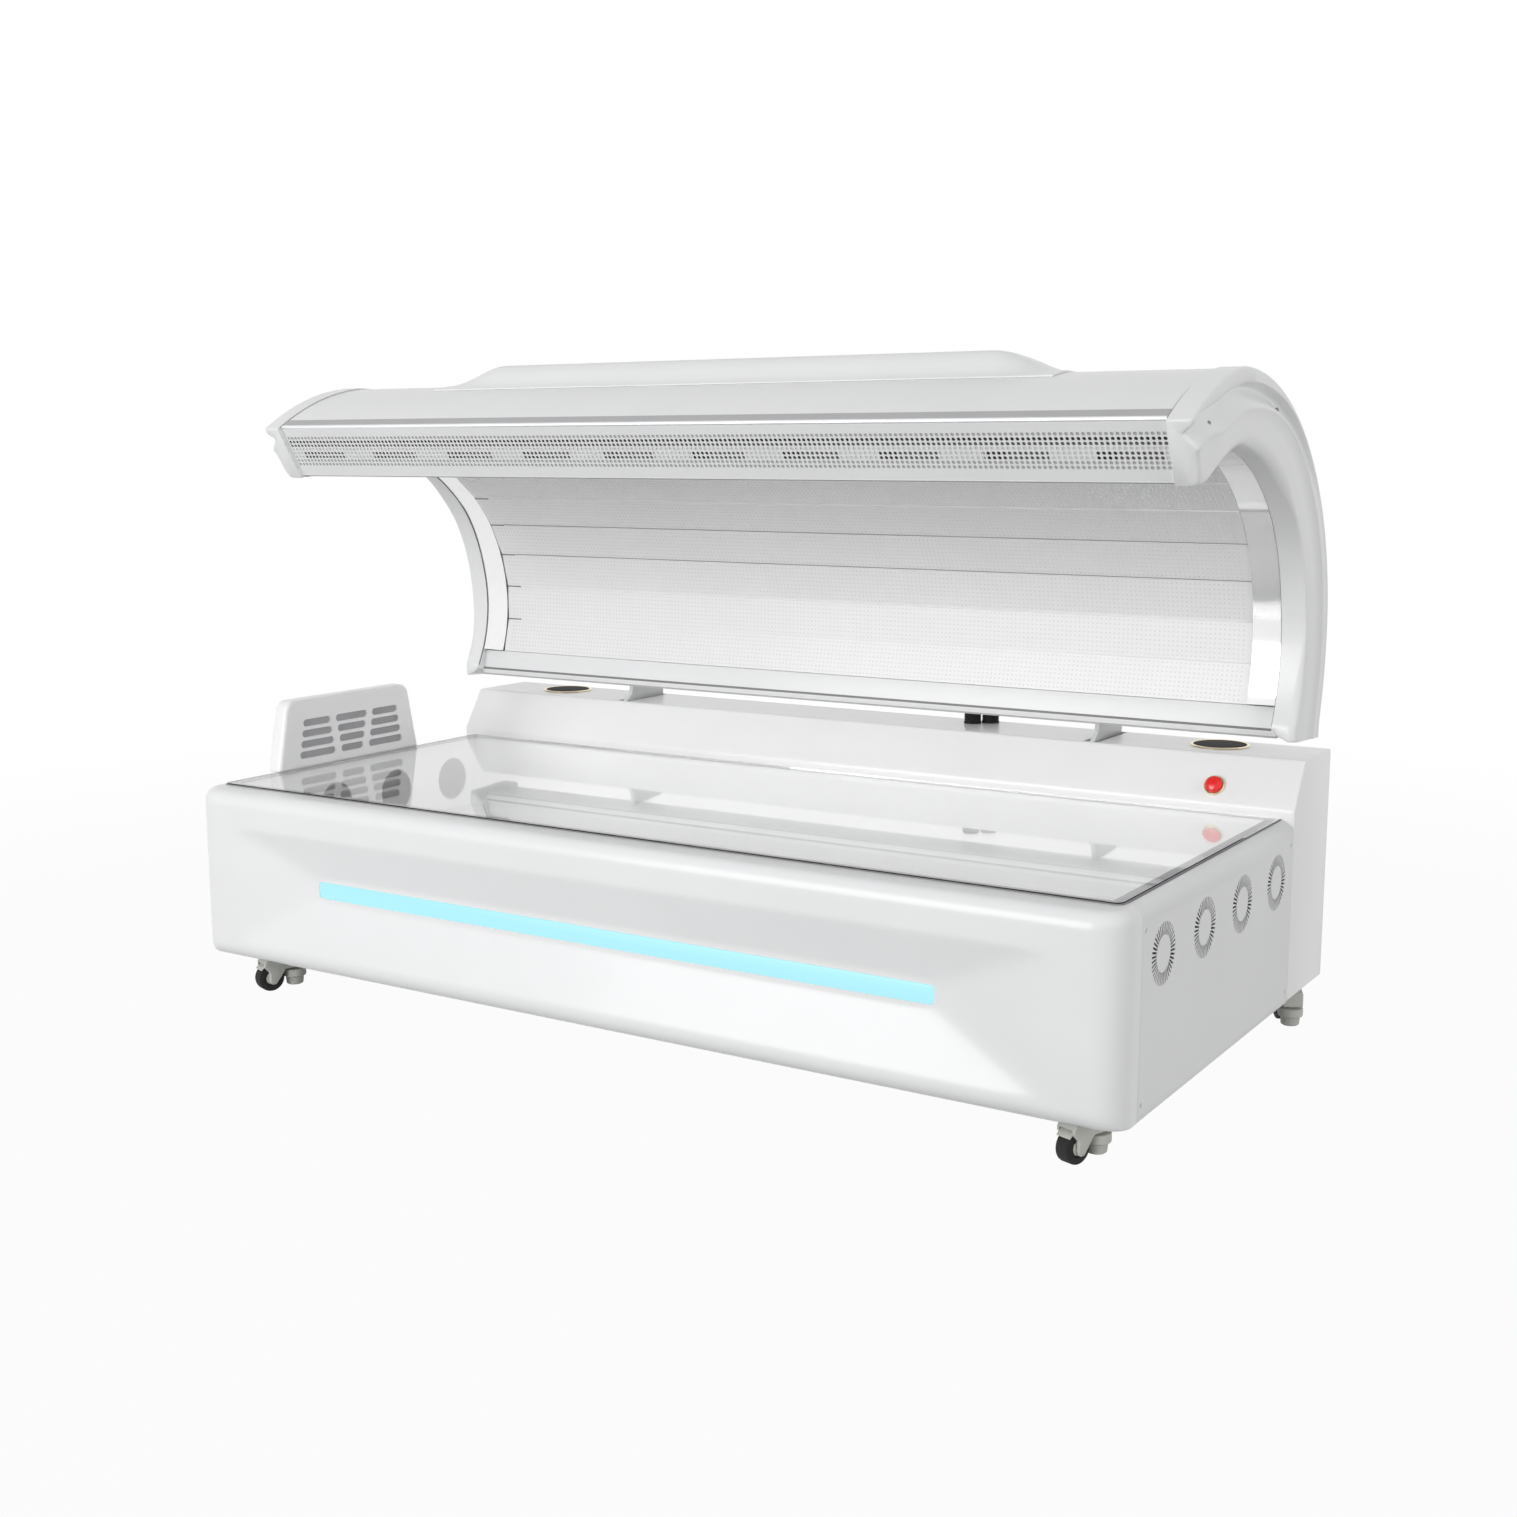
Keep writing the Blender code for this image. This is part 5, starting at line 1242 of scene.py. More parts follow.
@dataclass
class CanopySection:
    """Canopy seen along X: its outer line, its inner line and the places at its front and foot."""

    bed: BedSizes
    shell_centre_at: Flat = (-0.520, 0.2545)
    shell_reach: float = 0.5685
    shell_rise: float = 0.514
    shell_fall: float = 0.620
    shell_low_at: float = 0.0665
    nose_at: Flat = (-0.7755, 0.6795)
    pull_at: Flat = (-0.650, 0.7565)
    led_centre_at: Flat = (-0.5365, 0.2355)
    led_reach: float = 0.4645
    led_rise: float = 0.400
    led_start: float = math.radians(-18.2)
    led_step: float = math.radians(12.1)
    boards: int = 10
    foot_at: Flat = (-0.7135, 0.5685)
    cap_width: float = 0.050
    trim_width: float = 0.065
    rear_steps: int = 10
    back_steps: int = 60
    brow_steps: int = 24

    def place(self, offset: Flat) -> Flat:
        """Place from its distance to the hinge axis and its height over the deck."""
        return (self.bed.hinge.y + offset[0], self.bed.deck + offset[1])

    @property
    def nose(self) -> Vector:
        """Front end of the outer line, where the front plate starts."""
        return Vector(self.place(self.nose_at))

    @property
    def foot(self) -> Vector:
        """Low end of the front plate."""
        return Vector(self.place(self.foot_at))

    @property
    def seam(self) -> float:
        """X where the end caps meet the shell."""
        return self.bed.half - self.cap_width

    @property
    def low(self) -> float:
        """Height of the shell's low edge."""
        return self.bed.deck + self.shell_low_at

    @property
    def led_end(self) -> float:
        """Angle where the last LED board ends."""
        return self.led_start + self.boards * self.led_step

    def shell(self, grow: float = 0.0) -> list[Flat]:
        """Outer line from the low rear edge over the top to the nose.

        Args:
            grow: How far it is moved out.

        Returns:
            The points of the line.
        """
        centre = self.place(self.shell_centre_at)
        reach, rise, fall = self.shell_reach + grow, self.shell_rise + grow, self.shell_fall + grow
        start = math.asin((self.low - centre[1]) / fall)
        rear = arc(centre, (reach, fall), start, 0.0, self.rear_steps)
        back = arc(centre, (reach, rise), 0.0, math.pi / 2, self.back_steps)
        top = Vector(back[-1])
        pull = Vector(self.place(self.pull_at)) + Vector((0.0, grow))
        nose = self.nose + Vector((-grow, 0.0))
        brow = []
        for step in range(1, self.brow_steps + 1):
            t = step / self.brow_steps
            brow.append(tuple(top * (1 - t) ** 2 + pull * 2 * t * (1 - t) + nose * t ** 2))
        return rear + back[1:] + brow

    def inner(self, grow: float, start: float, end: float, steps: int) -> list[Flat]:
        """Points of the inner line between two angles, moved out by a distance."""
        radii = (self.led_reach + grow, self.led_rise + grow)
        return arc(self.place(self.led_centre_at), radii, start, end, steps)


@dataclass
class CanopyShell:
    """Outer skin of the canopy with its raised cover, and dark strips in the seams that paint the shadow in
    the gaps.
    """

    section: CanopySection
    cover_end_inset: float = 0.345
    cover_end_ramp: float = 0.155
    cover_front_ramp: float = 0.075
    cover_rear_ramp: float = 0.110
    cover_height: float = 0.045
    cover_wall: float = 0.003
    cover_columns: int = 120
    cover_first: int = 30
    cover_past_top: int = 6
    seam_shade_width: float = 0.0022
    shade_strip_depth: float = 0.003
    seam_shade_proud: float = 0.0001

    def build(self) -> None:
        """Build the skin, the cover and the dark strips of painted shadow in the seams."""
        half = self.section.seam - FIT
        skin = slab("canopy_skin", strip(self.section.shell(), SKIN), Axis.X, -half, half)
        dress(skin, WHITE_GLOSS, "canopy", ["canopy_shell"], 30.0)
        self._cover()
        self._seam_shade_strips()

    def _cover(self) -> None:
        """Raised cover along the top, with ramps all round."""
        section = self.section
        whole = section.shell()
        first = section.rear_steps + self.cover_first
        last = section.rear_steps + section.back_steps + self.cover_past_top
        path = [Vector(point) for point in whole[first:last + 1]]
        outside = [Vector(point) for point in offset_path(whole, -1.0)[first:last + 1]]
        runs = [0.0]
        for start, end in zip(path, path[1:]):
            runs.append(runs[-1] + (end - start).length)
        half = section.bed.half - self.cover_end_inset

        def place(column: int, row: int) -> Vector:
            """Place of a corner of the cover.

            Args:
                column: Number of the column.
                row: Number of the row.

            Returns:
                The place.
            """
            x = half * (1 - 2 * column / self.cover_columns)
            ends = smooth_step((half - abs(x)) / self.cover_end_ramp)
            along = smooth_step(runs[row] / self.cover_rear_ramp)
            along *= smooth_step((runs[-1] - runs[row]) / self.cover_front_ramp)
            height = FIT + self.cover_wall + (self.cover_height - self.cover_wall) * along * ends
            y, z = path[row] + (outside[row] - path[row]) * height
            return Vector((x, y, z))

        piece = sheet("canopy_cover", self.cover_columns, len(path) - 1, place, self.cover_wall)
        dress(piece, WHITE_GLOSS, "canopy", ["canopy_top_cover"], 60.0)

    def _seam_shade_strips(self) -> None:
        """Thin dark strips in the seams between the shell and the end caps: painted shadow in the gaps."""
        seam = self.section.seam
        path = strip(offset_path(self.section.shell(), -self.seam_shade_proud), self.shade_strip_depth)
        for side in Side:
            spans = sorted((side.value * (seam - self.seam_shade_width), side.value * (seam - FIT)))
            piece = slab(f"{side.word}_seam_gap_shade", path, Axis.X, *spans)
            # Dark strips: painted shadow in the seams.
            dress(piece, GAP_SHADE, "canopy")


@dataclass(frozen=True)
class Sweep:
    """Size of the end cap that turns from one value to another round the canopy, and then to the lobe's."""

    ends: Flat
    span: Flat
    front: float
    front_span: Flat = (100.0, 112.0)

    def at(self, angle: float) -> float:
        """Value at an angle in degrees."""
        value = self.ends[0] + (self.ends[1] - self.ends[0]) * turn_share(angle, self.span)
        return value + (self.front - value) * turn_share(angle, self.front_span)


@dataclass
class EndCap:
    """Moulded end of the canopy: lip, end face, ring, groove and rim, and a lobe at the front."""

    section: CanopySection
    proud: float = 0.003
    stations: int = 110
    lip_inset: float = 0.004
    lip_width: float = 0.012
    lip_low: float = 0.0146
    lip_high: float = 0.002
    lip_turn: Flat = (10.0, 42.0)
    crest: Sweep = Sweep((0.004, 0.026), (38.0, 58.0), 0.027)
    lip_set: Sweep = Sweep((0.008, 0.024), (38.0, 58.0), 0.020)
    lip_steps: int = 6
    lip_rise: float = 0.008
    lip_top_angle: float = 85.0
    lip_line_steps: int = 90
    lip_curve_steps: int = 20
    lip_pulls: Line = ((0.1485, 0.059), (0.0885, 0.024), (0.032, 0.0006))
    lobe_foot: Line = ((0.012, -0.0018), (0.0, -0.0015))
    face_set: Sweep = Sweep((0.004, 0.005), (38.0, 58.0), 0.007)
    ring: Sweep = Sweep((0.040, 0.084), (50.0, 100.0), 0.0584)
    ring_crown: Line = ((-0.006, 0.0035), (-0.0025, 0.0012), (0.0, 0.0003), (0.003, 0.0008))
    shoulder_line: Line = ((0.22, 0.13), (0.45, 0.42), (0.70, 0.75), (0.90, 0.96), (1.0, 1.0))
    groove: Sweep = Sweep((0.018, 0.038), (50.0, 92.0), 0.027)
    sunk: Sweep = Sweep((0.002, 0.021), (30.0, 62.0), 0.021)
    wall_line: Line = ((0.15, 0.04), (0.50, 0.45), (0.80, 0.86), (1.0, 1.0))
    rim: Sweep = Sweep((0.008, 0.026), (50.0, 92.0), 0.010)
    rim_set: Sweep = Sweep((0.001, 0.001), (50.0, 92.0), 0.004)
    rim_edge: float = 0.005
    rim_steps: int = 5
    heel_drop: float = 0.018
    heel_lip_drop: float = 0.012
    heel_turn: Flat = (5.0, -16.0)
    heel_round: float = 0.014
    heel_steps: Line = ((1.0, 0.0045), (0.94, 0.0015), (0.80, 0.0))
    heel_back: float = 3.0
    heel_blend: float = 0.020
    lobe_reach: float = 0.0085
    lobe_turn: float = 0.009
    lobe_edge: float = 0.005
    lobe_blend: float = 0.03
    lobe_steps: tuple[float, ...] = (0.0, 0.25, 0.5, 0.75, 0.9, 0.985)
    lip_shade_span: Flat = (0.0009, 0.0001)
    lip_shade_sunk: float = 0.0003
    shade_strip_depth: float = 0.0026
    screw_radius: float = 0.0045
    screw_lift: float = 0.0021
    screw_places: tuple[Flat, Flat] = ((105.5, 0.053), (66.0, 0.041))

    def build(self) -> None:
        """Build both caps, the left-hand one as a mirror image."""
        right = loft("right_cap_moulding", self._sections())
        mirror = Matrix.Diagonal((-1, 1, 1, 1))
        left = copied(right, "left_cap_moulding", mirror)
        dress(right, WHITE_GLOSS, "canopy", ["right_end_cap"], 50.0)
        dress(left, WHITE_GLOSS, "canopy", ["left_end_cap"], 50.0)
        screws = self._screws()
        dress(copied(screws, "left_cap_screws", mirror), DARK_SCREW, "canopy")
        dress(screws, DARK_SCREW, "canopy")
        self._lip_shade_strips()

    def lip_depth(self, angle: float) -> float:
        """How far the lip stands inside the boards at an angle in degrees."""
        return self.lip_low + (self.lip_high - self.lip_low) * turn_share(angle, self.lip_turn)

    def _lip_shade_strips(self) -> None:
        """Thin dark strips in the steps between the caps' lips and the trims: painted shade in the steps."""
        step = self.section.seam - self.lip_inset
        path = strip(offset_path(self._lip_line(), -self.lip_shade_sunk), -self.shade_strip_depth)
        for side in Side:
            spans = sorted(side.value * (step - inset) for inset in self.lip_shade_span)
            piece = slab(f"{side.word}_lip_step_shade", path, Axis.X, *spans)
            # Dark strips: painted shade in the steps.
            dress(piece, GAP_SHADE, "canopy")

    def _lip_line(self) -> list[Flat]:
        """Inner line of the cap, from its low end to the lobe's foot.

        Returns:
            The points of the line.
        """
        section = self.section
        centre_y, centre_z = section.place(section.led_centre_at)
        sine = (section.low + self.lip_rise - centre_z) / (section.led_rise - self.lip_low)
        low = math.degrees(math.asin(sine))
        line = []
        for step in range(self.lip_line_steps + 1):
            angle = low + (self.lip_top_angle - low) * step / self.lip_line_steps
            inset = self.lip_depth(angle)
            turn = math.radians(angle)
            line.append((centre_y + (section.led_reach - inset) * math.cos(turn),
                         centre_z + (section.led_rise - inset) * math.sin(turn)))
        pulls = [Vector(line[-1]), *(section.foot + Vector(pull) for pull in self.lip_pulls)]
        for step in range(1, self.lip_curve_steps + 1):
            t = step / self.lip_curve_steps
            weights = ((1 - t) ** 3, 3 * t * (1 - t) ** 2, 3 * t * t * (1 - t), t ** 3)
            line.append(tuple(sum((pull * weight for pull, weight in zip(pulls, weights)), Vector((0, 0)))))
        return line + [tuple(section.foot + Vector(end)) for end in self.lobe_foot]

    def _angle(self, point: Flat) -> float:
        """Angle of a place round the canopy's inner line.

        Args:
            point: The place, seen along X.

        Returns:
            The angle, in degrees.
        """
        section = self.section
        centre_y, centre_z = section.place(section.led_centre_at)
        return math.degrees(math.atan2((point[1] - centre_z) / section.led_rise,
                                       (point[0] - centre_y) / section.led_reach))

    def _loop(self, depth: float, angle: float) -> list[Flat]:
        """Cap's section across the rim: distance from the lip and X, once round.

        Args:
            depth: Distance from lip to rim.
            angle: Place of the section round the canopy, in degrees.

        Returns:
            The points of the section.
        """
        out, seam = self.section.bed.half, self.section.seam + FIT
        ring, groove, rim = (depth - sweep.at(angle) for sweep in (self.ring, self.groove, self.rim))
        heel = self.heel_round * turn_share(angle, self.heel_turn)
        crest, lip_x = self.crest.at(angle) + heel, out - self.lip_set.at(angle) - heel
        face_x, rim_x = out - self.face_set.at(angle), out - self.rim_set.at(angle)
        sunk = self.sunk.at(angle)
        loop = [(0.0, seam - self.lip_inset), (0.0, seam + self.lip_width)]
        loop += [(crest * (1 - math.cos(turn)), lip_x + (face_x - lip_x) * math.sin(turn))
                 for turn in quarter_turns(self.lip_steps)]
        loop.append(((crest + ring) / 2, (face_x + out - self.ring_crown[0][1]) / 2))
        loop += [(ring + along, out - down) for along, down in self.ring_crown]
        loop += [(ring + (groove - ring) * part, out - sunk * down) for part, down in self.shoulder_line]
        loop += [(groove + (rim - groove) * part, out - sunk + (rim_x - out + sunk) * up)
                 for part, up in self.wall_line]
        edge, edge_x = depth - self.rim_edge, rim_x - self.rim_edge
        loop += [(edge + self.rim_edge * math.sin(turn), edge_x + self.rim_edge * math.cos(turn))
                 for turn in quarter_turns(self.rim_steps)]
        loop.append((depth, seam))
        return loop

    def _surface(self, depth: float, angle: float, target: float) -> float:
        """X of the cap's end at a distance from the lip.

        Args:
            depth: Distance from lip to rim.
            angle: Place of the section round the canopy, in degrees.
            target: Distance from the lip.

        Returns:
            The X.
        """
        face = self._loop(depth, angle)[self.lip_steps + 3:]
        for (near, near_x), (far, far_x) in zip(face, face[1:]):
            if near <= target < far:
                return near_x + (far_x - near_x) * (target - near) / (far - near)
        return face[0][1]

    def _stations(self) -> list[tuple[Vector, Vector, float]]:
        """Lip place, rim place and angle of each station from the heel to the lobe.

        Returns:
            The stations.
        """
        rim = resampled(self.section.shell(self.proud), self.stations)
        lip = resampled(self._lip_line(), self.stations)
        return [(Vector(inner), Vector(outer), self._angle(inner)) for inner, outer in zip(lip, rim)]

    def _sections(self) -> list[list[Vector]]:
        """Sections of the right-hand cap from its heel to its lobe.

        Returns:
            The sections.
        """
        sections = []
        for inner, outer, angle in self._stations():
            depth = (outer - inner).length
            run = (outer - inner) / depth
            places = [(inner + run * distance, x) for distance, x in self._loop(depth, angle)]
            sections.append([Vector((x, place.x, place.y)) for place, x in places])
        drop = (self.section.foot - self.section.nose).normalized()
        lobe = self._lobe(sections.pop(), Vector((0, drop.y, -drop.x)))
        return self._heel(sections[0]) + sections + lobe

    def _heel(self, loop: Sequence[Vector]) -> list[list[Vector]]:
        """Rounded low end of the cap: its first section moved down and drawn in.

        Args:
            loop: First section of the cap.

        Returns:
            The sections of the heel, from its end.
        """
        inner, outer, _ = self._stations()[0]
        middle = sum(loop, Vector()) / len(loop)
        reach = max((point - middle).length for point in loop)
        narrow = max(abs(point.x - middle.x) for point in loop)
        found = []
        for share, inset in self.heel_steps:
            section = []
            for point in loop:
                spoke = (point - middle) * (1.0 - inset / reach)
                spoke.x *= 1.0 - inset / narrow
                back = self.heel_back * (point.y - inner.x) / (outer.x - inner.x)
                out = (point.x - self.section.seam) / self.heel_blend
                drop = self.heel_lip_drop + self.heel_drop * smooth_step(max(back, out))
                section.append(middle + spoke + Vector((0, 0, -share * drop)))
            found.append(section)
        return found

    def _lobe(self, loop: Sequence[Vector], ahead: Vector) -> list[list[Vector]]:
        """Front end of the lobe: the last section moved forward and drawn in, for a full rounding.

        Args:
            loop: Last section of the cap.
            ahead: Direction of the lobe's front.

        Returns:
            The sections of the lobe.
        """
        middle = sum(loop, Vector()) / len(loop)
        reach = max((point - middle).length for point in loop)
        turn, edge = self.lobe_turn, self.lobe_edge
        found = []
        for share in self.lobe_steps:
            forward = self.lobe_reach * share
            side = turn - math.sqrt(turn ** 2 - (turn - self.lobe_reach + forward) ** 2)
            rest = max(forward - self.lobe_reach + edge, 0.0)
            drawn = 1.0 - (edge - math.sqrt(edge ** 2 - rest ** 2)) / reach
            section = []
            for point in loop:
                place = middle + (point - middle) * drawn
                place.x = point.x - side * smooth_step((point.x - self.section.seam) / self.lobe_blend)
                section.append(place + ahead * forward)
            found.append(section)
        return found

    def _screws(self) -> Piece:
        """Two dark screws on the right-hand cap's shoulder.

        Returns:
            The screws, as one piece.
        """
        radius, lift = self.screw_radius, self.screw_lift
        profile = [(radius, -0.004), (radius, 0.0006), (radius * 0.8, 0.0016), (radius * 0.4, lift)]
        blade = (radius * 1.2, radius * 0.3, 0.003)
        heads = []
        for angle, distance in self.screw_places:
            inner, outer, _ = min(self._stations(), key=lambda station: abs(station[2] - angle))
            depth = (outer - inner).length
            middle = outer + (inner - outer) / depth * distance
            level = self._surface(depth, angle, depth - distance)
            spot = Matrix.Translation((level, middle.x, middle.y)) @ Matrix.Rotation(math.pi / 2, 4, "Y")
            heads.append(screw_head(profile, blade, lift, spot))
        return joined("right_cap_screws", heads)


@dataclass
class Grille:
    """Perforated front plate of the canopy, the strips of painted shade behind its holes, its bands and its
    lip.
    """

    section: CanopySection
    thickness: float = 0.0012
    column_pitch: float = 0.0105
    row_pitch: float = 0.0095
    first_row: float = 0.0295
    rows: int = 8
    hole_radius: float = 0.0036
    fan_first: float = -1.013
    fan_pitch: float = 0.2133
    fan_width: float = 0.126
    hole_sides: int = 16
    hole_margin: float = 1.05
    backing_share: float = 0.48
    backing_gap: float = 0.0003
    backing_wall: float = 0.0008
    least_span: float = 0.002
    lip_wall: float = 0.004
    trim_end: float = 0.003
    groove_samples: int = 1000
    groove_span: tuple[int, int] = (-23, -5)
    groove_proud: float = 0.0006
    groove_wall: float = 0.0012
    bead_at: Flat = (0.0036, -0.0010)
    bead_radius: float = 0.0040
    bead_sides: int = 20
    foot_edge: float = 0.0030
    foot_gap: float = 0.0003
    foot_wall: float = 0.0012

    def build(self) -> None:
        """Build the plate, the painted shade that shows through it, and the lip."""
        self._plate()
        self._hole_shade_strips()
        self._lip()
        self._nose_trim()

    def _frame(self) -> Matrix:
        """Place of the plate: local X along the bed, local Y down the plate, local Z inwards.

        Returns:
            The matrix from the plate's own frame.
        """
        nose = Vector((0, *self.section.nose))
        foot = Vector((0, *self.section.foot))
        down = (foot - nose).normalized()
        along = Vector((1, 0, 0))
        inward = along.cross(down)
        turn = Matrix((along, down, inward)).transposed().to_4x4()
        return Matrix.Translation(nose) @ turn

    def _length(self) -> float:
        """Height of the plate, from the nose to the foot."""
        return (self.section.foot - self.section.nose).length

    def _cell(self) -> Piece:
        """One cell of the plate: a flat square round a hole, and the hole's wall.

        Returns:
            The cell, centred on its origin.
        """
        clear_selection()
        bpy.ops.mesh.primitive_circle_add(vertices=self.hole_sides, radius=self.hole_radius,
                                          fill_type="NOTHING")
        cell = started("grille_cell")
        mesh = cell.data
        bpy.ops.object.mode_set(mode="EDIT")
        bpy.ops.mesh.select_all(action="SELECT")
        bpy.ops.mesh.extrude_edges_move()
        bpy.ops.object.mode_set(mode="OBJECT")
        for vertex in (corner for corner in mesh.vertices if corner.select):
            turn = math.atan2(vertex.co.y, vertex.co.x)
            reach = 1.0 / max(abs(math.cos(turn)), abs(math.sin(turn)))
            vertex.co.x = self.column_pitch / 2 * reach * math.cos(turn)
            vertex.co.y = self.row_pitch / 2 * reach * math.sin(turn)
        bpy.ops.object.mode_set(mode="EDIT")
        bpy.ops.mesh.select_all(action="DESELECT")
        bpy.ops.object.mode_set(mode="OBJECT")
        for vertex in mesh.vertices:
            vertex.select = vertex.co.length < self.hole_radius * self.hole_margin
        for edge in mesh.edges:
            edge.select = all(mesh.vertices[end].select for end in edge.vertices)
        bpy.ops.object.mode_set(mode="EDIT")
        bpy.ops.mesh.extrude_edges_move(TRANSFORM_OT_translate={"value": (0, 0, self.thickness)})
        bpy.ops.object.mode_set(mode="OBJECT")
        return cell

    def _plate(self) -> None:
        """Plate with rows of round holes between plain bands."""
        half = self.section.seam - FIT
        columns = int(2 * half / self.column_pitch)
        cell = self._cell()
        start = -(columns - 1) / 2 * self.column_pitch
        cell.data.transform(Matrix.Translation((start, self.first_row, 0)))
        repeated(cell, (columns, self.rows), ((self.column_pitch, 0, 0), (0, self.row_pitch, 0)))
        low = self.first_row - self.row_pitch / 2
        high = self.first_row + (self.rows - 0.5) * self.row_pitch
        edge = columns * self.column_pitch / 2
        bands = {"top_band": ((-half, half), (SKIN + 2 * FIT, low)),
                 "foot_band": ((-half, half), (high, self._length())),
                 "left_band": ((-half, -edge), (low, high)),
                 "right_band": ((edge, half), (low, high))}
        pieces = [cell, *(self._band(name, across, down) for name, (across, down) in bands.items())]
        plate = joined("grille_plate", pieces)
        self._face_front(plate)
        plate.data.transform(self._frame())
        dress(plate, GRILLE_WHITE, "canopy", ["front_grille"], 30.0)

    def _face_front(self, plate: Piece) -> None:
        """Turn every flat face to the front and every hole's wall to its own middle.

        Args:
            plate: Plate in its own frame, where the front is -Z.
        """
        mesh = plate.data
        for face in mesh.polygons:
            column = math.floor(face.center.x / self.column_pitch) + 0.5
            row = round((face.center.y - self.first_row) / self.row_pitch)
            height = self.first_row + row * self.row_pitch
            middle = Vector((column * self.column_pitch, height, face.center.z))
            flat = abs(face.normal.z) > 0.5
            face.select = face.normal.z > 0 if flat else face.normal.dot(middle - face.center) < 0
        grip(plate)
        bpy.ops.object.mode_set(mode="EDIT")
        bpy.ops.mesh.select_mode(type="FACE")
        bpy.ops.mesh.flip_normals()
        bpy.ops.object.mode_set(mode="OBJECT")

    def _band(self, name: str, across: Flat, down: Flat) -> Piece:
        """Plain band of the plate.

        Args:
            name: Name of the band.
            across: Its ends along the bed.
            down: Its edges down the plate.

        Returns:
            The band.
        """
        clear_selection()
        bpy.ops.mesh.primitive_plane_add(size=1.0)
        band = started(name)
        size = (across[1] - across[0], down[1] - down[0])
        band.data.transform(Matrix.Diagonal((*size, 1.0, 1.0)))
        band.data.transform(Matrix.Translation((sum(across) / 2, sum(down) / 2, 0)))
        return band

    def _fan_spans(self, half: float) -> list[tuple[Flat, Finish]]:
        """Spans of a row in front of the fans, in painted shade: dark at each opening and pale between them.

        Args:
            half: Half of the plate's length.

        Returns:
            Ends and finish of each span.
        """
        spans = []
        start, edge = self.fan_first, -half
        while start < half:
            middle, end = min(start + self.fan_width / 3, half), min(start + self.fan_width, half)
            spans += [((edge, start), HOLE_SHADE_PALE), ((start, middle), HOLE_SHADE_BLACK), ((middle, end), HOLE_SHADE_DARK)]
            start, edge = start + self.fan_pitch, end
        return [*spans, ((edge, half), HOLE_SHADE_PALE)]

    def _hole_shade_strips(self) -> None:
        """Painted shade behind the holes: a grey strip for each row, and dark fan openings behind two of
        them.
        """
        half = self.section.seam - FIT
        strips = {HOLE_SHADE_BLACK: [], HOLE_SHADE_DARK: [], HOLE_SHADE_GREY: [], HOLE_SHADE_PALE: []}
        # Greys of the rows: painted shade inside the canopy.
        shades = (HOLE_SHADE_GREY, HOLE_SHADE_BLACK, HOLE_SHADE_DARK, HOLE_SHADE_PALE, None, None, HOLE_SHADE_GREY, HOLE_SHADE_GREY)
        reach = self.row_pitch * self.backing_share
        for row, shade in enumerate(shades):
            middle = self.first_row + row * self.row_pitch
            spans = [((-half, half), shade)] if shade else self._fan_spans(half)
            for across, finish in spans:
                if across[1] - across[0] > self.least_span:
                    strips[finish].append(self._band("backing", across, (middle - reach, middle + reach)))
        frame = self._frame() @ Matrix.Translation((0, 0, self.thickness + self.backing_gap))
        for number, (finish, pieces) in enumerate(strips.items(), 1):
            whole = joined(f"grille_backing_{number}", pieces)
            whole.data.transform(frame)
            dress(thicken(whole, whole.name, self.backing_wall), finish, "canopy")

    def _lip(self) -> None:
        """Lip that turns back from the plate's foot to the LED boards."""
        section = self.section
        end = section.inner(0.0, section.led_end, section.led_end, 1)[0]
        outline = strip([section.place(section.foot_at), end], self.lip_wall)
        half = section.seam - FIT
        piece = slab("grille_lip", outline, Axis.X, -half, half)
        bevel(piece, 0.0008, 2)
        dress(piece, GRILLE_WHITE, "canopy")

    def _nose_trim(self) -> None:
        """Grey strip along the shell just behind the nose that paints the shade of a groove, a bright bead,
        and a dark strip at the foot that paints its shadow.
        """
        first, last = self.groove_span
        path = resampled(self.section.shell(), self.groove_samples)
        part = strip(offset_path(path[first:last], -self.groove_proud), self.groove_wall)
        half = self.section.seam - self.trim_end
        piece = slab("nose_groove_shade", part, Axis.X, -half, half)
        # Grey strip: painted shade of a groove behind the nose.
        dress(piece, PAINTED_SHADE_GREY, "canopy")
        nose_y, nose_z = self.section.place(self.section.nose_at)
        centre = (nose_y + self.bead_at[0], nose_z + self.bead_at[1])
        bead = circle(centre, self.bead_radius, self.bead_sides)
        dress(slab("nose_bead", bead, Axis.X, -half, half), POLISHED, "canopy")
        length = self._length()
        edge = self._band("foot", (-half, half), (length - self.foot_edge, length - FIT))
        edge.data.transform(self._frame() @ Matrix.Translation((0, 0, -self.foot_gap)))
        foot = thicken(edge, "grille_foot_shade", self.foot_wall)
        # Dark strip: painted shadow at the plate's foot.
        dress(foot, SEAL_GREY, "canopy")


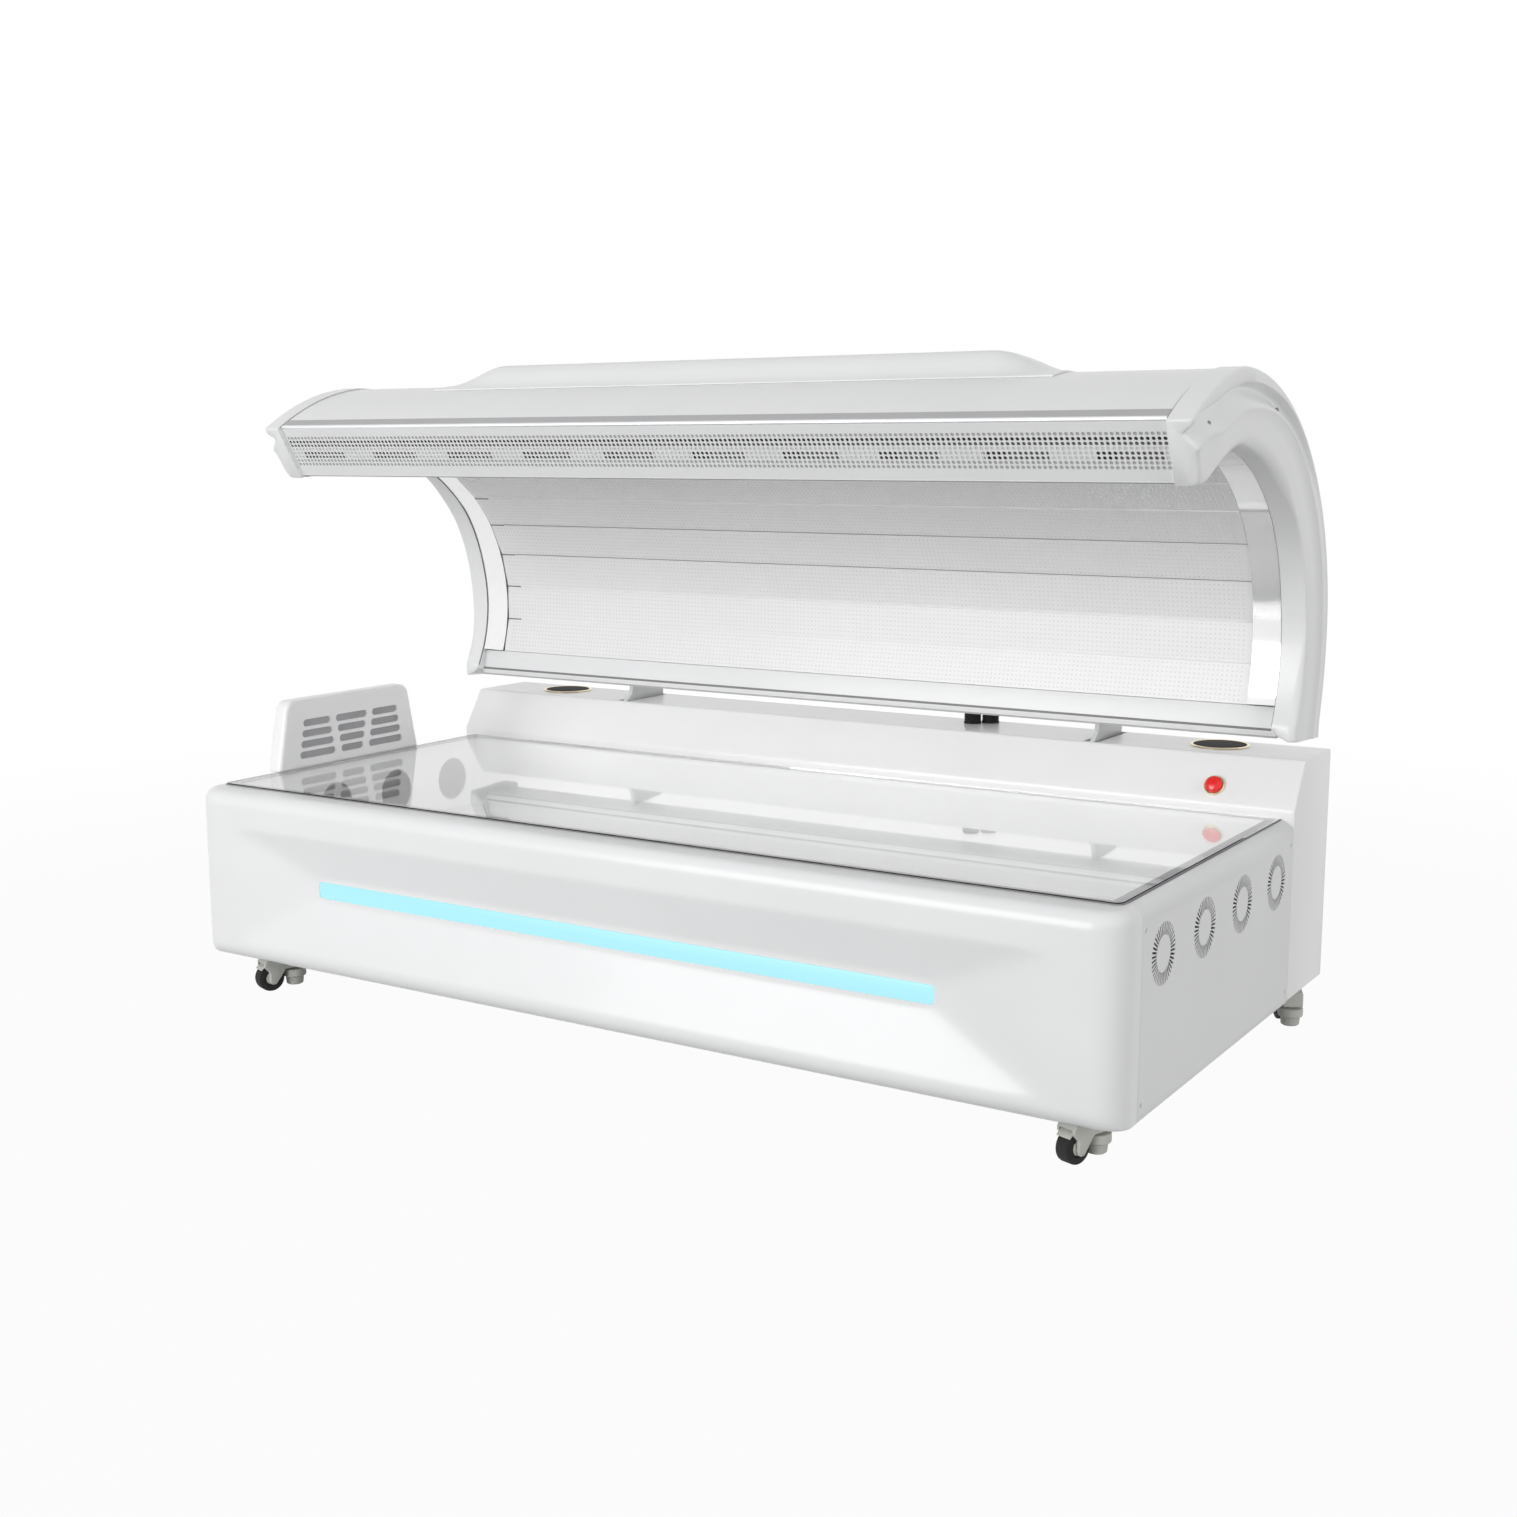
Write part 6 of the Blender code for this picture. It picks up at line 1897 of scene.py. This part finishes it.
@dataclass
class LightBoards:
    """LED boards inside the canopy with their lenses, the polished trims beside them and the rail below."""

    section: CanopySection
    thickness: float = 0.014
    trim_thickness: float = 0.003
    led_pitch: float = 0.010
    led_rows: int = 8
    led_size: float = 0.0032
    led_height: float = 0.0008
    lens_taper: float = 0.6
    lens_lift: float = 0.4
    end_margin: float = 0.03
    row_margin: float = 0.6
    board_edge: float = 0.0008
    seam_gap: float = 0.045
    seam_probe: float = 0.01
    seam_width: Flat = (-0.0014, 0.0014)
    seam_rise: float = 0.0030
    seam_sunk: float = 0.001
    seam_slope: float = 0.6
    gap_rise: float = 0.0020
    dark_seams: tuple[int, ...] = (3, 4)
    dark_width: Flat = (0.0016, 0.0028)
    dark_rise: float = 0.0012
    trim_rows: int = 72
    trim_columns: int = 6
    trim_gap: float = 0.0011
    trim_flare: float = 0.6
    rail_front_at: float = -0.103
    rail_rear_at: float = 0.010
    rail_bottom_at: float = 0.0465
    rail_height: float = 0.014
    line_proud: float = 0.0004
    line_wall: float = 0.0012

    def build(self) -> None:
        """Build the boards, the trims and the rail."""
        self._boards()
        self._seams()
        self._trims()
        self._rail()

    @property
    def inner_end(self) -> float:
        """X where the boards end and the trims start."""
        return self.section.seam - self.section.trim_width

    def _lens(self) -> Piece:
        """One field of lenses, as flat as a board: local X along the bed, local Y across the board.

        Returns:
            The field, centred on its origin.
        """
        lens = box_at("lens", (self.led_size, self.led_size, self.led_height), Matrix.Identity(4))
        for vertex in lens.data.vertices:
            if vertex.co.z > 0:
                vertex.co.x *= self.lens_taper
                vertex.co.y *= self.lens_taper
        columns = int((2 * self.inner_end - self.end_margin) / self.led_pitch)
        width = self._board_width()
        step = width / (self.led_rows + self.row_margin)
        corner = (-(columns - 1) / 2 * self.led_pitch, -(self.led_rows - 1) / 2 * step, 0)
        lens.data.transform(Matrix.Translation(corner))
        repeated(lens, (columns, self.led_rows), ((self.led_pitch, 0, 0), (0, step, 0)))
        LOG.info("lens field: %d columns on boards of %.3f m", columns, width)
        return lens

    def _board_width(self) -> float:
        """Width of one board across the canopy."""
        start, end = self.section.inner(0.0, 0.0, self.section.led_step, 1)
        return (Vector(end) - Vector(start)).length

    def _boards(self) -> None:
        """Five panels of two boards, each with its lenses."""
        section = self.section
        field = self._lens()
        half = self.inner_end - FIT
        slack = FIT / 2 / section.led_rise
        for panel in range(section.boards // 2):
            node = f"led_panel_{panel + 1}"
            start = section.led_start + 2 * panel * section.led_step
            path = section.inner(0.0, start + slack, start + 2 * section.led_step - slack, 2)
            boards = slab(f"{node}_boards", strip(path, -self.thickness), Axis.X, -half, half)
            bevel(boards, self.board_edge, 2, 15.0)
            dress(boards, LED_BOARD, "canopy", [node], 10.0)
            lenses = []
            for low, high in zip(path, path[1:]):
                low, high = Vector((0, *low)), Vector((0, *high))
                across = (high - low).normalized()
                along = Vector((1, 0, 0))
                inward = along.cross(across)
                middle = (low + high) / 2 + inward * self.led_height * self.lens_lift
                turn = Matrix((along, across, inward)).transposed().to_4x4()
                lenses.append(copied(field, "lenses", Matrix.Translation(middle) @ turn))
            whole = joined(f"{node}_lenses", lenses)
            dress(whole, LED_LENS, "canopy")
        bpy.data.objects.remove(field, do_unlink=True)

    def _ridge(self, number: int, across: Flat, rise: float) -> list[Flat]:
        """Section of a raised edge where two boards meet.

        Args:
            number: Number of the seam.
            across: Its edges across the seam.
            rise: Its height.

        Returns:
            The corners.
        """
        section = self.section
        angle = section.led_start + number * section.led_step
        ends = section.inner(0.0, angle - self.seam_probe, angle + self.seam_probe, 2)
        before, middle, after = (Vector(end) for end in ends)
        run = (after - before).normalized()
        inward = Vector((-run.y, run.x))
        low, high = (middle + run * edge for edge in across)
        foot, crest = inward * self.seam_sunk, inward * rise
        corners = (low - foot, high - foot, high + crest, low + crest * self.seam_slope)
        return [tuple(corner) for corner in corners]

    def _seams(self) -> None:
        """Raised edges where two boards meet, paler than the boards to paint their highlight, each with a
        short dark strip of painted shadow at its left-hand end.
        """
        half = self.inner_end - FIT
        start = self.seam_gap - half
        edges, gaps = [], []
        for number in range(1, self.section.boards):
            edge = self._ridge(number, self.seam_width, self.seam_rise)
            edges.append(slab("edge", edge, Axis.X, start, half))
            gap = self._ridge(number, self.seam_width, self.gap_rise)
            gaps.append(slab("gap", gap, Axis.X, -half, start - FIT))
            if number in self.dark_seams:
                line = self._ridge(number, self.dark_width, self.dark_rise)
                gaps.append(slab("gap", line, Axis.X, start, half))
        # Pale ridges paint highlights; dark strips paint the shadow in the gaps.
        for name, pieces, width, finish in (("led_board_highlight_ridges", edges, 0.0004, LED_EDGE_HIGHLIGHT),
                                            ("led_board_gap_shade", gaps, 0.0003, GAP_SHADE)):
            whole = joined(name, pieces)
            bevel(whole, width, 2)
            dress(whole, finish, "canopy")

    def _trims(self) -> None:
        """Polished strips between the boards and the end caps, flared to meet the caps' lips."""
        section = self.section
        cap = EndCap(section)
        rows, columns, flare = self.trim_rows, self.trim_columns, self.trim_flare
        span = section.led_end - section.led_start
        inner, outer = self.inner_end + FIT, section.seam - cap.lip_inset - self.trim_gap
        for side in Side:
            def place(column: int, row: int, sign: int = side.value) -> Vector:
                """Place of a corner of the strip.

                Args:
                    column: Number of the column.
                    row: Number of the row.
                    sign: Sign of the strip's end of the bed.

                Returns:
                    The place.
                """
                share = column / columns if sign > 0 else 1 - column / columns
                angle = section.led_start + span * row / rows
                lip = max(cap.lip_depth(math.degrees(angle)) - self.trim_thickness, 0.0)
                y, z = section.inner(-lip * (flare + (1 - flare) * share), angle, angle, 1)[0]
                return Vector((sign * (inner + (outer - inner) * share), y, z))

            piece = sheet(f"{side.word}_trim_polished", columns, rows, place, self.trim_thickness)
            dress(piece, TRIM_METAL, "canopy", [f"{side.word}_trim_strip"], 30.0)

    def _rail(self) -> None:
        """Rail along the canopy's low edge, with dark strips that paint the shade of a groove below its lip
        and the shadow at its foot.
        """
        section, bed = self.section, self.section.bed
        inner = section.inner(0.0, section.led_start, section.led_start, 1)[0]
        outer = section.inner(self.thickness, section.led_start, section.led_start, 1)[0]
        heel_y, heel_z = section.shell()[0]
        front, rear = bed.hinge.y + self.rail_front_at, bed.hinge.y + self.rail_rear_at
        bottom = bed.deck + self.rail_bottom_at
        step = bottom + self.rail_height
        outline = [(front, bottom), (rear, bottom), (heel_y, heel_z - FIT), (heel_y - 2 * SKIN, heel_z - FIT),
                   (rear - SKIN, step), (outer[0] + SKIN, step), (outer[0], outer[1] - FIT),
                   (inner[0], inner[1] - FIT), (front - SKIN, step)]
        half = section.seam - FIT
        piece = slab("rail_moulding", outline, Axis.X, -half, half)
        bevel(piece, 0.0015, 3, 25.0)
        dress(piece, GRILLE_WHITE, "canopy", ["lower_rail"], 30.0)
        low = Vector((front - SKIN, step))
        run = Vector(inner) - low
        foot = [(front, bottom + 0.0006), (front - 0.3 * SKIN, bottom + 0.3 * (step - bottom))]
        groove = [tuple(low + run * share) for share in (0.02, 0.12)]
        # Dark strips: painted shade of the groove and painted shadow at the foot.
        for name, face, finish in (("rail_groove_shade", groove, GAP_SHADE), ("rail_foot_shade", foot, PAINTED_SHADE_GREY)):
            band = strip(offset_path(face, self.line_proud), -self.line_wall)
            line = slab(name, band, Axis.X, -half, half)
            bevel(line, 0.0003, 2)
            dress(line, finish, "canopy")


@dataclass
class Arms:
    """Plates that carry the canopy."""

    bed: BedSizes
    rail_bottom_at: float = 0.0465
    thickness: float = 0.010
    lug_reach: float = 0.055

    def build(self) -> None:
        """Build both arms."""
        y, z, deck = self.bed.hinge.y, self.bed.hinge.z, self.bed.deck
        top = deck + self.rail_bottom_at - FIT
        lug = y - self.lug_reach
        outline = [(y - 0.0225, top), (y - 0.0225, z + 0.0537), (y - 0.029, z + 0.036), (y - 0.0505, deck),
                   (lug - 0.004, z + 0.010), (lug - 0.004, z - 0.008), (y, z - 0.012), (y + 0.040, z - 0.010),
                   (y + 0.1085, deck - 0.006), (y + 0.1085, top - 0.018), (y + 0.095, top - 0.006),
                   (y + 0.018, top)]
        bore = [(0.0137, -0.02), (0.0137, 0.02)]
        bush = [(0.0084, -0.0155), (0.0136, -0.0155), (0.0140, -0.0150), (0.0140, 0.0150), (0.0136, 0.0155),
                (0.0084, 0.0155)]
        peg = [(0.0110, -0.0100), (0.0120, -0.0092), (0.0120, 0.0092), (0.0110, 0.0100)]
        turn = Matrix.Rotation(math.pi / 2, 4, "Y")
        for side in Side:
            x = middle_of(f"{side.word}_hinge_pin")[0]
            pivot = Matrix.Translation((x, y, z)) @ turn
            plate = slab("plate", outline, Axis.X, x - self.thickness / 2, x + self.thickness / 2)
            carve(plate, turned("bore", bore, 32, pivot))
            bevel(plate, 0.0012, 2)
            boss = turned("boss", bush, 40, pivot)
            stud = turned("stud", peg, 32, Matrix.Translation((x, lug, z)) @ turn)
            whole = joined(f"{side.word}_arm_plate", [plate, boss, stud])
            dress(whole, WHITE_STEEL, "canopy", [f"{side.word}_hinge_arm"])


@dataclass
class Casters:
    """Four levelling casters, modelled once and copied to their places."""

    bed: BedSizes
    joints: Sequence[dict]
    wheel_radius: float = 0.031
    wheel_width: float = 0.029
    trail: float = 0.026
    housing_width: float = 0.043
    turntable: float = 0.032
    foot_offset: float = 0.035
    foot_lift: float = 0.006
    ring_rise: float = 0.025
    side_gap: float = 0.0012
    wheel_room: float = 0.005
    fender_span: Flat = (math.radians(75), math.radians(140))
    fender_reach: Flat = (0.0012, 0.0036)
    fender_steps: int = 14

    def build(self) -> None:
        """Build one caster's pieces and copy them to each corner."""
        patterns = {"housing": (self._housing(), CASTER_WHITE), "wheel": (self._wheel(), BLACK_RUBBER),
                    "foot": (self._foot(), CASTER_WHITE)}
        hubs = self._hubs()
        for corner in ("front_left", "front_right", "rear_left", "rear_right"):
            place = self._place(corner)
            for word, (pattern, finish) in patterns.items():
                node = f"{corner}_caster_{word}"
                dress(copied(pattern, f"{node}_moulding", place), finish, node, [node])
            disc = copied(hubs, f"{corner}_caster_hubs", place)
            dress(disc, CASTER_WHITE, f"{corner}_caster_wheel")
        for pattern, _ in patterns.values():
            bpy.data.objects.remove(pattern, do_unlink=True)
        bpy.data.objects.remove(hubs, do_unlink=True)

    def _place(self, corner: str) -> Matrix:
        """Place and turn of a caster, from its joints.

        Args:
            corner: Corner of the bed.

        Returns:
            The matrix from the caster's own frame.
        """
        found = {joint["name"]: joint for joint in self.joints}
        swivel, roll = found[f"{corner}_swivel"], found[f"{corner}_wheel_roll"]
        turn = math.atan2(roll["axis"][1], roll["axis"][0])
        x, y, _ = swivel["pos_m"]
        return Matrix.Translation((x, y, 0)) @ Matrix.Rotation(turn, 4, "Z")

    def _housing(self) -> Piece:
        """Fork-shaped housing with rounded edges and a turntable.

        Returns:
            The housing, in the caster's own frame.
        """
        top = self.bed.bottom - FIT
        half = self.housing_width / 2
        ceiling = 2 * self.wheel_radius + self.wheel_room
        shoulder = top - self.turntable / 3
        rear = self.foot_offset + 0.020
        trail = self.trail
        outline = [(-trail - 0.020, ceiling - 0.008), (-trail - 0.008, 0.046), (-trail - 0.008, 0.022),
                   (-trail - 0.002, 0.016), (-trail + 0.008, 0.016), (-trail + 0.020, 0.032),
                   (0.006, 0.048), (rear, 0.048), (rear, shoulder - 0.012), (self.turntable, shoulder),
                   (-self.turntable, shoulder), (-trail - 0.020, ceiling)]
        piece = slab("housing", outline, Axis.X, -half, half)
        bevel(piece, 0.0035, 4)
        gap = self.wheel_width / 2 + self.side_gap
        ahead, behind = -trail - 2 * self.wheel_radius, self.wheel_radius + self.wheel_room - trail
        slot = [(ahead, -0.001), (behind, -0.001), (behind, ceiling), (ahead, ceiling)]
        carve(piece, slab("slot", slot, Axis.X, -gap, gap))
        profile = [(self.turntable - 0.002, shoulder - 0.002), (self.turntable, shoulder),
                   (self.turntable, top - 0.001), (self.turntable - 0.001, top)]
        plate = turned("turntable", profile, 48, Matrix.Identity(4))
        near, far = (self.wheel_radius + reach for reach in self.fender_reach)
        middle = (-trail, self._axle().translation.z)
        start, end = self.fender_span
        fender = arc(middle, (far, far), start, end, self.fender_steps)
        fender += arc(middle, (near, near), end, start, self.fender_steps)
        guard = slab("fender", fender, Axis.X, -gap, gap)
        bevel(guard, 0.0008, 2)
        return joined("housing", [piece, plate, guard])

    def _wheel(self) -> Piece:
        """Wheel with a rounded tread and a groove round each face.

        Returns:
            The wheel, in the caster's own frame.
        """
        half, radius = self.wheel_width / 2, self.wheel_radius
        face = [(0.0145, half - 0.0022), (0.0165, half - 0.0022), (0.0180, half), (radius - 0.004, half),
                (radius - 0.0012, half - 0.0015), (radius - 0.0004, half - 0.0045)]
        profile = [(reach, -along) for reach, along in face] + face[::-1]
        return turned("wheel", profile, 48, self._axle())

    def _hubs(self) -> Piece:
        """Pale hub discs on both faces of a wheel.

        Returns:
            The hubs, in the caster's own frame.
        """
        half = self.wheel_width / 2
        profile = [(0.0140, half - 0.0024), (0.0138, half - 0.0008), (0.0120, half - 0.0004),
                   (0.0060, half - 0.0004)]
        right = turned("hub", profile, 32, self._axle())
        left = turned("hub", profile, 32, self._axle() @ Matrix.Rotation(math.pi, 4, "X"))
        return joined("hubs", [right, left])

    def _axle(self) -> Matrix:
        """Place of the wheel's axle, with Z along it."""
        height = self.wheel_radius * math.cos(math.pi / 20)
        return Matrix.Translation((0, -self.trail, height)) @ Matrix.Rotation(math.pi / 2, 4, "Y")

    def _foot(self) -> Piece:
        """Levelling foot: pad, neck, knurled hand ring and screw.

        Returns:
            The foot, in the caster's own frame.
        """
        lift = self.foot_lift
        ring = lift + self.ring_rise
        place = Matrix.Translation((0, self.foot_offset, 0))
        profile = [(0.0165, lift), (0.0190, lift + 0.0020), (0.0205, ring - 0.0085), (0.0215, ring - 0.0065),
                   (0.0250, ring - 0.0050), (0.0262, ring - 0.0036), (0.0262, ring + 0.0110),
                   (0.0250, ring + 0.0122), (0.0065, ring + 0.0122), (0.0060, ring + 0.0127),
                   (0.0060, ring + 0.0435), (0.0055, ring + 0.0440)]
        return turned("foot", profile, 40, place)


@dataclass
class Studio:
    """Floor, light and camera."""

    camera_place: Place = (2.195, -3.3775, 1.230)
    camera_ahead: Place = (-0.5318, 0.8307, -0.1646)
    camera_right: Place = (0.8421, 0.5393, 0.0)
    camera_roll: float = math.radians(-0.162)
    camera_lens: float = 44.61
    floor_size: float = 60.0
    floor_grey: float = 0.34
    ambient: float = 0.435
    fade: Flat = (2.2, 4.5)
    fade_share: Flat = (0.96, 1.0)

    def build(self) -> None:
        """Build the floor, the world, the lamps and the camera."""
        self._floor()
        self._world()
        self._lamp("key", (-1.8, -6.8, 1.9), (0.0, 0.0, 0.75), 4.8, 326.0)
        self._lamp("fill", (11.0, -2.8, 2.4), (0.0, 0.0, 0.6), 5.5, 365.0, False)
        self._lamp("back", (-2.5, 7.0, 2.6), (0.0, 0.0, 0.8), 4.0, 110.0, False)
        self._camera()

    def _floor(self) -> None:
        """Plain white floor that keeps the bed's shadow."""
        clear_selection()
        bpy.ops.mesh.primitive_plane_add(size=self.floor_size)
        floor = started("studio_floor")
        made = bpy.data.materials.new("studio_floor_white")
        made.use_nodes = True
        tree = made.node_tree
        grey = self.floor_grey
        shader = set_inputs(tree.nodes["Principled BSDF"], {
            "Base Color": (grey, grey, grey, 1.0), "Roughness": 0.9, "Specular IOR Level": 0.0})
        white = set_inputs(tree.nodes.new("ShaderNodeEmission"), {"Color": PURE_WHITE, "Strength": 1.0})
        place = tree.nodes.new("ShaderNodeTexCoord").outputs["Object"]
        reach = tree.nodes.new("ShaderNodeVectorMath")
        reach.operation = "LENGTH"
        tree.links.new(place, reach.inputs[0])
        fade = set_inputs(tree.nodes.new("ShaderNodeMapRange"), {
            "From Min": self.fade[0], "From Max": self.fade[1],
            "To Min": self.fade_share[0], "To Max": self.fade_share[1]})
        tree.links.new(reach.outputs["Value"], fade.inputs["Value"])
        share = tree.nodes.new("ShaderNodeMath")
        share.operation = "MULTIPLY"
        tree.links.new(self._seen(tree), share.inputs[0])
        tree.links.new(fade.outputs["Result"], share.inputs[1])
        show_mix(tree, share.outputs["Value"], shader.outputs["BSDF"], white.outputs["Emission"],
                 "Material Output")
        floor.data.materials.append(made)

    @staticmethod
    def _seen(tree: Tree) -> Socket:
        """Whether a ray comes from the camera, a gloss or a clear sheet.

        Args:
            tree: Node tree to add the test to.

        Returns:
            Socket that is 1 for such a ray.
        """
        path = tree.nodes.new("ShaderNodeLightPath")
        seen = path.outputs["Is Camera Ray"]
        for kind in ("Is Glossy Ray", "Is Transmission Ray"):
            either = tree.nodes.new("ShaderNodeMath")
            either.operation = "MAXIMUM"
            tree.links.new(seen, either.inputs[0])
            tree.links.new(path.outputs[kind], either.inputs[1])
            seen = either.outputs["Value"]
        return seen

    def _world(self) -> None:
        """White background, with a plain level of light from all round."""
        world = bpy.data.worlds.new("studio_world")
        bpy.context.scene.world = world
        world.use_nodes = True
        tree = world.node_tree
        plain = set_inputs(tree.nodes["Background"], {"Color": PURE_WHITE, "Strength": self.ambient})
        white = set_inputs(tree.nodes.new("ShaderNodeBackground"), {"Color": PURE_WHITE, "Strength": 1.0})
        show_mix(tree, self._seen(tree), plain.outputs["Background"], white.outputs["Background"],
                 "World Output")

    @staticmethod
    def _lamp(name: str, place: Sequence[float], target: Sequence[float], size: float, power: float,
              mirrored: bool = True) -> None:
        """Square soft lamp that looks at a target.

        Args:
            name: Name of the lamp.
            place: Where it hangs.
            target: What it looks at.
            size: Its width.
            power: Its power in watts.
            mirrored: Whether gloss and glass show it.
        """
        light = bpy.data.lights.new(name, "AREA")
        light.size = size
        light.energy = power
        lamp = bpy.data.objects.new(name, light)
        lamp.location = place
        lamp.visible_glossy = mirrored
        lamp.visible_transmission = mirrored
        lamp.rotation_euler = (Vector(target) - Vector(place)).to_track_quat("-Z", "Y").to_euler()
        bpy.context.scene.collection.objects.link(lamp)

    def _camera(self) -> None:
        """Camera at the photograph's view."""
        lens = bpy.data.cameras.new("camera")
        lens.sensor_width = 36.0
        lens.lens = self.camera_lens
        camera = bpy.data.objects.new("camera", lens)
        ahead, right = Vector(self.camera_ahead).normalized(), Vector(self.camera_right).normalized()
        up = right.cross(ahead)
        turned_right = right * math.cos(self.camera_roll) + up * math.sin(self.camera_roll)
        turned_up = up * math.cos(self.camera_roll) - right * math.sin(self.camera_roll)
        frame = Matrix((turned_right, turned_up, -ahead)).transposed().to_4x4()
        frame.translation = self.camera_place
        camera.matrix_world = frame
        bpy.context.scene.collection.objects.link(camera)
        bpy.context.scene.camera = camera


KEPT_SOLIDS: dict[Finish, tuple[str, ...]] = {
    # Lighter white: painted light on the tub.
    LIT_TUB_WHITE: ("base_frame",),
    WHITE_STEEL: ("rear_panel",),
    LED_BOARD: ("lower_led_tray",),
    CLEAR: ("bed_top",),
    SEAL_GREY: ("bed_seal",),
    BLACK_PLASTIC: ("power_inlet", "fan_bank", "left_lift_tube", "right_lift_tube", "fan_rotor_1",
                    "fan_rotor_2", "fan_rotor_3", "fan_rotor_4"),
    ZINC: ("power_supply", "left_hinge_bracket", "right_hinge_bracket", "left_hinge_pin", "right_hinge_pin",
           "left_lift_rod", "right_lift_rod"),
}


def main() -> None:
    """Load the solids, build every sub-assembly and set the scene."""
    logging.basicConfig(level=logging.INFO, format="%(name)s: %(message)s")
    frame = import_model()
    bpy.context.scene.view_settings.view_transform = "Standard"
    bed = BedSizes.read(frame["joints"])
    section = CanopySection(bed)
    for finish, nodes in KEPT_SOLIDS.items():
        refinish(nodes, finish, frame["nodes"])
    Fascia(bed).build()
    for side in Side:
        EndPanel(bed, side).build()
    Console(bed).build()
    Hood(bed).build()
    CanopyShell(section).build()
    EndCap(section).build()
    Grille(section).build()
    LightBoards(section).build()
    Arms(bed).build()
    Casters(bed, frame["joints"]).build()
    Studio().build()


if __name__ == "__main__":
    main()
